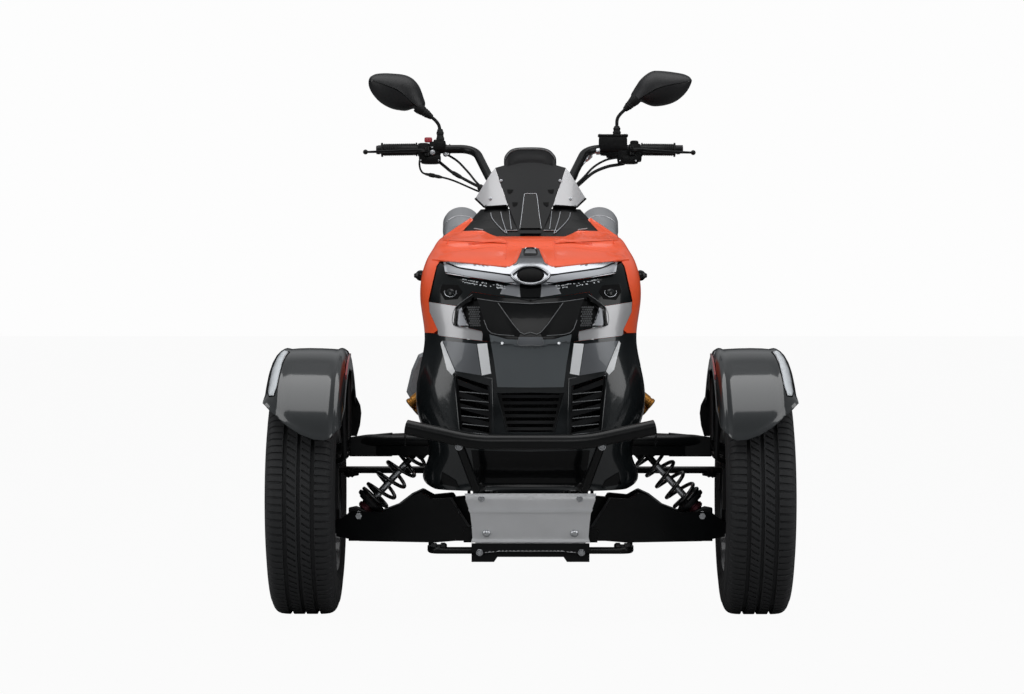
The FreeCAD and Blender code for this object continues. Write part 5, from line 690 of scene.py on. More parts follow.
LENS_REFLECTION = [(72.5, 308.9, 4), (68.9, 307.5, 4), (61.7, 325.4, 4), (74.8, 325.7, 4), (73.7, 312.9, 4)]
BEAK_RIM = [(58.2, 294.6, 7), (30.5, 297.9, 8), (0.0, 299.6, 8), (0.0, 304.3, 6), (32.6, 302.5, 6),
            (53.4, 298.6, 6)]
BEAK_VALLEY = [(32.6, 302.5, 5), (0.0, 304.3, 5), (0.0, 332.1, 1), (10.5, 332.1, 1)]
BEAK_WING = [(53.4, 298.6, 6), (32.6, 302.5, 9), (10.5, 332.1, 9), (11.9, 336.1, 7), (16.2, 335.7, 5),
             (39.4, 332.9, 4), (46.6, 320.0, 4)]
BEAK_BOX = [(11.2, 337.0, 9), (0.0, 337.0, 9), (0.0, 345.0, 8), (12.3, 345.0, 8)]
LAMP_FRAME = [(58.2, 294.6, 6), (75.1, 307.5, 5), (77.3, 325.0, 5), (74.1, 326.4, 5), (71.9, 309.3, 5),
              (64.8, 303.6, 5), (53.7, 298.6, 6)]
CENTRE_PLATE = [(41.2, 334.3, 4), (23.4, 339.3, 5), (0.0, 340.0, 5), (0.0, 387.5, 6), (33.2, 387.1, 5),
                (36.2, 362.9, 4)]
SHOULDER = [(87.6, 340.7, 2), (54.1, 343.9, 6), (49.4, 375.4, 6), (74.8, 371.1, 2)]
SHOULDER_HIGHLIGHT_BAND = [(53.4, 343.9, 6), (43.4, 343.2, 3), (39.4, 373.6, 3), (48.7, 375.4, 6)]
SHOULDER_EDGE_HIGHLIGHT = [(90.1, 343.2, 0.6), (88.4, 340.7, 2), (75.5, 371.1, 2), (78.4, 375.0, 0.6),
                 (83.7, 369.6, 0.6)]
CHIN_BOX = [(59.4, 450.4, 2), (0.0, 452.1, 2), (0.0, 487.0, 2), (54.5, 486.0, 2)]
CHIN_CORNER = [(88.5, 472.1, 2), (75.1, 480.7, 3), (71.6, 487.6, 2), (90.6, 484.1, 0.6)]
LIP = [(98.0, 259.6, 1.0), (59.1, 263.2), (24.8, 266.6), (16.4, 263.3), (12.4, 256.4), (9.4, 249.5)]
LOUVRE_FRAME = [(76.9, 373.6, 1.0), (38.5, 378.6), (36.9, 437.1), (71.2, 430.7), (76.9, 373.6)]
GRILLE_FRAME = [(34.1, 392.5, 6.0), (20.1, 396.1), (0.0, 396.4)]
GRILLE_SIDE = [(34.1, 392.5, 4.0), (23.0, 433.4)]
LED_LINE = [(67.6, 280.0), (50.1, 282.9), (33.2, 285.4), (23.4, 286.8)]
print("nose outlines drawn")

# %% [markdown]
# The outlines become panels. Each casts onto the solid that carries it, so that none lands on a piece behind.

# %% Panels of the nose
hood_skin, dash_skin = sight_tree("cowl"), sight_tree("cowl", "dash_panel")
trim_skin, brow_skin = sight_tree("nose_trim"), sight_tree("cowl", "nose_trim")
piece("cowl_facets", facet(COWL_FACE, skin=brow_skin), paint["orange"])
piece("cowl_shoulders", facet(SHOULDER_RISE, skin=dash_skin, even=12), paint["orange"])
# The pale beads on the shoulders and over the dash ribs are painted highlights.
piece("shoulder_highlights", skin_line(SHOULDER_HIGHLIGHT, 1.6, 4, dash_skin), paint["silver_plastic"])
piece("dash_rib_highlights", join(*[skin_line(rib, 1.3, 5, dash_skin) for rib in DASH_RIB_HIGHLIGHTS]), paint["silver_plate"], angle=60)
piece("cowl_lip", skin_line(LIP, 2.6, 8, brow_skin), paint["orange"], angle=60)
piece("trim_upper", facet(CHROME_BAR, skin=trim_skin), paint["chrome"])
piece("trim_lower", facet(SILVER_BAR, skin=trim_skin), paint["silver_plate"])
# The dark bead in the gap above the silver bar is a painted shadow.
piece("trim_gap_shadow", skin_line(BAR_GAP_SHADOW, 1.5, 6, trim_skin), extra["dark"], angle=60)
piece("trim_cap", facet(TRIM_CAP, skin=trim_skin), paint["black_gloss"])
piece("trim_cap_plate", facet(CAP_PLATE, skin=trim_skin), paint["silver_plate"])
piece("lamp_pillar", facet(PILLAR), paint["black_gloss"])
piece("lamp_pillar_sides", facet(PILLAR_SIDE), paint["silver_plate"])
piece("lamp_boxes", facet(LAMP_BOX), extra["dark"])
# The pale lens inserts are a painted reflection on glossy black.
piece("lens_reflections", facet(LENS_REFLECTION), paint["silver_plate"])
piece("beak_rim", facet(BEAK_RIM), paint["black_gloss"])
piece("beak_wings", facet(BEAK_WING), paint["black_plastic"])
piece("beak_valley", facet(BEAK_VALLEY), paint["black_gloss"])
# The box under the beak takes the lighter grey: a painted reflection.
piece("beak_box", facet(BEAK_BOX), extra["graphite_reflection"])
piece("lamp_frames", facet(LAMP_FRAME), paint["black_gloss"])
piece("panel_centre", facet(CENTRE_PLATE), extra["graphite_mid"], angle=12)
# The shoulder facets are lighter grey: a painted reflection where they tilt to the light.
piece("panel_shoulders", facet(SHOULDER), extra["graphite_reflection"], angle=12)
# The nearly white bands along the shoulder are painted highlights.
piece("panel_highlight_bands", join(facet(SHOULDER_HIGHLIGHT_BAND), facet(SHOULDER_EDGE_HIGHLIGHT)), extra["highlight_band"],
      angle=12)
piece("chin_facets", join(facet(CHIN_BOX), facet(CHIN_CORNER)), paint["black_gloss"])
rims = join(skin_line(LOUVRE_FRAME, 1.6, 1), skin_line(GRILLE_FRAME, 1.1, 3), skin_line(GRILLE_SIDE, 1.1, 3))
piece("louvre_rims", rims, paint["graphite"])
BEAK_EDGE_HIGHLIGHTS = [[(53.4, 298.6, 7.5), (30.5, 301.8), (0, 303.8)], [(32.6, 302.8, 9.5), (10.7, 332.0), (0, 332.2)],
              [(46.6, 320.0, 5.5), (39.4, 332.9), (16.2, 335.7)], [(11.4, 337.0, 9.5), (12.3, 345.0), (0, 345.2)],
              [(58.2, 294.6, 7.0), (75.1, 307.5), (77.3, 325.0), (62.0, 327.2)]]
HOOD_CREASES = [[(23.6, 241.5, 4.2), (24.0, 250.0), (24.6, 259.0)],
                [(62.0, 243.4, 4.6), (42.0, 242.0), (25.5, 242.0)],
                [(84.0, 243.5, 2.2), (80.5, 238.5), (70.0, 233.5)]]
piece("hood_creases", join(*[skin_line(line, 1.1, 5, hood_skin) for line in HOOD_CREASES]), paint["orange"], angle=70)
# Grey beads along the beak's edges are painted highlights.
edge_highlights = [skin_line(edge, 0.8, 3) for edge in BEAK_EDGE_HIGHLIGHTS]
piece("beak_edge_highlights", join(*edge_highlights), extra["rim_line"], angle=60)
print("nose panels laid")

# %% [markdown]
# The chrome ring round the bare oval, the projectors and the row of small lamps.

# %% Rings, discs and small lamps
def skin_ring(middle, radii, tube_mm, lift_mm, arc=(0, 360), count=48, point=0.0):
    """A ring on the skin round a pixel; point draws its two ends out sideways."""
    line = []
    for i in range(count + 1):
        angle = math.radians(arc[0] + (arc[1] - arc[0]) * i / count)
        wide = radii[0] * (1 + point * abs(math.cos(angle)) ** 12)
        line.append(on_skin(middle[0] + wide * math.cos(angle), middle[1] - radii[1] * math.sin(angle), lift_mm))
    if abs(arc[1] - arc[0]) >= 360:
        line[-1] = line[0]
    return sweep([p for p in line if p is not None], circle(tube_mm / 1000, 10), beside=(0, -1, 0))


def skin_disc(middle, radii, lift_mm, crown_mm=2.0, count=40):
    """A crowned oval cover on the skin round a pixel."""
    verts, rings = [], 6
    for ring in range(rings + 1):
        share = ring / rings
        for i in range(count):
            angle = math.tau * i / count
            height = -3.0 if ring == rings else lift_mm + crown_mm * (1 - share * share)
            verts.append(on_skin(middle[0] + radii[0] * max(share, 0.02) * math.cos(angle),
                                 middle[1] - radii[1] * max(share, 0.02) * math.sin(angle), height))
    return verts, strips(rings + 1, count) + [tuple(reversed(range(count)))]


print("corners of a disc on the skin:", len(skin_disc((MIDDLE_PX, 275.0), (14.6, 7.6), 5.0)[0]))

# %% [markdown]
# The oval is bare. Beside it the small lamps are chips of clear lens in two rows, a little uneven as real ones look.

# %% Oval, projectors and screws
OVAL, OVAL_RADII = (MIDDLE_PX, 275.0), (14.6, 7.6)
PROJECTOR_ARC = (-200, 20)
piece("oval_cover", skin_disc(OVAL, OVAL_RADII, 5.0, 3.0), extra["dark"])
piece("oval_ring", skin_ring(OVAL, (16.6, 9.0), 3.6, 5.5, point=0.14), paint["chrome"], angle=70)
for side in (-1, 1):
    spot = (MIDDLE_PX + side * 80.1, 292.3)
    label = "left" if side > 0 else "right"
    piece(f"projector_lens_{label}", skin_disc(spot, (4.6, 4.2), 1.8, 4.0, 28), paint["smoked_lens"])
    piece(f"projector_ring_{label}", skin_ring(spot, (5.9, 4.6), 1.0, 3.2, PROJECTOR_ARC, 30), paint["chrome"],
          angle=70)

seed = random.Random(7)
chips = []
for side in (-1, 1):
    line = smooth_line([(x, y, 0) for x, y in LED_LINE], 9)
    for number, place in enumerate(line):
        for row in range(2):
            px = MIDDLE_PX + side * (place.x + seed.uniform(-0.5, 0.5))
            spot = on_skin(px, place.y + row * 2.6 - 0.4 + seed.uniform(-0.4, 0.4), 0.4)
            if spot is None or seed.random() < 0.3:
                continue
            size = (0.0028 + seed.random() * 0.0030, 0.0016, 0.0016 + seed.random() * 0.0022)
            chips.append(rounded_box(size, spot, 0.0007))
piece("lamp_chips", join(*chips), extra["led"])
screws = [bolt_head(on_skin(MIDDLE_PX + side * 28.4, 343.6, 5.0), (0, -1, 0.15), 0.0045, "round")
          for side in (-1, 1)]
piece("panel_screws", join(*screws), extra["zinc"])
print("lamps and trim done")

# %% [markdown]
# ## Tyres
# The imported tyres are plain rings, light enough to collide. The ones that show are moulded road tyres: a side wall
# that bulges, a rounded shoulder, three grooves round the tread and slanted cuts in the ribs. Each pitch of the
# tread is a strip of six columns, of which two are pressed in where a rib has its cut.

# %% Tread and side wall
SIDE_ROWS = [(0.80, 0.004), (0.835, 0.035), (0.876, 0.104), (0.94, 0.234), (0.988, 0.346), (1.0, 0.433),
             (1.006, 0.445), (1.006, 0.470), (0.995, 0.485), (0.99, 0.56), (0.974, 0.658), (0.962, 0.715),
             (0.966, 0.722), (0.958, 0.755), (0.945, 0.762), (0.915, 0.835)]
TREAD_ROWS = [(0.885, 0.885, "cut"), (0.84, 0.930, "cut"), (0.78, 0.963, "cut"), (0.70, 0.985, "cut"),
              (0.58, 0.996, "cut"), (0.475, 1.0, "cut"), (0.455, 1.0, ""), (0.440, 1.0, "groove"),
              (0.345, 1.0, "groove"), (0.330, 1.0, ""), (0.310, 1.0, "cut"), (0.20, 1.0, "cut"),
              (0.105, 1.0, "cut"), (0.085, 1.0, ""), (0.050, 1.0, ""), (0.038, 1.0, "groove")]
PITCH_PLACES = [0.0, 0.08, 0.25, 0.33, 0.58, 0.80]
GROOVE_DEEP, CUT_DEEP = 0.0068, 0.0036


def tyre_mesh(at, tread_radius, bead_radius, half_wide, pitches):
    """A road tyre round the X axis."""
    rows = [(w, h, "") for w, h in SIDE_ROWS] + TREAD_ROWS
    rows += [(-w, h, kind) for w, h, kind in reversed(rows)]
    verts = []
    for w, h, kind in rows:
        radius = bead_radius + (tread_radius - bead_radius) * h
        slant = max(-1.0, min(1.0, w / 0.33)) * 0.9 + w * 0.3
        for pitch in range(pitches):
            for column, place in enumerate(PITCH_PLACES):
                angle = math.tau * (pitch + place + slant) / pitches
                deep = GROOVE_DEEP if kind == "groove" else 0.0
                if kind == "cut" and column in (1, 2):
                    deep = CUT_DEEP
                reach = radius - deep
                verts.append((at[0] + w * half_wide, at[1] + reach * math.cos(angle),
                              at[2] + reach * math.sin(angle)))
    count = pitches * len(PITCH_PLACES)
    last = (len(rows) - 1) * count
    inside = [(last + i, last + (i + 1) % count, (i + 1) % count, i) for i in range(count)]
    return verts, strips(len(rows), count) + inside


print("rows from bead to bead:", 2 * (len(SIDE_ROWS) + len(TREAD_ROWS)))

# %% [markdown]
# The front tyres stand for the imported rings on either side; the rear one is wider and a little taller.

# %% Three tyres
FRONT_Y, FRONT_UP, REAR_Y, REAR_UP = -0.820, 0.2935, 0.840, 0.3035
TRACK_HALF = 0.560
SIDES = (("left", 1), ("right", -1))
for label, sign in SIDES:
    made = tyre_mesh((sign * TRACK_HALF, FRONT_Y, FRONT_UP), 0.2935, 0.178, 0.085, 100)
    piece(f"front_tyre_tread_{label}", made, paint["tyre"], f"front_wheel_{label}",
          (f"front_wheel_{label}_tyre",), angle=28)
made = tyre_mesh((0, REAR_Y, REAR_UP), 0.3035, 0.1905, 0.1025, 104)
piece("rear_tyre_tread", made, paint["tyre"], "rear_wheel", ("rear_wheel_tyre",), angle=28)
print("tyre faces:", len(made[1]))

# %% [markdown]
# The cast wheels stay as they are packed. Their brake discs take the colour of ground steel by picking the faces
# that lie in the disc's slice, and each hub gets nuts, a cap and a bright edge on its rim.

# %% Discs, hubs and rim edges
def repaint(name, test, material):
    """A second finish for the faces of a solid whose middles pass a test."""
    data = nodes[name].data
    data.materials.append(material)
    number = len(data.materials) - 1
    for polygon in data.polygons:
        if test(polygon.center):
            polygon.material_index = number


def from_axle(point, y, up):
    """How far a place lies from an axle along X."""
    return math.hypot(point.y - y, point.z - up)


for label, sign in SIDES:
    repaint(f"front_rim_{label}",
            lambda c: 0.532 < abs(c.x) < 0.546 and 0.055 < from_axle(c, FRONT_Y, FRONT_UP) < 0.136, extra["disc"])
    out_x = TRACK_HALF + 0.0447
    centre = Vector((sign * out_x, FRONT_Y, FRONT_UP))
    way = Vector((sign, 0, 0))
    parts = [lathe([(0.021, 0), (0.021, 0.006), (0.018, 0.011), (0.012, 0.013), (0, 0.0135)], centre, way, 40)]
    for number in range(5):
        angle = math.tau * (number + 0.5) / 5
        spot = centre + Vector((0, math.cos(angle), math.sin(angle))) * 0.034
        parts.append(bolt_head(spot, way, 0.0085))
    piece(f"front_hub_nuts_{label}", join(*parts), extra["zinc"], f"front_wheel_{label}")
    lip = lathe([(0.1865, 0.0763), (0.1872, 0.0778), (0.1862, 0.0786), (0.1838, 0.0784), (0.1825, 0.0772)],
                (sign * TRACK_HALF, FRONT_Y, FRONT_UP), way, 96)
    piece(f"front_rim_lip_{label}", lip, extra["rim_face"], f"front_wheel_{label}")
repaint("rear_rim", lambda c: c.x < -0.108 and from_axle(c, REAR_Y, REAR_UP) > 0.04, extra["disc"])
rear_parts = []
for number in range(6):
    angle = math.tau * number / 6
    spot = Vector((-0.1177, REAR_Y + math.cos(angle) * 0.050, REAR_UP + math.sin(angle) * 0.050))
    rear_parts.append(bolt_head(spot, (-1, 0, 0), 0.007, "round"))
piece("rear_disc_bolts", join(*rear_parts), extra["zinc"], "rear_wheel")
lips = [lathe([(0.1990, 0.0930), (0.1998, 0.0945), (0.1988, 0.0953), (0.1960, 0.0950), (0.1948, 0.0938)],
              (0, REAR_Y, REAR_UP), (side, 0, 0), 96) for side in (-1, 1)]
piece("rear_rim_lips", join(*lips), extra["rim_face"], "rear_wheel")
print("wheels dressed")

# %% [markdown]
# ## Front fenders
# A fender is one moulded shell, so it is drawn as one sheet over two directions: the angle round the wheel and the
# way across it. The table gives the section across; a sunk field in front, a bead along the lip and a lip that
# curves down in the middle are added by angle. A second layer inside gives the wall.

# %% Section of the fender
FENDER_R = 0.374
FENDER_IN = 0.450
FENDER_WIDE_MM = 202
SECTION = [(0, -50), (0.6, -34), (3, -19), (8, -9), (15, -4.0), (20, -2.2), (25, -2.6), (31, -5.5), (45, -4.4),
           (70, -3.2), (100, -2.6), (128, -3.2), (146, -4.8), (152, -3.4), (158, -2.4), (164, -4.0), (173, -9.5),
           (182, -19), (190, -33), (196, -50), (200, -68), (202, -86)]


def ease(value, low, high):
    """A smooth step from 0 to 1 between two values."""
    share = max(0.0, min(1.0, (value - low) / (high - low)))
    return share * share * (3 - 2 * share)


def fender_lip(across):
    """The angle at which the front lip lies, by the share of the width from the inner edge."""
    if across < 0.24:
        return 25.3 + 6.5 * (1 - across / 0.24) ** 2
    return 25.3 + 18.0 * ((across - 0.24) / 0.76) ** 1.9


def fender_point(sign, degrees, out_mm, drop_mm, lift_mm=0.0):
    """A place on the shell from its angle over the front, the way across and the drop of the section."""
    reach = FENDER_R + (drop_mm + lift_mm) / 1000
    angle = math.radians(degrees)
    return Vector((sign * (FENDER_IN + out_mm / 1000), FRONT_Y - reach * math.cos(angle),
                   FRONT_UP + reach * math.sin(angle)))


def fender_drop(degrees, out_mm):
    """The section's drop at a place across, with the sunk field in front and the bead at the lip."""
    for (x0, d0), (x1, d1) in zip(SECTION, SECTION[1:]):
        if out_mm <= x1:
            drop = d0 + (d1 - d0) * (out_mm - x0) / (x1 - x0)
            break
    else:
        drop = SECTION[-1][1]
    start = degrees - fender_lip(out_mm / FENDER_WIDE_MM)
    if drop < -12:
        drop = -12 + (drop + 12) * (0.12 + 0.88 * ease(start, -1, 16)) * (1 - 0.85 * ease(degrees, 128, 150))
    field = ease(out_mm, 27, 34) * (1 - ease(out_mm, 143, 150)) * (1 - ease(degrees, 62, 70))
    bead = 1 - ease(start, 0.6, 3.0)
    return drop - 4.2 * field + 1.6 * bead


print("section of the fender, mm across:", SECTION[0][0], "to", SECTION[-1][0])

# %% [markdown]
# The shell is two sheets with a closed edge. A patch is a lens that lies on the shell between two lines.

# %% Shell and patches
SHELL_STEPS, WALL_MM = 64, 3.6


def fender_shell(sign):
    """The whole fender as an outer and an inner sheet, joined along the edges."""
    verts, faces = [], []
    across = [x for x, _ in SECTION]
    for layer in (0, 1):
        for i in range(SHELL_STEPS + 1):
            for x in across:
                share = x / FENDER_WIDE_MM
                start, end = fender_lip(share), 150 - 5 * (abs(share - 0.5) * 2) ** 4
                degrees = start + (end - start) * (i / SHELL_STEPS) ** 1.15
                inset = WALL_MM * 0.9 * (1 - 2 * share) if layer else 0.0
                inset += 9 * (0.5 - share) * abs(2 * share - 1) ** 6 * (1 - ease(degrees - start, 0, 14))
                verts.append(fender_point(sign, degrees, x + inset, fender_drop(degrees, x) - WALL_MM * layer))
    wide = len(across)
    size = wide * (SHELL_STEPS + 1)
    for i in range(SHELL_STEPS):
        for j in range(wide - 1):
            a = i * wide + j
            faces.append((a, a + 1, a + wide + 1, a + wide))
            faces.append((a + size, a + size + wide, a + size + wide + 1, a + size + 1))
    for i in range(SHELL_STEPS):
        for j in (0, wide - 1):
            a, b = i * wide + j, (i + 1) * wide + j
            faces.append((a, b, b + size, a + size))
    for j in range(wide - 1):
        for i in (0, SHELL_STEPS):
            a = i * wide + j
            faces.append((a, a + 1, a + 1 + size, a + size))
    return verts, faces


def fender_patch(sign, edges, lift_mm, rows=24, cols=8, swell_mm=1.0, cells=0):
    """A lens on the shell between two side edges, each a list of (angle, way across)."""
    def along(edge, t):
        """A place on a side edge by its share."""
        place = t * (len(edge) - 1)
        k = min(int(place), len(edge) - 2)
        a, b = edge[k], edge[k + 1]
        return [a[n] + (b[n] - a[n]) * (place - k) for n in (0, 1)]

    verts = []
    for i in range(rows + 1):
        low, high = along(edges[0], i / rows), along(edges[1], i / rows)
        for j in range(cols + 1):
            s = j / cols
            degrees, out = low[0] + (high[0] - low[0]) * s, low[1] + (high[1] - low[1]) * s
            rim = i in (0, rows) or j in (0, cols)
            wave = 0.7 * abs(math.sin(math.pi * cells * i / rows)) if cells else 0.0
            lift = -2.0 if rim else lift_mm + swell_mm * math.sin(math.pi * s) + wave
            verts.append(fender_point(sign, degrees, out, fender_drop(degrees, out), lift))
    return verts, strips(rows + 1, cols + 1, closed=False)


print("faces of one fender shell:", len(fender_shell(1)[1]))

# %% [markdown]
# Each fender carries a white running lamp with a dark rim, a red side reflector and a black guard behind.

# %% Both fenders
LED_IN = [(45.5, 170), (50, 163), (57, 160), (65, 157), (73, 152), (79, 147)]
LED_OUT = [(46.5, 183), (51, 189), (58, 189), (66, 186), (74, 178), (80, 166)]
RED_IN = [(60, 2.0), (70, 1.6), (80, 1.6), (90, 2.2)]
for label, sign in SIDES:
    body = f"knuckle_{label}"
    piece(f"fender_shell_{label}", fender_shell(sign), paint["graphite"], body, (f"fender_{label}",),
          angle=50)
    piece(f"fender_lamp_{label}", fender_patch(sign, (LED_IN, LED_OUT), 1.2, 30, 8, 1.6, 6), extra["led"], body)
    rim_line = [fender_point(sign, a, x, fender_drop(a, x), 0.6)
                for a, x in LED_IN + list(reversed(LED_OUT)) + LED_IN[:1]]
    piece(f"fender_lamp_rim_{label}", sweep(rim_line, circle(0.0014, 8)), extra["dark"], body, angle=60)
    red = [(a, x, -16 - 14 * t) for t in (0, 1) for a, x in RED_IN]
    strip_verts = [fender_point(sign, a, x - 3.4, drop) for a, x, drop in red]
    strip_verts += [fender_point(sign, a, x + 0.6, drop) for a, x, drop in red]
    n = len(RED_IN)
    strip_faces = [tuple(range(n)) + tuple(reversed(range(n, 2 * n)))]
    strip_faces += [tuple(i + 2 * n for i in reversed(strip_faces[0]))]
    rim_order = list(range(n)) + list(reversed(range(n, 2 * n)))
    for a, b in zip(rim_order, rim_order[1:] + rim_order[:1]):
        strip_faces.append((a, b, b + 2 * n, a + 2 * n))
    piece(f"fender_reflector_{label}", (strip_verts, strip_faces), paint["red_lens"], body)
    guard = [(346.5, 386), (352, 390), (357, 398), (360.4, 405), (361.5, 413), (360.2, 425), (357, 436), (346.5, 436)]
    spots = [at_depth(x, y, -0.545) for x, y in guard]
    outline = [(abs(p.x), p.z) for p in spots]
    shield = plate([(sign * x, z) for x, z in outline], 0.006, (0, -0.545, 0))
    piece(f"fender_guard_{label}", shield, paint["black_plastic"], body, bevel=0.001)
print("fenders moulded")

# %% [markdown]
# ## Handlebar fittings
# Grips, switch housings, levers and mirrors are the parts that stand against the white background, so their
# outlines count. They are drawn at the depth of the bar from places in the photograph, and replace the plain packed
# solids. Everything here turns with the bar.

# %% Grips
BAR_Y = FRONT_Y + 0.620


def bar_spot(px, py, forward=0.0):
    """A place in the upright plane of the grips, or a little before it."""
    return at_depth(px, py, BAR_Y - forward)


def tube_between(start, end, radius, count=20, bulge=None):
    """A straight tube with rounded ends; bulge lists (share, radius) changes along it."""
    start, end = Vector(start), Vector(end)
    length = (end - start).length
    rows = bulge or [(0.0, radius), (1.0, radius)]
    profile = [(0, 0), (rows[0][1] * 0.8, 0)]
    for share, size in rows:
        profile.append((size, max(0.0008, min(length - 0.0008, share * length))))
    profile += [(rows[-1][1] * 0.8, length), (0, length)]
    return lathe(profile, start, end - start, count)


def block(corners_px, forward, depth, round_mm=3.0):
    """A rounded housing whose front view is the box between two pixel corners."""
    low, high = bar_spot(*corners_px[0]), bar_spot(*corners_px[1])
    size = (abs(high.x - low.x), depth, abs(high.z - low.z))
    middle = ((low.x + high.x) / 2, BAR_Y - forward, (low.z + high.z) / 2)
    return rounded_box(size, middle, round_mm / 1000)


rubber_parts, housing_parts, metal_parts, pale_parts = [], [], [], []
for grip_in, grip_end in (((417.5, 149.4), (381.0, 149.9)), ((641.0, 149.6), (675.5, 149.9))):
    start, end = bar_spot(*grip_in), bar_spot(*grip_end)
    rings = [(0.0, 0.0185), (0.045, 0.0185), (0.05, 0.0155)]
    for number in range(15):
        place = 0.07 + number * 0.057
        rings += [(place, 0.0152), (place + 0.012, 0.0166), (place + 0.036, 0.0166), (place + 0.048, 0.0152)]
    rings += [(0.935, 0.0152), (0.945, 0.0192), (1.0, 0.0192)]
    rubber_parts.append(tube_between(start, end, 0.016, 32, rings))
    way = (end - start).normalized()
    metal_parts.append(tube_between(end, end + way * 0.013, 0.0125, 24, [(0, 0.0105), (0.4, 0.0125), (1, 0.0115)]))
print("grips:", len(rubber_parts))

# %% [markdown]
# The housings are two clamped halves with a seam, a switch lump below and screws; on the rider's left sits the
# square fluid reservoir with its lid. A lever is a flat cast blade with a ball end, in front of the grip.

# %% Housings and levers
housing_parts += [block(((434.5, 140.5), (446.0, 151.0)), 0.010, 0.044, 6),
                  block(((419.0, 145.5), (428.0, 163.0)), 0.012, 0.030, 6),
                  block(((606.0, 150.0), (622.0, 158.5)), 0.004, 0.036, 6),
                  block(((629.0, 152.0), (641.5, 162.5)), 0.010, 0.034, 6),
                  block(((417.5, 143.0), (430.0, 157.0)), 0.004, 0.044, 7),
                  block(((429.0, 141.5), (441.0, 157.5)), 0.002, 0.046, 8),
                  block(((421.0, 154.0), (441.0, 164.5)), 0.006, 0.040, 7),
                  block(((437.0, 144.0), (448.0, 153.5)), 0.0, 0.030, 7),
                  block(((433.5, 139.5), (444.0, 145.0)), 0.0, 0.026, 4),
                  block(((425.5, 150.5), (437.0, 155.5)), 0.020, 0.018, 3),
                  block(((617.0, 148.0), (629.5, 164.0)), 0.004, 0.044, 7),
                  block(((628.5, 143.5), (641.0, 157.5)), 0.002, 0.046, 7),
                  block(((622.0, 155.5), (638.0, 164.5)), 0.008, 0.040, 6),
                  block(((630.0, 140.5), (638.5, 146.5)), 0.0, 0.030, 5)]
housing_parts += [block(((598.6, 136.6), (627.0, 149.8)), 0.012, 0.042, 4),
                  block(((597.8, 134.6), (627.8, 137.4)), 0.012, 0.045, 1.6),
                  block(((600.0, 149.0), (620.0, 156.0)), 0.006, 0.034, 5)]
pale_parts += [bolt_head(bar_spot(x, 134.6, 0.002 + d), (0, 0, 1), 0.0034, "round")
               for x in (600.2, 625.4) for d in (0.026, -0.006)]
pale_parts += [tube_between(bar_spot(590.0, 151.7, 0.026), bar_spot(600.0, 151.2, 0.026), 0.0085, 14,
                            [(0, 0.0085), (0.3, 0.0085), (0.32, 0.0062), (0.6, 0.0062), (0.62, 0.0095), (1, 0.0095)]),
               bolt_head(bar_spot(445.5, 154.0, 0.018), (0.4, -1, 0), 0.006, "hex")]
for x, y in ((420.5, 160.5), (438.5, 160.5), (620.0, 160.8), (636.0, 160.8), (432.0, 147.5), (634.5, 150.5)):
    pale_parts.append(bolt_head(bar_spot(x, y, 0.0265), (0, -1, 0), 0.0026, "round"))
print("housings:", len(housing_parts), "screws and pins:", len(pale_parts))

# %% [markdown]
# The blade is an eight-sided section that shrinks along a smooth line, which a cast lever does too.

# %% Levers, buttons and the pieces of the bar
def lever(points_px):
    """A blade that thins towards its ball end, in the plane before the grip."""
    line = smooth_line([bar_spot(x, y, f) for x, y, f in points_px], 8)
    section = [(0.0042 * a, 0.0072 * b) for a, b in
               ((-1, -0.6), (-0.6, -1), (0.6, -1), (1, -0.6), (1, 0.6), (0.6, 1), (-0.6, 1), (-1, 0.6))]
    blade = sweep(line, section, lambda t: 1.25 - 0.62 * t, beside=(0, -1, 0))
    ball = lathe([(0.0068 * math.sin(a), -0.0068 * math.cos(a)) for a in [math.pi * i / 10 for i in range(11)]],
                 line[-1], line[-1] - line[-2], 20)
    return join(blade, ball)


metal_parts.append(lever([(428, 151.5, 0.026), (421, 150.6, 0.046), (408, 150.8, 0.058), (390, 151.4, 0.062),
                          (374, 151.8, 0.060), (365.5, 152.0, 0.056)]))
metal_parts.append(lever([(631, 150.5, 0.026), (637, 149.6, 0.046), (650, 150.6, 0.058), (668, 151.8, 0.062),
                          (683, 152.3, 0.060), (693.2, 152.6, 0.056)]))
metal_parts += [tube_between(bar_spot(427, 147, 0.030), bar_spot(427, 156, 0.030), 0.008, 20),
                tube_between(bar_spot(632, 146, 0.030), bar_spot(632, 155, 0.030), 0.008, 20)]
kill = block(((424.5, 137.4), (432.3, 142.6)), 0.004, 0.018, 3)
horn = lathe([(0, 0), (0.0075, 0), (0.0075, 0.005), (0.006, 0.0075), (0, 0.008)], bar_spot(432.5, 152.5, 0.028),
             (0, -1, 0), 24)
piece("grip_rubbers", join(*rubber_parts), paint["grip_rubber"], "steering")
piece("switch_housings", join(*housing_parts), paint["black_plastic"], "steering",
      ("bar_controls",), angle=50)
piece("hand_levers", join(*metal_parts), paint["black_steel"], "steering")
piece("bar_screws", join(*pale_parts), extra["zinc"], "steering")
# A small red switch is the one bright spot on the bars.
extra["red_button"] = finish("red_button_plastic", "a8323e", roughness=0.35, grain_mm=1.0, grain=0.02)
piece("stop_button", kill, extra["red_button"], "steering")
piece("horn_button", horn, extra["edge_grey"], "steering")
print("controls on the bar")

# %% [markdown]
# Each mirror is a drop-shaped shell with one crease. Every point of the outline is tied to the nearest place on the
# crease line, and the front swells from the rim to that line, so the crease stays sharp. The glass closes the back.

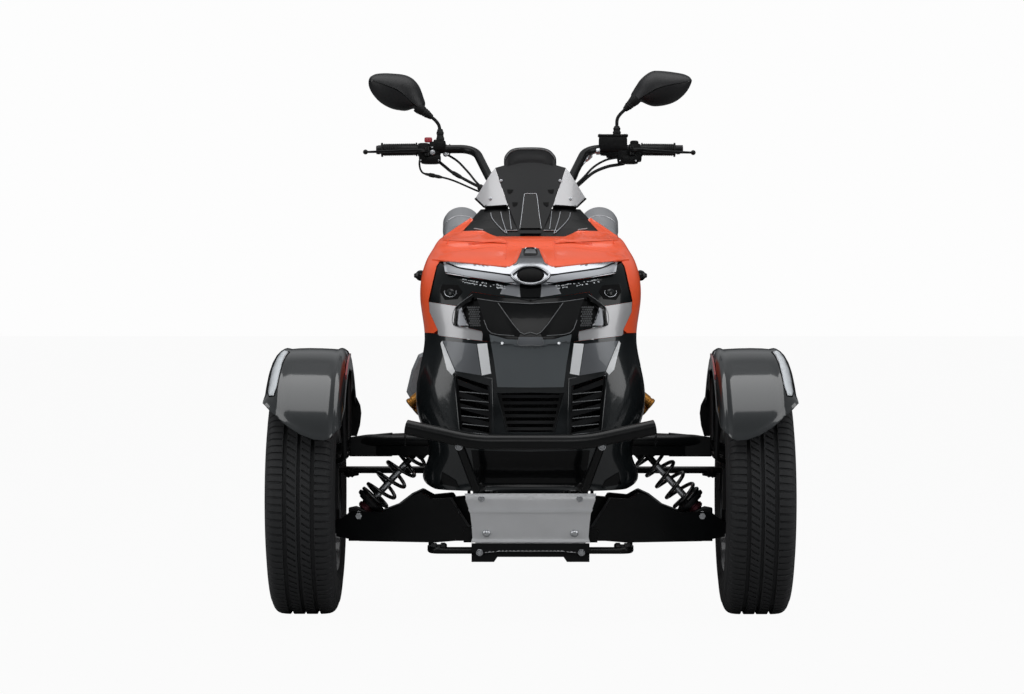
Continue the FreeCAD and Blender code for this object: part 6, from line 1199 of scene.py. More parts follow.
# %% Outlines of the mirrors
LEFT_MIRROR = [(368.4, 82.5), (369.0, 78.8), (371.2, 76.0), (376.2, 73.8), (385.0, 73.1), (393.8, 73.5),
               (401.2, 74.2), (407.5, 75.8), (413.1, 79.0), (418.1, 84.4), (421.2, 90.6), (423.5, 97.5),
               (425.2, 103.5), (423.5, 108.5), (418.5, 110.8), (413.8, 108.8), (411.2, 109.2), (407.5, 110.4),
               (403.8, 110.8), (398.8, 110.2), (392.5, 108.9), (386.2, 106.2), (380.0, 102.2), (375.0, 97.2),
               (371.2, 91.9), (369.0, 86.9)]
LEFT_CREASE = [(372.0, 81.0), (383.8, 85.0), (397.5, 90.4), (405.0, 96.2), (413.0, 104.5), (419.5, 108.0)]
RIGHT_MIRROR = [(691.9, 81.2), (691.2, 78.8), (688.8, 76.2), (683.8, 74.0), (676.2, 72.5), (666.2, 71.2),
                (656.2, 70.6), (651.2, 71.5), (645.6, 74.8), (640.0, 80.0), (636.2, 85.6), (633.1, 90.6),
                (631.0, 95.0), (632.0, 99.5), (636.5, 103.0), (641.2, 101.9), (646.2, 104.0), (651.9, 106.0),
                (657.5, 106.2), (665.0, 105.2), (672.5, 102.9), (678.8, 99.4), (685.0, 93.8), (689.4, 87.5)]
RIGHT_CREASE = [(689.0, 81.8), (677.5, 84.0), (663.8, 86.9), (655.0, 90.0), (642.5, 97.5), (636.5, 101.0)]
print("mirror outlines:", len(LEFT_MIRROR), "and", len(RIGHT_MIRROR), "places")

# %% [markdown]
# The front is ten rings that shrink towards the crease and come forward as they do.

# %% Shells of the mirrors
def nearest_on(line, point):
    """The place on a line of points that lies nearest to a point."""
    best = None
    for a, b in zip(line, line[1:]):
        way = b - a
        share = max(0.0, min(1.0, (point - a).dot(way) / way.length_squared))
        spot = a + way * share
        if best is None or (point - spot).length < (point - best).length:
            best = spot
    return best


MIRROR_DEEP = 0.040


def mirror_shell(outline_px, crease_px):
    """The shell's front, its rim and the glass behind, as two meshes."""
    rim = [bar_spot(x, y) for x, y in outline_px]
    smooth = spline(rim[-1:] + rim + rim[:2], 4)
    crease = [bar_spot(x, y) for x, y in crease_px]
    middle = sum(smooth, Vector()) / len(smooth)
    verts, count = [], len(smooth)
    rings = [(1.0, 0.0), (1.0, 0.10), (0.985, 0.20), (0.95, 0.31), (0.88, 0.44), (0.74, 0.62), (0.55, 0.78),
             (0.34, 0.90), (0.15, 0.975), (0.02, 1.0)]
    for share, rise in rings:
        for point in smooth:
            spot = nearest_on(crease, point)
            taper = 1.0 - 0.45 * min(1.0, (spot - middle).length / 0.085) ** 2
            place = spot + (point - spot) * share
            verts.append(place + Vector((0, 0.006 - MIRROR_DEEP * rise * taper, 0)))
    faces, start = strips(len(rings), count), len(verts)
    for share, back in ((0.93, 0.006), (0.90, 0.002)):
        for point in smooth:
            verts.append(middle + (point - middle) * share + Vector((0, back, 0)))
    for i in range(count):
        j = (i + 1) % count
        faces.append((i, j, start + j, start + i))
        faces.append((start + i, start + j, start + count + j, start + count + i))
    glass_verts = [middle + (p - middle) * 0.895 + Vector((0, 0.0025, 0)) for p in smooth]
    glass_verts += [middle + (p - middle) * 0.5 + Vector((0, 0.0032, 0)) for p in smooth]
    glass_faces = [(i, (i + 1) % count, count + (i + 1) % count, count + i) for i in range(count)]
    glass_faces.append(tuple(range(count, 2 * count)))
    return (verts, faces), (glass_verts, glass_faces)


print("mirrors stand out", round(MIRROR_DEEP * 1000), "mm")

# %% [markdown]
# A ribbed neck, a bent steel rod and a rubber collar carry each mirror above its switch housing.

# %% Mirror stems
def mirror_neck(start_px, shoulder_px, stem_px, collar_px):
    """The ribbed neck of the shell, the bent rod and the rubber collar on the housing."""
    neck_line = [bar_spot(x, y, 0.008) for x, y in (start_px, shoulder_px)]
    neck = tube_between(neck_line[0], neck_line[1], 0.01, 24,
                        [(0, 0.0145), (0.2, 0.0150), (0.45, 0.0125), (0.5, 0.0112), (0.55, 0.0122), (0.62, 0.0106),
                         (0.68, 0.0114), (0.76, 0.0096), (1.0, 0.0070)])
    rod = sweep(smooth_line([bar_spot(x, y, 0.008) for x, y in stem_px], 8), circle(0.0046, 14))
    rows = [(0, 0.0072), (0.18, 0.0085), (0.22, 0.0098), (0.36, 0.0100), (0.40, 0.0088), (0.56, 0.0094),
            (0.60, 0.0108), (0.76, 0.0112), (0.80, 0.0100), (1.0, 0.0122)]
    top, foot = (bar_spot(x, y, 0.008) for x, y in collar_px)
    return join(neck, rod, tube_between(top, foot, 0.01, 24, rows))


left_shell, left_glass = mirror_shell(LEFT_MIRROR, LEFT_CREASE)
right_shell, right_glass = mirror_shell(RIGHT_MIRROR, RIGHT_CREASE)
piece("mirror_shells", join(left_shell, right_shell), extra["mirror_shell"], "steering",
      ("mirrors",), angle=32)
piece("mirror_glass", join(left_glass, right_glass), extra["mirror"], "steering")
necks = join(mirror_neck((416.5, 106.5), (432.0, 117.5),
                         [(430.5, 116.2), (435.5, 120.6), (438.7, 125.0), (440.0, 130.5)],
                         ((440.0, 129.0), (440.4, 143.5))),
             mirror_neck((637.0, 98.0), (624.5, 110.0),
                         [(626.0, 108.6), (620.0, 114.5), (617.2, 119.5), (616.8, 127.0)],
                         ((616.8, 126.0), (616.8, 135.5))))
piece("mirror_stems", necks, paint["grip_rubber"], "steering")
print("mirrors made")

# %% [markdown]
# Hoses and cables run from the housings in loose curves to the steering column behind the screen. Both ends are
# held, so each is a tube along a smooth line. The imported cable, one on each side, is replaced by the set.

# %% Hoses
LEFT_LINES = [
    ([(419.6, 160.0, 0.00), (419.5, 165.0, 0.00), (421.0, 170.5, 0.005), (425.5, 174.0, 0.01), (442.0, 177.3, 0.03),
      (455.0, 181.2, 0.06), (479.0, 191.5, 0.15), (504.0, 200.0, 0.215), (521.5, 204.0, 0.225)], 0.0026),
    ([(440.0, 162.5, 0.00), (445.5, 167.0, 0.01), (451.5, 171.8, 0.03), (462.5, 178.2, 0.08), (482.0, 188.2, 0.15),
      (505.0, 198.0, 0.215), (521.5, 200.0, 0.225)], 0.0041),
    ([(445.5, 154.2, 0.015), (451.0, 156.8, 0.005), (458.5, 162.0, 0.02), (468.0, 172.0, 0.07), (481.5, 187.0, 0.15),
      (506.0, 201.5, 0.215), (521.5, 207.0, 0.225)], 0.0030)]
RIGHT_LINES = [
    ([(621.0, 157.6, 0.00), (613.5, 158.2, 0.01), (604.5, 160.6, 0.03), (593.0, 167.6, 0.08), (580.0, 181.0, 0.15),
      (557.5, 200.0, 0.215), (539.5, 204.0, 0.225)], 0.0030),
    ([(624.0, 163.6, 0.00), (617.5, 164.8, 0.01), (607.0, 166.8, 0.04), (593.0, 172.8, 0.09), (578.5, 185.0, 0.15),
      (558.0, 202.0, 0.215), (539.5, 207.0, 0.225)], 0.0043)]
STEEL_LINE = ([(598.0, 151.5, 0.026), (592.5, 152.0, 0.028), (591.0, 155.5, 0.026), (585.5, 160.8, 0.016),
               (579.0, 169.5, 0.04), (574.0, 181.0, 0.12), (558.0, 199.0, 0.215), (539.5, 200.0, 0.225)],
              0.0032)


def hose(line_px, radius):
    """A round hose along places at the bar, each of (column, row, how far before the bar)."""
    line = smooth_line([bar_spot(x, y, f) for x, y, f in line_px], 10)
    return sweep(line, circle(radius, 14), beside=(0, -1, 0))


boots = [tube_between(bar_spot(425.5, 174.0, 0.01), bar_spot(442.0, 177.4, 0.03), 0.005, 18,
                      [(0, 0.0036), (0.2, 0.0040), (0.25, 0.0056), (0.5, 0.0060), (0.55, 0.0048), (0.8, 0.0050),
                       (1, 0.0032)]),
         tube_between(bar_spot(452.5, 172.4, 0.035), bar_spot(461.0, 177.4, 0.07), 0.006, 18,
                      [(0, 0.0046), (0.2, 0.0058), (0.8, 0.0058), (1, 0.0046)]),
         tube_between(bar_spot(480.0, 187.3, 0.145), bar_spot(486.0, 190.8, 0.17), 0.009, 18)]
piece("control_hoses", join(*[hose(*line) for line in LEFT_LINES + RIGHT_LINES], *boots), paint["grip_rubber"],
      "steering", ("control_cables",), angle=60)
crimp = tube_between(bar_spot(591.5, 156.0, 0.024), bar_spot(583.6, 162.2, 0.008), 0.0045, 18,
                     [(0, 0.0046), (0.25, 0.0046), (0.28, 0.0052), (0.7, 0.0052), (0.74, 0.0042), (1, 0.0042)])
piece("steel_hose", join(hose(*STEEL_LINE), crimp), extra["edge_grey"], "steering", angle=60)
bar_seams = [tube_between(bar_spot(x, 149.5), bar_spot(x + 1.4, 149.5), 0.0150, 24)
             for x in (449.0, 610.5)]
piece("bar_clamp_rings", join(*bar_seams), paint["black_steel"], "steering")
print("hoses run")

# %% [markdown]
# ## Screen
# The screen is a thin black sheet with four slots of painted shade and a raised duct down its middle, edged in
# painted highlight.
# The wings beside it are pale grey, a painted reflection, edged in black, and stand on two brackets over the dash.

# %% Screen and wings
screen_skin, wing_skin = sight_tree("windscreen"), sight_tree("screen_wings", "windscreen")
SLOT_HIGH = [(23.6, 189.4, 1.2), (17.2, 189.6, 1.2), (18.4, 192.2, 1.2), (20.6, 193.6, 1.2), (23.0, 193.2, 1.2)]
SLOT_LOW = [(18.4, 202.2, 1.2), (12.6, 202.4, 1.2), (13.6, 205.0, 1.2), (15.8, 206.4, 1.2), (18.0, 206.0, 1.2)]
DUCT = [(5.4, 193.9, 3.4), (0, 193.9, 3.4), (0, 228.0, 5.0), (10.6, 228.0, 5.0), (8.6, 212.0, 4.2), (6.6, 196.6, 3.6)]
DUCT_EDGE_HIGHLIGHT = [(0, 193.6, 4.2), (4.6, 193.6), (6.4, 195.8), (8.4, 212), (10.7, 228.4)]
WING_EDGE = [(55.2, 198.6, 1.0), (46.4, 207.0), (24.2, 205.6)]
# The dark slots are painted shade, and the pale lines on the duct's edges are painted highlights.
piece("screen_slot_shades", join(facet(SLOT_HIGH, skin=screen_skin), facet(SLOT_LOW, skin=screen_skin)), extra["dark"])
piece("screen_duct", facet(DUCT, skin=screen_skin), paint["black_gloss"])
piece("duct_edge_highlights", skin_line(DUCT_EDGE_HIGHLIGHT, 0.7, 4, screen_skin), extra["edge_grey"], angle=60)
piece("wing_edges", skin_line(WING_EDGE, 2.6, 1, wing_skin), extra["dark"], angle=60)
bracket = plate([(-0.030, -0.010), (0.032, -0.010), (0.028, 0.010), (-0.030, 0.010)], 0.012, (0.0865, -0.664, 1.0165))
piece("wing_brackets", pair(bracket), extra["dark"], bevel=0.001)
screws = [bolt_head(on_skin(MIDDLE_PX + s * x, y, 0.4, wing_skin), (0, -0.86, 0.5), 0.0042, "round")
          for s in (-1, 1) for x, y in ((29.5, 181.0), (40.0, 199.0))]
piece("wing_screws", join(*screws), extra["edge_grey"])
print("screen dressed")

# %% [markdown]
# Behind the louvred openings and the grille lie thin black sheets, painted shade. The slats have a grey lip along
# their upper edge, a painted highlight, and the small plates beside the lamps carry a pressed mesh.

# %% Ducts, slats and mesh
# Thin black sheets close the openings from behind: painted shade.
side_shade_sheet = rounded_box((0.092, 0.004, 0.205), (-0.144, -0.962, 0.4975), 0.001)
middle_shade_sheet = rounded_box((0.184, 0.004, 0.165), (0.0, -0.966, 0.4925), 0.001)
piece("opening_shade_sheets", join(pair(side_shade_sheet), middle_shade_sheet), extra["dark"])
grille_skin = sight_tree("grille")
# A grey bead on each slat's upper edge is a painted highlight.
slat_highlights = []
for row in range(7):
    y = 383.5 + row * 8.1
    slat_highlights.append(skin_line([(71.5 - row * 0.7, y, 1.2), (42.0, y + 2.6)], 1.1, 2, grille_skin))
piece("slat_lip_highlights", join(*slat_highlights), extra["rim_line"], angle=60)
mesh_skin = sight_tree("headlamps", "lamp_panels", "beak", "nose_panel")
dots = []
for row in range(9):
    for column in range(6):
        x = 51.6 + column * 2.2 + (row % 2) * 1.1 - row * 0.12
        spot = on_skin(MIDDLE_PX + x, 307.4 + row * 2.25, 0.2, mesh_skin)
        if x < 62.8 - row * 0.3:
            dots.append(lathe([(0.0022, -0.001), (0.0022, 0.0009), (0.0012, 0.0012), (0.0012, -0.001)], spot,
                              (0, -1, 0.1), 6))
piece("mesh_plates", pair(join(*dots)), extra["rim_line"])
print("mesh dots:", len(dots))

# %% [markdown]
# ## Bumper and skid plate
# The bumper is bent tube with pressed-in end plugs and two bolts. The skid plate is a pressed sheet with raised
# domes, screwed to a black lower bar.

# %% Bumper, plate and lower bar
plate_skin, bar_skin = sight_tree("skid_plate"), sight_tree("skid_plate", "front_subframe")
PLATE_FACE = [(66.0, 493.5, 3), (0, 493.5, 3), (0, 542.0, 3), (59.4, 542.0, 3), (57.6, 536.0, 3), (60.4, 513.0, 3)]
PLATE_RIB = [(62.5, 509.5, 6), (0, 509.5, 6), (0, 512.6, 6), (60.8, 512.6, 6)]
LOWER_BAR = [(59.0, 543.2, 3), (0, 543.2, 3), (0, 557.0, 3), (33.0, 557.0, 3), (36.5, 562.0, 3), (59.0, 562.0, 3)]
# Pale silver paint, hardly metallic, so it stays light even where it faces a dark part of the room. It is paler than
# the
# real plate: partly painted light, standing in for the front light that is weak low down.
extra["plate_paint"] = finish("plate_silver_painted_light", "dcdddf", metallic=0.15, roughness=0.45, grain_mm=0.9, grain=0.03)
repaint("skid_plate", lambda c: True, extra["plate_paint"])
piece("skid_plate_face", facet(PLATE_FACE, skin=plate_skin), extra["plate_paint"])
piece("skid_plate_rib", facet(PLATE_RIB, skin=plate_skin), extra["plate_paint"])
piece("lower_bar", facet(LOWER_BAR, skin=bar_skin), paint["black_steel"])
domes, bolts = [], []
for s in (-1, 1):
    spot = on_skin(MIDDLE_PX + s * 44.0, 533.0, 2.5, plate_skin)
    domes.append(lathe([(0.0105, 0), (0.0100, 0.003), (0.0080, 0.007), (0.0045, 0.0088), (0, 0.0092)], spot,
                       (0, -1, 0), 28))
    bolts.append(bolt_head(on_skin(MIDDLE_PX + s * 49.2, 499.0, 3.0, plate_skin), (0, -1, 0), 0.0062))
    bolts.append(bolt_head(on_skin(MIDDLE_PX + s * 51.0, 552.5, 3.0, bar_skin), (0, -1, 0), 0.0066))
piece("skid_plate_domes", join(*domes), extra["zinc"])
piece("skid_plate_bolts", join(*bolts), extra["zinc"])
bumper_skin = sight_tree("bumper")
bumper_bolts, plugs = [], []
for s in (-1, 1):
    bumper_bolts.append(bolt_head(on_skin(MIDDLE_PX + s * 71.6, 446.5, 0.2, bumper_skin), (0, -1, 0), 0.0075))
    plugs.append(lathe([(0.0165, 0), (0.0165, 0.002), (0.012, 0.004), (0, 0.0046)], (s * 0.3015, -1.064, 0.448),
                       (s, 0, 0), 32))
piece("bumper_bolts", join(*bumper_bolts), extra["zinc"])
piece("bumper_plugs", join(*plugs), paint["black_plastic"])
print("bumper and skid plate")

# %% [markdown]
# ## Coil-over shocks
# A coil-over has a body in the middle of the coil, a bright rod below, an adjuster collar and the coil, wound with
# closed end turns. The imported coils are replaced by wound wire. The shocks lean inward at 48 degrees.

# %% Coils and shock bodies
TURN_STEPS = 26


def coil(foot, top, radius, wire, turns):
    """A compression spring with a closed turn at either end."""
    foot, top = Vector(foot), Vector(top)
    right, up, way = frame_along(top - foot)
    length = (top - foot).length
    line = []
    for i in range(int((turns + 2) * TURN_STEPS) + 1):
        turned = i / TURN_STEPS
        free = max(0.0, min(turns, turned - 1.0))
        closed = min(1.0, turned) + max(0.0, turned - turns - 1)
        rise = wire * 0.9 * closed + (length - 3.0 * wire) * free / turns
        angle = math.tau * turned
        line.append(foot + way * (wire / 2 + rise) + (right * math.cos(angle) + up * math.sin(angle)) * radius)
    return sweep(line, circle(wire / 2, 10))


SHOCK_LEAN = math.radians(48)
coils, collars, rods, caps = [], [], [], []
for s in (-1, 1):
    low = Vector((s * 0.428, FRONT_Y, 0.247))
    way = Vector((-s * math.cos(SHOCK_LEAN), 0, math.sin(SHOCK_LEAN)))
    coils.append(coil(low + way * 0.050, low + way * 0.318, 0.0360, 0.0095, 6.5))
    collars.append(lathe([(0.0, 0), (0.017, 0), (0.021, 0.004), (0.021, 0.011), (0.018, 0.013), (0.018, 0.016),
                          (0.021, 0.018), (0.021, 0.026), (0.0, 0.026)],
                         low + way * 0.017, way, 36))
    caps.append(lathe([(0.020, 0), (0.040, 0), (0.042, 0.003), (0.042, 0.009), (0.039, 0.012), (0.020, 0.012)],
                      low + way * 0.319, way, 40))
    caps.append(lathe([(0.017, 0), (0.039, 0), (0.041, 0.003), (0.041, 0.009), (0.030, 0.013), (0.020, 0.020),
                       (0.017, 0.020)],
                      low + way * 0.040, way, 40))
    rods.append(lathe([(0.0, 0), (0.0085, 0), (0.0085, 0.12), (0.0, 0.12)], low + way * 0.050, way, 24))
    caps.append(lathe([(0.0, 0), (0.0255, 0), (0.0255, 0.13), (0.0, 0.13)], low + way * 0.205, way, 32))
rear_low, rear_high = Vector((0, 0.478, 0.385)), Vector((0, 0.350, 0.610))
rear_way = (rear_high - rear_low).normalized()
coils.append(coil(rear_low + rear_way * 0.046, rear_low + rear_way * 0.208, 0.0275, 0.011, 5.0))
piece("spring_coils", join(*coils), paint["spring_black"], "chassis", ("springs",), angle=60)
# Dark red anodised rings give the springs' feet their only colour.
extra["collar_red"] = finish("adjuster_dark_red", "5a2a33", metallic=0.6, roughness=0.35, grain_mm=0.8, grain=0.02)
piece("adjuster_collars", join(*collars), extra["collar_red"])
piece("shock_bodies", join(*caps), paint["cast_black"])
piece("shock_rods", join(*rods), extra["zinc"])
eye_bolts = [bolt_head((s * 0.428, FRONT_Y - 0.0315, 0.247), (0, -1, 0), 0.0095) for s in (-1, 1)]
piece("shock_eye_bolts", join(*eye_bolts), extra["zinc"])
print("shocks and coils")

# %% [markdown]
# The upper arms are boxed where they reach the upright, and rubber boots keep dirt out of the tie rod ends. The
# remote reservoirs are bronze bottles with black end caps.

# %% Arms, boots, bottles and links
arm_parts, boots, ends = [], [], []
for s in (-1, 1):
    upper = [(349.5, 437.5), (362, 435.8), (392, 433.0), (392, 456.5), (349.5, 456.5)]
    lower = [(348.5, 508.0), (356, 506.5), (366, 510.5), (386, 514.0), (386, 541.0), (348.5, 541.0)]
    gusset = [(455.0, 497.0), (473.0, 495.5), (473.0, 541.0), (455.0, 541.0)]
    for outline, deep in ((upper, 0.030), (lower, 0.026), (gusset, 0.030)):
        spots = [at_depth(x, y, -0.846) for x, y in outline]
        arm_parts.append(plate([(-s * p.x, p.z) for p in spots], deep, (0, -0.846 + deep, 0), edge=0.002))
    for x, way in ((0.472, s), (0.040, -s)):
        boots.append(lathe([(0.0065, 0), (0.011, 0.004), (0.0135, 0.010), (0.0105, 0.014), (0.0125, 0.020),
                            (0.009, 0.024), (0.0075, 0.034), (0.0062, 0.036)],
                           (s * x, -0.71, 0.346), (-way, 0, 0), 24))
    for (x0, y0), (x1, y1), deep in (((409.0, 405.0), (436.0, 383.5), -0.842),
                                     ((414.5, 411.5), (441.0, 390.0), -0.815)):
        foot, top = at_depth(x0, y0, deep), at_depth(x1, y1, deep)
        foot.x, top.x = -s * foot.x, -s * top.x
        ends.append(tube_between(foot, top, 0.0145, 32,
                                 [(0, 0.0125), (0.03, 0.0145), (0.10, 0.0145), (0.11, 0.0130), (0.17, 0.0130),
                                  (0.18, 0.0145), (0.60, 0.0145), (0.61, 0.0132), (0.64, 0.0132), (0.65, 0.0145),
                                  (0.97, 0.0145), (1.0, 0.0125)]))
links = []
for s in (-1, 1):
    start, end = at_depth(447.0, 547.0, -0.932), at_depth(427.5, 547.0, -0.932)
    start.x, end.x = -s * start.x, -s * end.x
    links.append(tube_between(start, end, 0.008, 20,
                              [(0, 0.0075), (0.10, 0.011), (0.30, 0.011), (0.34, 0.007), (0.50, 0.007),
                               (0.54, 0.0105), (0.80, 0.0105), (0.86, 0.006), (1.0, 0.0045)]))
piece("stabilizer_ends", join(*links), paint["cast_black"])
piece("arm_boxes", join(*arm_parts), paint["black_steel"], bevel=0.0015)
for label, sign in SIDES:
    own = [boot for boot in boots if boot[0][0].x * sign > 0]
    piece(f"tie_rod_boots_{label}", join(*own), paint["grip_rubber"], f"tie_rod_{label}")
piece("reservoir_bottles", join(*ends), paint["gold"], "chassis", ("shock_reservoirs",))
print("arms and reservoirs")

# %% [markdown]
# ## Seat
# Foam under a stitched cover. Each pad starts as a stuffed bag: a soft closed shape with the pad's outline is blown
# up a little by the cloth solver, so that the top crowns and the corners pull in, then stops on one frame and becomes
# a plain mesh. The seams follow after that.

# %% A pad from cloth
PAD_VOXEL, PAD_CAP, SIM_FRAMES = 0.0060, 0.004, 20


def pad_bag(name, low, high, crown, corner, dish, taper):
    size = [b - a for a, b in zip(low, high)]
    middle = [(a + b) / 2 for a, b in zip(low, high)]
    verts, faces = rounded_box([size[0], size[1], size[2] - crown], (0, 0, -crown / 2), corner)
    shaped = []
    for v in verts:
        along, upper = v.y / (size[1] / 2), v.z > 0
        v.x *= 1 - taper * max(0.0, -along) ** 1.5
        if upper:
            v.z += crown * (1 - (v.x / (size[0] / 2)) ** 2) * (1 - 0.5 * along * along)
            v.z -= dish * (1 - along * along)
        shaped.append(v + Vector(middle))
    item = flat_mesh(name, shaped, faces)
    voxel = item.modifiers.new("even", "REMESH")
    voxel.mode, voxel.voxel_size = "VOXEL", PAD_VOXEL
    bpy.context.view_layer.objects.active = item
    bpy.ops.object.modifier_apply(modifier="even")
    cloth = item.modifiers.new("cover", "CLOTH")
    cloth.settings.use_pressure = True
    cloth.settings.uniform_pressure_force = 4.0
    cloth.settings.effector_weights.gravity = 0.0
    cloth.settings.quality = 6
    cloth.settings.tension_stiffness = cloth.settings.compression_stiffness = 60
    cloth.settings.bending_stiffness = 3.0
    cloth.point_cache.frame_start, cloth.point_cache.frame_end = 1, SIM_FRAMES
    for number in range(1, SIM_FRAMES + 1):
        scene.frame_set(number)
    bpy.ops.object.modifier_apply(modifier="cover")
    scene.frame_set(1)
    for vert in item.data.vertices:
        for axis in range(3):
            vert.co[axis] = max(low[axis] - PAD_CAP, min(high[axis] + PAD_CAP, vert.co[axis]))
    smooth = item.modifiers.new("soft", "SMOOTH")
    smooth.factor, smooth.iterations = 0.6, 6
    bpy.ops.object.modifier_apply(modifier="soft")
    print(name, "cover:", len(item.data.polygons), "faces")
    return item


print("cloth frames:", SIM_FRAMES)

# %% [markdown]
# A seam is a rounded outline seen from above, dropped onto the cover.

# %% Seams from above
def seam_line(low, high, inset):
    """Places of a seam round a pad, seen from above."""
    wide, long = (high[0] - low[0]) / 2 - inset, (high[1] - low[1]) / 2 - inset
    middle = ((low[0] + high[0]) / 2, (low[1] + high[1]) / 2)
    places = []
    for i in range(73):
        angle = math.tau * i / 72
        c, s = math.cos(angle), math.sin(angle)
        places.append((middle[0] + wide * math.copysign(abs(c) ** 0.45, c),
                       middle[1] + long * math.copysign(abs(s) ** 0.45, s)))
    return places


def from_above(tree, places, lift=0.0):
    """Where lines from above meet a skin, a little over or under it."""
    hits = [tree.ray_cast(Vector((x, y, 2.0)), Vector((0, 0, -1)))[0] for x, y in places]
    return [hit + Vector((0, 0, lift)) for hit in hits if hit is not None]


print("places of a seam:", len(seam_line((-1, -1), (1, 1), 0.1)))

# %% [markdown]
# The rider's pad is dished and narrows towards the tank; the passenger's is flatter. The seams are laid on the
# blown cover.

# %% Two pads and their seams
# Low corner, high corner, crown, rounding and dish in metres, and how much of the width is lost towards the front.
PADS = {
    "rider_pad": ((-0.166, 0.018, 0.655), (0.166, 0.418, 0.742), 0.020, 0.034, 0.012, 0.22),
    "pillion_pad": ((-0.130, 0.424, 0.795), (0.130, 0.750, 0.868), 0.018, 0.030, 0.004, 0.0),
}
stitches, pads = [], []
for name, (low, high, crown, corner, dish, taper) in PADS.items():
    pad = pad_bag(name, low, high, crown, corner, dish, taper)
    finer = pad.modifiers.new("finer", "SUBSURF")
    finer.levels = finer.render_levels = 1
    bpy.context.view_layer.objects.active = pad
    bpy.ops.object.modifier_apply(modifier="finer")
    pad.data.shade_smooth()
    pad.data.materials.append(paint["seat_leather"])
    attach(pad, "chassis")
    pads.append(pad)
    cover = BVHTree.FromPolygons([v.co.copy() for v in pad.data.vertices],
                                 [list(p.vertices) for p in pad.data.polygons])
    for inset in (0.034, 0.040):
        ring = from_above(cover, seam_line(low, high, inset), -0.0004)
        stitches.append(sweep(ring, circle(0.0011 if inset > 0.036 else 0.0018, 8), beside=(0, 0, 1)))
    for share in (0.30, 0.62):
        y = low[1] + (high[1] - low[1]) * share
        wide = (high[0] - low[0]) / 2 - 0.044
        cross = from_above(cover, [(wide * t / 12, y + 0.012 * abs(t / 12)) for t in range(-12, 13)], -0.0002)
        stitches.append(sweep(cross, circle(0.0015, 8), beside=(0, 0, 1)))
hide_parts("seat")
piece("seat_seams", join(*stitches), extra["thread"], angle=70)
print("pads and seams")

# %% [markdown]
# ## Instrument hood
# Behind the screen stands the hood of the instrument: a rounded cover with a grey bead along its upper edge, a
# painted highlight, and a flat glass that faces the rider.

# %% Hood, glass and piping
HOOD = [(505.5, 205.0), (504.6, 180.0), (504.0, 166.0), (504.2, 158.0), (506.5, 153.5), (510.5, 149.8),
        (516.0, 147.9), (524.0, 147.3), (536.0, 147.3), (543.5, 147.9), (549.5, 150.0), (553.5, 153.8),
        (556.0, 158.0), (556.3, 166.0), (555.6, 180.0), (554.5, 205.0)]
HOOD_MIDDLE = (530.2, 190.0)
hood_rows = []
smooth_hood = smooth_line([(x, y, 0) for x, y in HOOD], 4)
for depth, share in ((-0.622, 0.0), (-0.622, 0.70), (-0.621, 0.93), (-0.616, 0.98), (-0.606, 1.0), (-0.520, 1.0),
                     (-0.490, 0.97), (-0.460, 0.92), (-0.456, 0.88), (-0.470, 0.84), (-0.486, 0.80), (-0.486, 0.0)):
    hood_rows.append([at_depth(HOOD_MIDDLE[0] + (p.x - HOOD_MIDDLE[0]) * share,
                               HOOD_MIDDLE[1] + (p.y - HOOD_MIDDLE[1]) * share, depth) for p in smooth_hood])
hood_verts = [p for row in hood_rows for p in row]
hood_faces = strips(len(hood_rows), len(smooth_hood), closed=False)
piece("instrument_hood", (hood_verts, hood_faces), extra["mirror_shell"], "chassis", ("instrument",),
      60)
glass = [(-0.052, -0.062), (0.052, -0.062), (0.058, -0.02), (0.052, 0.030), (0.030, 0.046), (-0.030, 0.046),
         (-0.052, 0.030), (-0.058, -0.02)]
piece("instrument_glass", plate(glass, 0.004, (0, -0.487, 1.108), (-1, 0, 0), (0, 0, 1), 0.001), extra["blue_lcd"])
foot = rounded_box((0.060, 0.050, 0.040), (0, -0.545, 1.034), 0.008)
piece("instrument_foot", foot, paint["black_plastic"])
# The grey bead along the hood's upper edge is a painted highlight.
piping_highlight = [at_depth(HOOD_MIDDLE[0] + (p.x - HOOD_MIDDLE[0]) * 0.955, HOOD_MIDDLE[1] + (p.y - HOOD_MIDDLE[1]) * 0.965,
                   -0.6215)
          for p in smooth_hood[12:-12]]
piece("hood_piping_highlight", sweep(piping_highlight, circle(0.0014, 8), beside=(0, -1, 0)), extra["rim_line"], angle=70)
print("instrument hood")

# %% [markdown]
# ## Tank cover, tail and exhaust
# The tank cover has a filler cap with a key slot and a parting line down each side. Each silencer has a black end
# cap with an inner tube, a dark disc of painted shade deep in its mouth, and two straps.

# %% Tank cover and silencers
tank_skin = sight_tree("tank_cover")
tank_top = from_above(tank_skin, [(0.0, -0.225)])[0]
cap = lathe([(0.046, -0.004), (0.046, 0.002), (0.043, 0.004), (0.036, 0.0045), (0.035, 0.002), (0.033, 0.002),
             (0.032, 0.0055), (0.026, 0.0075), (0, 0.008)], tank_top, (0, 0, 1), 56)
piece("filler_cap", cap, paint["silver_plate"])
cap_bolts = [bolt_head(tank_top + Vector((math.cos(a) * 0.0395, math.sin(a) * 0.0395, 0.003)), (0, 0, 1), 0.0028,
                       "round")
             for a in [math.tau * i / 6 for i in range(6)]]
piece("filler_cap_bolts", join(*cap_bolts), extra["zinc"])
key = plate([(-0.011, -0.006), (0.011, -0.006), (0.011, 0.006), (-0.011, 0.006)], 0.0015,
            tank_top + Vector((0, 0, 0.0078)), (1, 0, 0), (0, 1, 0))
piece("filler_key_cover", key, extra["dark"])
tank_seams = []
for x in (-0.085, 0.085):
    line = from_above(tank_skin, [(x * (1 - 0.35 * (t / 20) ** 2), -0.405 + 0.40 * t / 20) for t in range(21)],
                      -0.0006)
    tank_seams.append(sweep(line, circle(0.0018, 8), beside=(0, 0, 1)))
piece("tank_seams", join(*tank_seams), extra["dark"], angle=70)

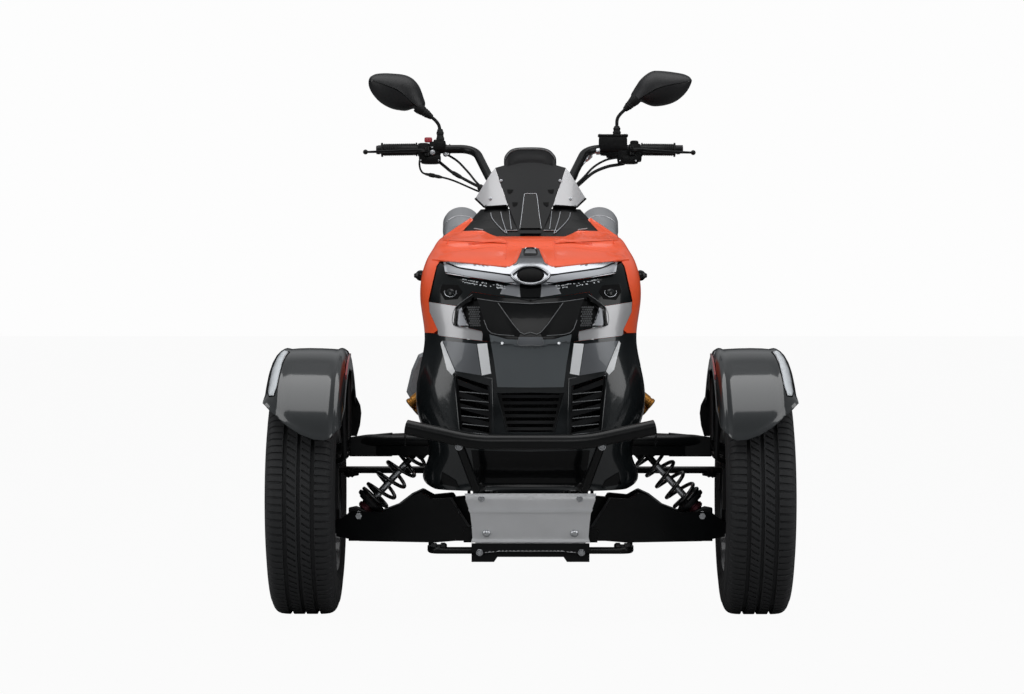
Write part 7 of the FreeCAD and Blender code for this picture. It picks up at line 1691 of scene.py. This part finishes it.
silencer_parts, mouth_shades, clamps = [], [], []
tip_way = Vector((0, math.cos(math.radians(32)), math.sin(math.radians(32))))
for s in (-1, 1):
    tip = Vector((s * 0.213, 1.005, 1.014))
    silencer_parts.append(lathe([(0.0565, -0.050), (0.0585, -0.048), (0.0588, -0.004), (0.0570, 0.003),
                                 (0.050, 0.006), (0.040, 0.004), (0.036, -0.004), (0.034, -0.030)],
                                tip, tip_way, 56))
    # A dark disc deep in each mouth is painted shade.
    mouth_shades.append(lathe([(0.034, -0.030), (0, -0.031)], tip, tip_way, 40))
    for back in (0.12, 0.30):
        clamps.append(lathe([(0.0565, -0.011), (0.0590, -0.010), (0.0595, 0.010), (0.0565, 0.011)],
                            tip - tip_way * back, tip_way, 56))
piece("silencer_caps", join(*silencer_parts), paint["silencer_steel"])
piece("silencer_mouth_shades", join(*mouth_shades), extra["dark"])
piece("silencer_straps", join(*clamps), extra["zinc"])
print("tank cover and silencers")

# %% [markdown]
# Each rib of the tail lens is half a wave, as in a pressed prism lens. Screws and bolts finish the covers.

# %% Tail lamp, reflector and bolts
LENS_HALF, lens_verts, columns = 0.0765, [], 42
for i in range(columns + 1):
    x = -LENS_HALF + 2 * LENS_HALF * i / columns
    wave = 0.0012 * abs(math.sin(math.pi * i / 3))
    round_off = 0.010 * abs(x / LENS_HALF) ** 6
    for z in (0.7565, 0.760, 0.786, 0.7895):
        rim = 0.0 if z in (0.7565, 0.7895) else 0.003
        lens_verts.append((x, 1.1885 + rim + (wave if rim else 0) - round_off, z))
piece("tail_lens", (lens_verts, strips(columns + 1, 4, closed=False)), paint["red_lens"], "chassis")
plate_bolts = [bolt_head((x, 1.1345, 0.609), (0, 1, 0), 0.0075, "round") for x in (-0.073, 0.073)]
piece("plate_holder_bolts", join(*plate_bolts), extra["zinc"])
reflector = lathe([(0.026, 0), (0.0265, 0.004), (0.024, 0.0055), (0, 0.006)], (0, 1.1335, 0.575), (0, 1, 0), 40)
piece("rear_reflector", reflector, paint["red_lens"])
lamp_lens = [lathe([(0, -0.004), (0.0125, -0.003), (0.0140, 0.0), (0.0125, 0.003), (0, 0.004)],
                   (s * 0.284, -0.557, 0.847), (0, -1, 0), 28) for s in (-1, 1)]
piece("indicator_lenses", join(*lamp_lens), paint["amber_lens"], angle=60)
engine_bolts = []
for s in (-1, 1):
    for y, z in ((-0.165, 0.270), (-0.165, 0.420), (-0.02, 0.255), (-0.02, 0.435), (0.12, 0.270), (0.12, 0.420),
                 (0.19, 0.345)):
        engine_bolts.append(bolt_head((s * 0.1282, y, z), (s, 0, 0), 0.0062))
piece("engine_bolts", join(*engine_bolts), extra["zinc"])
print("engine bolts:", len(engine_bolts))
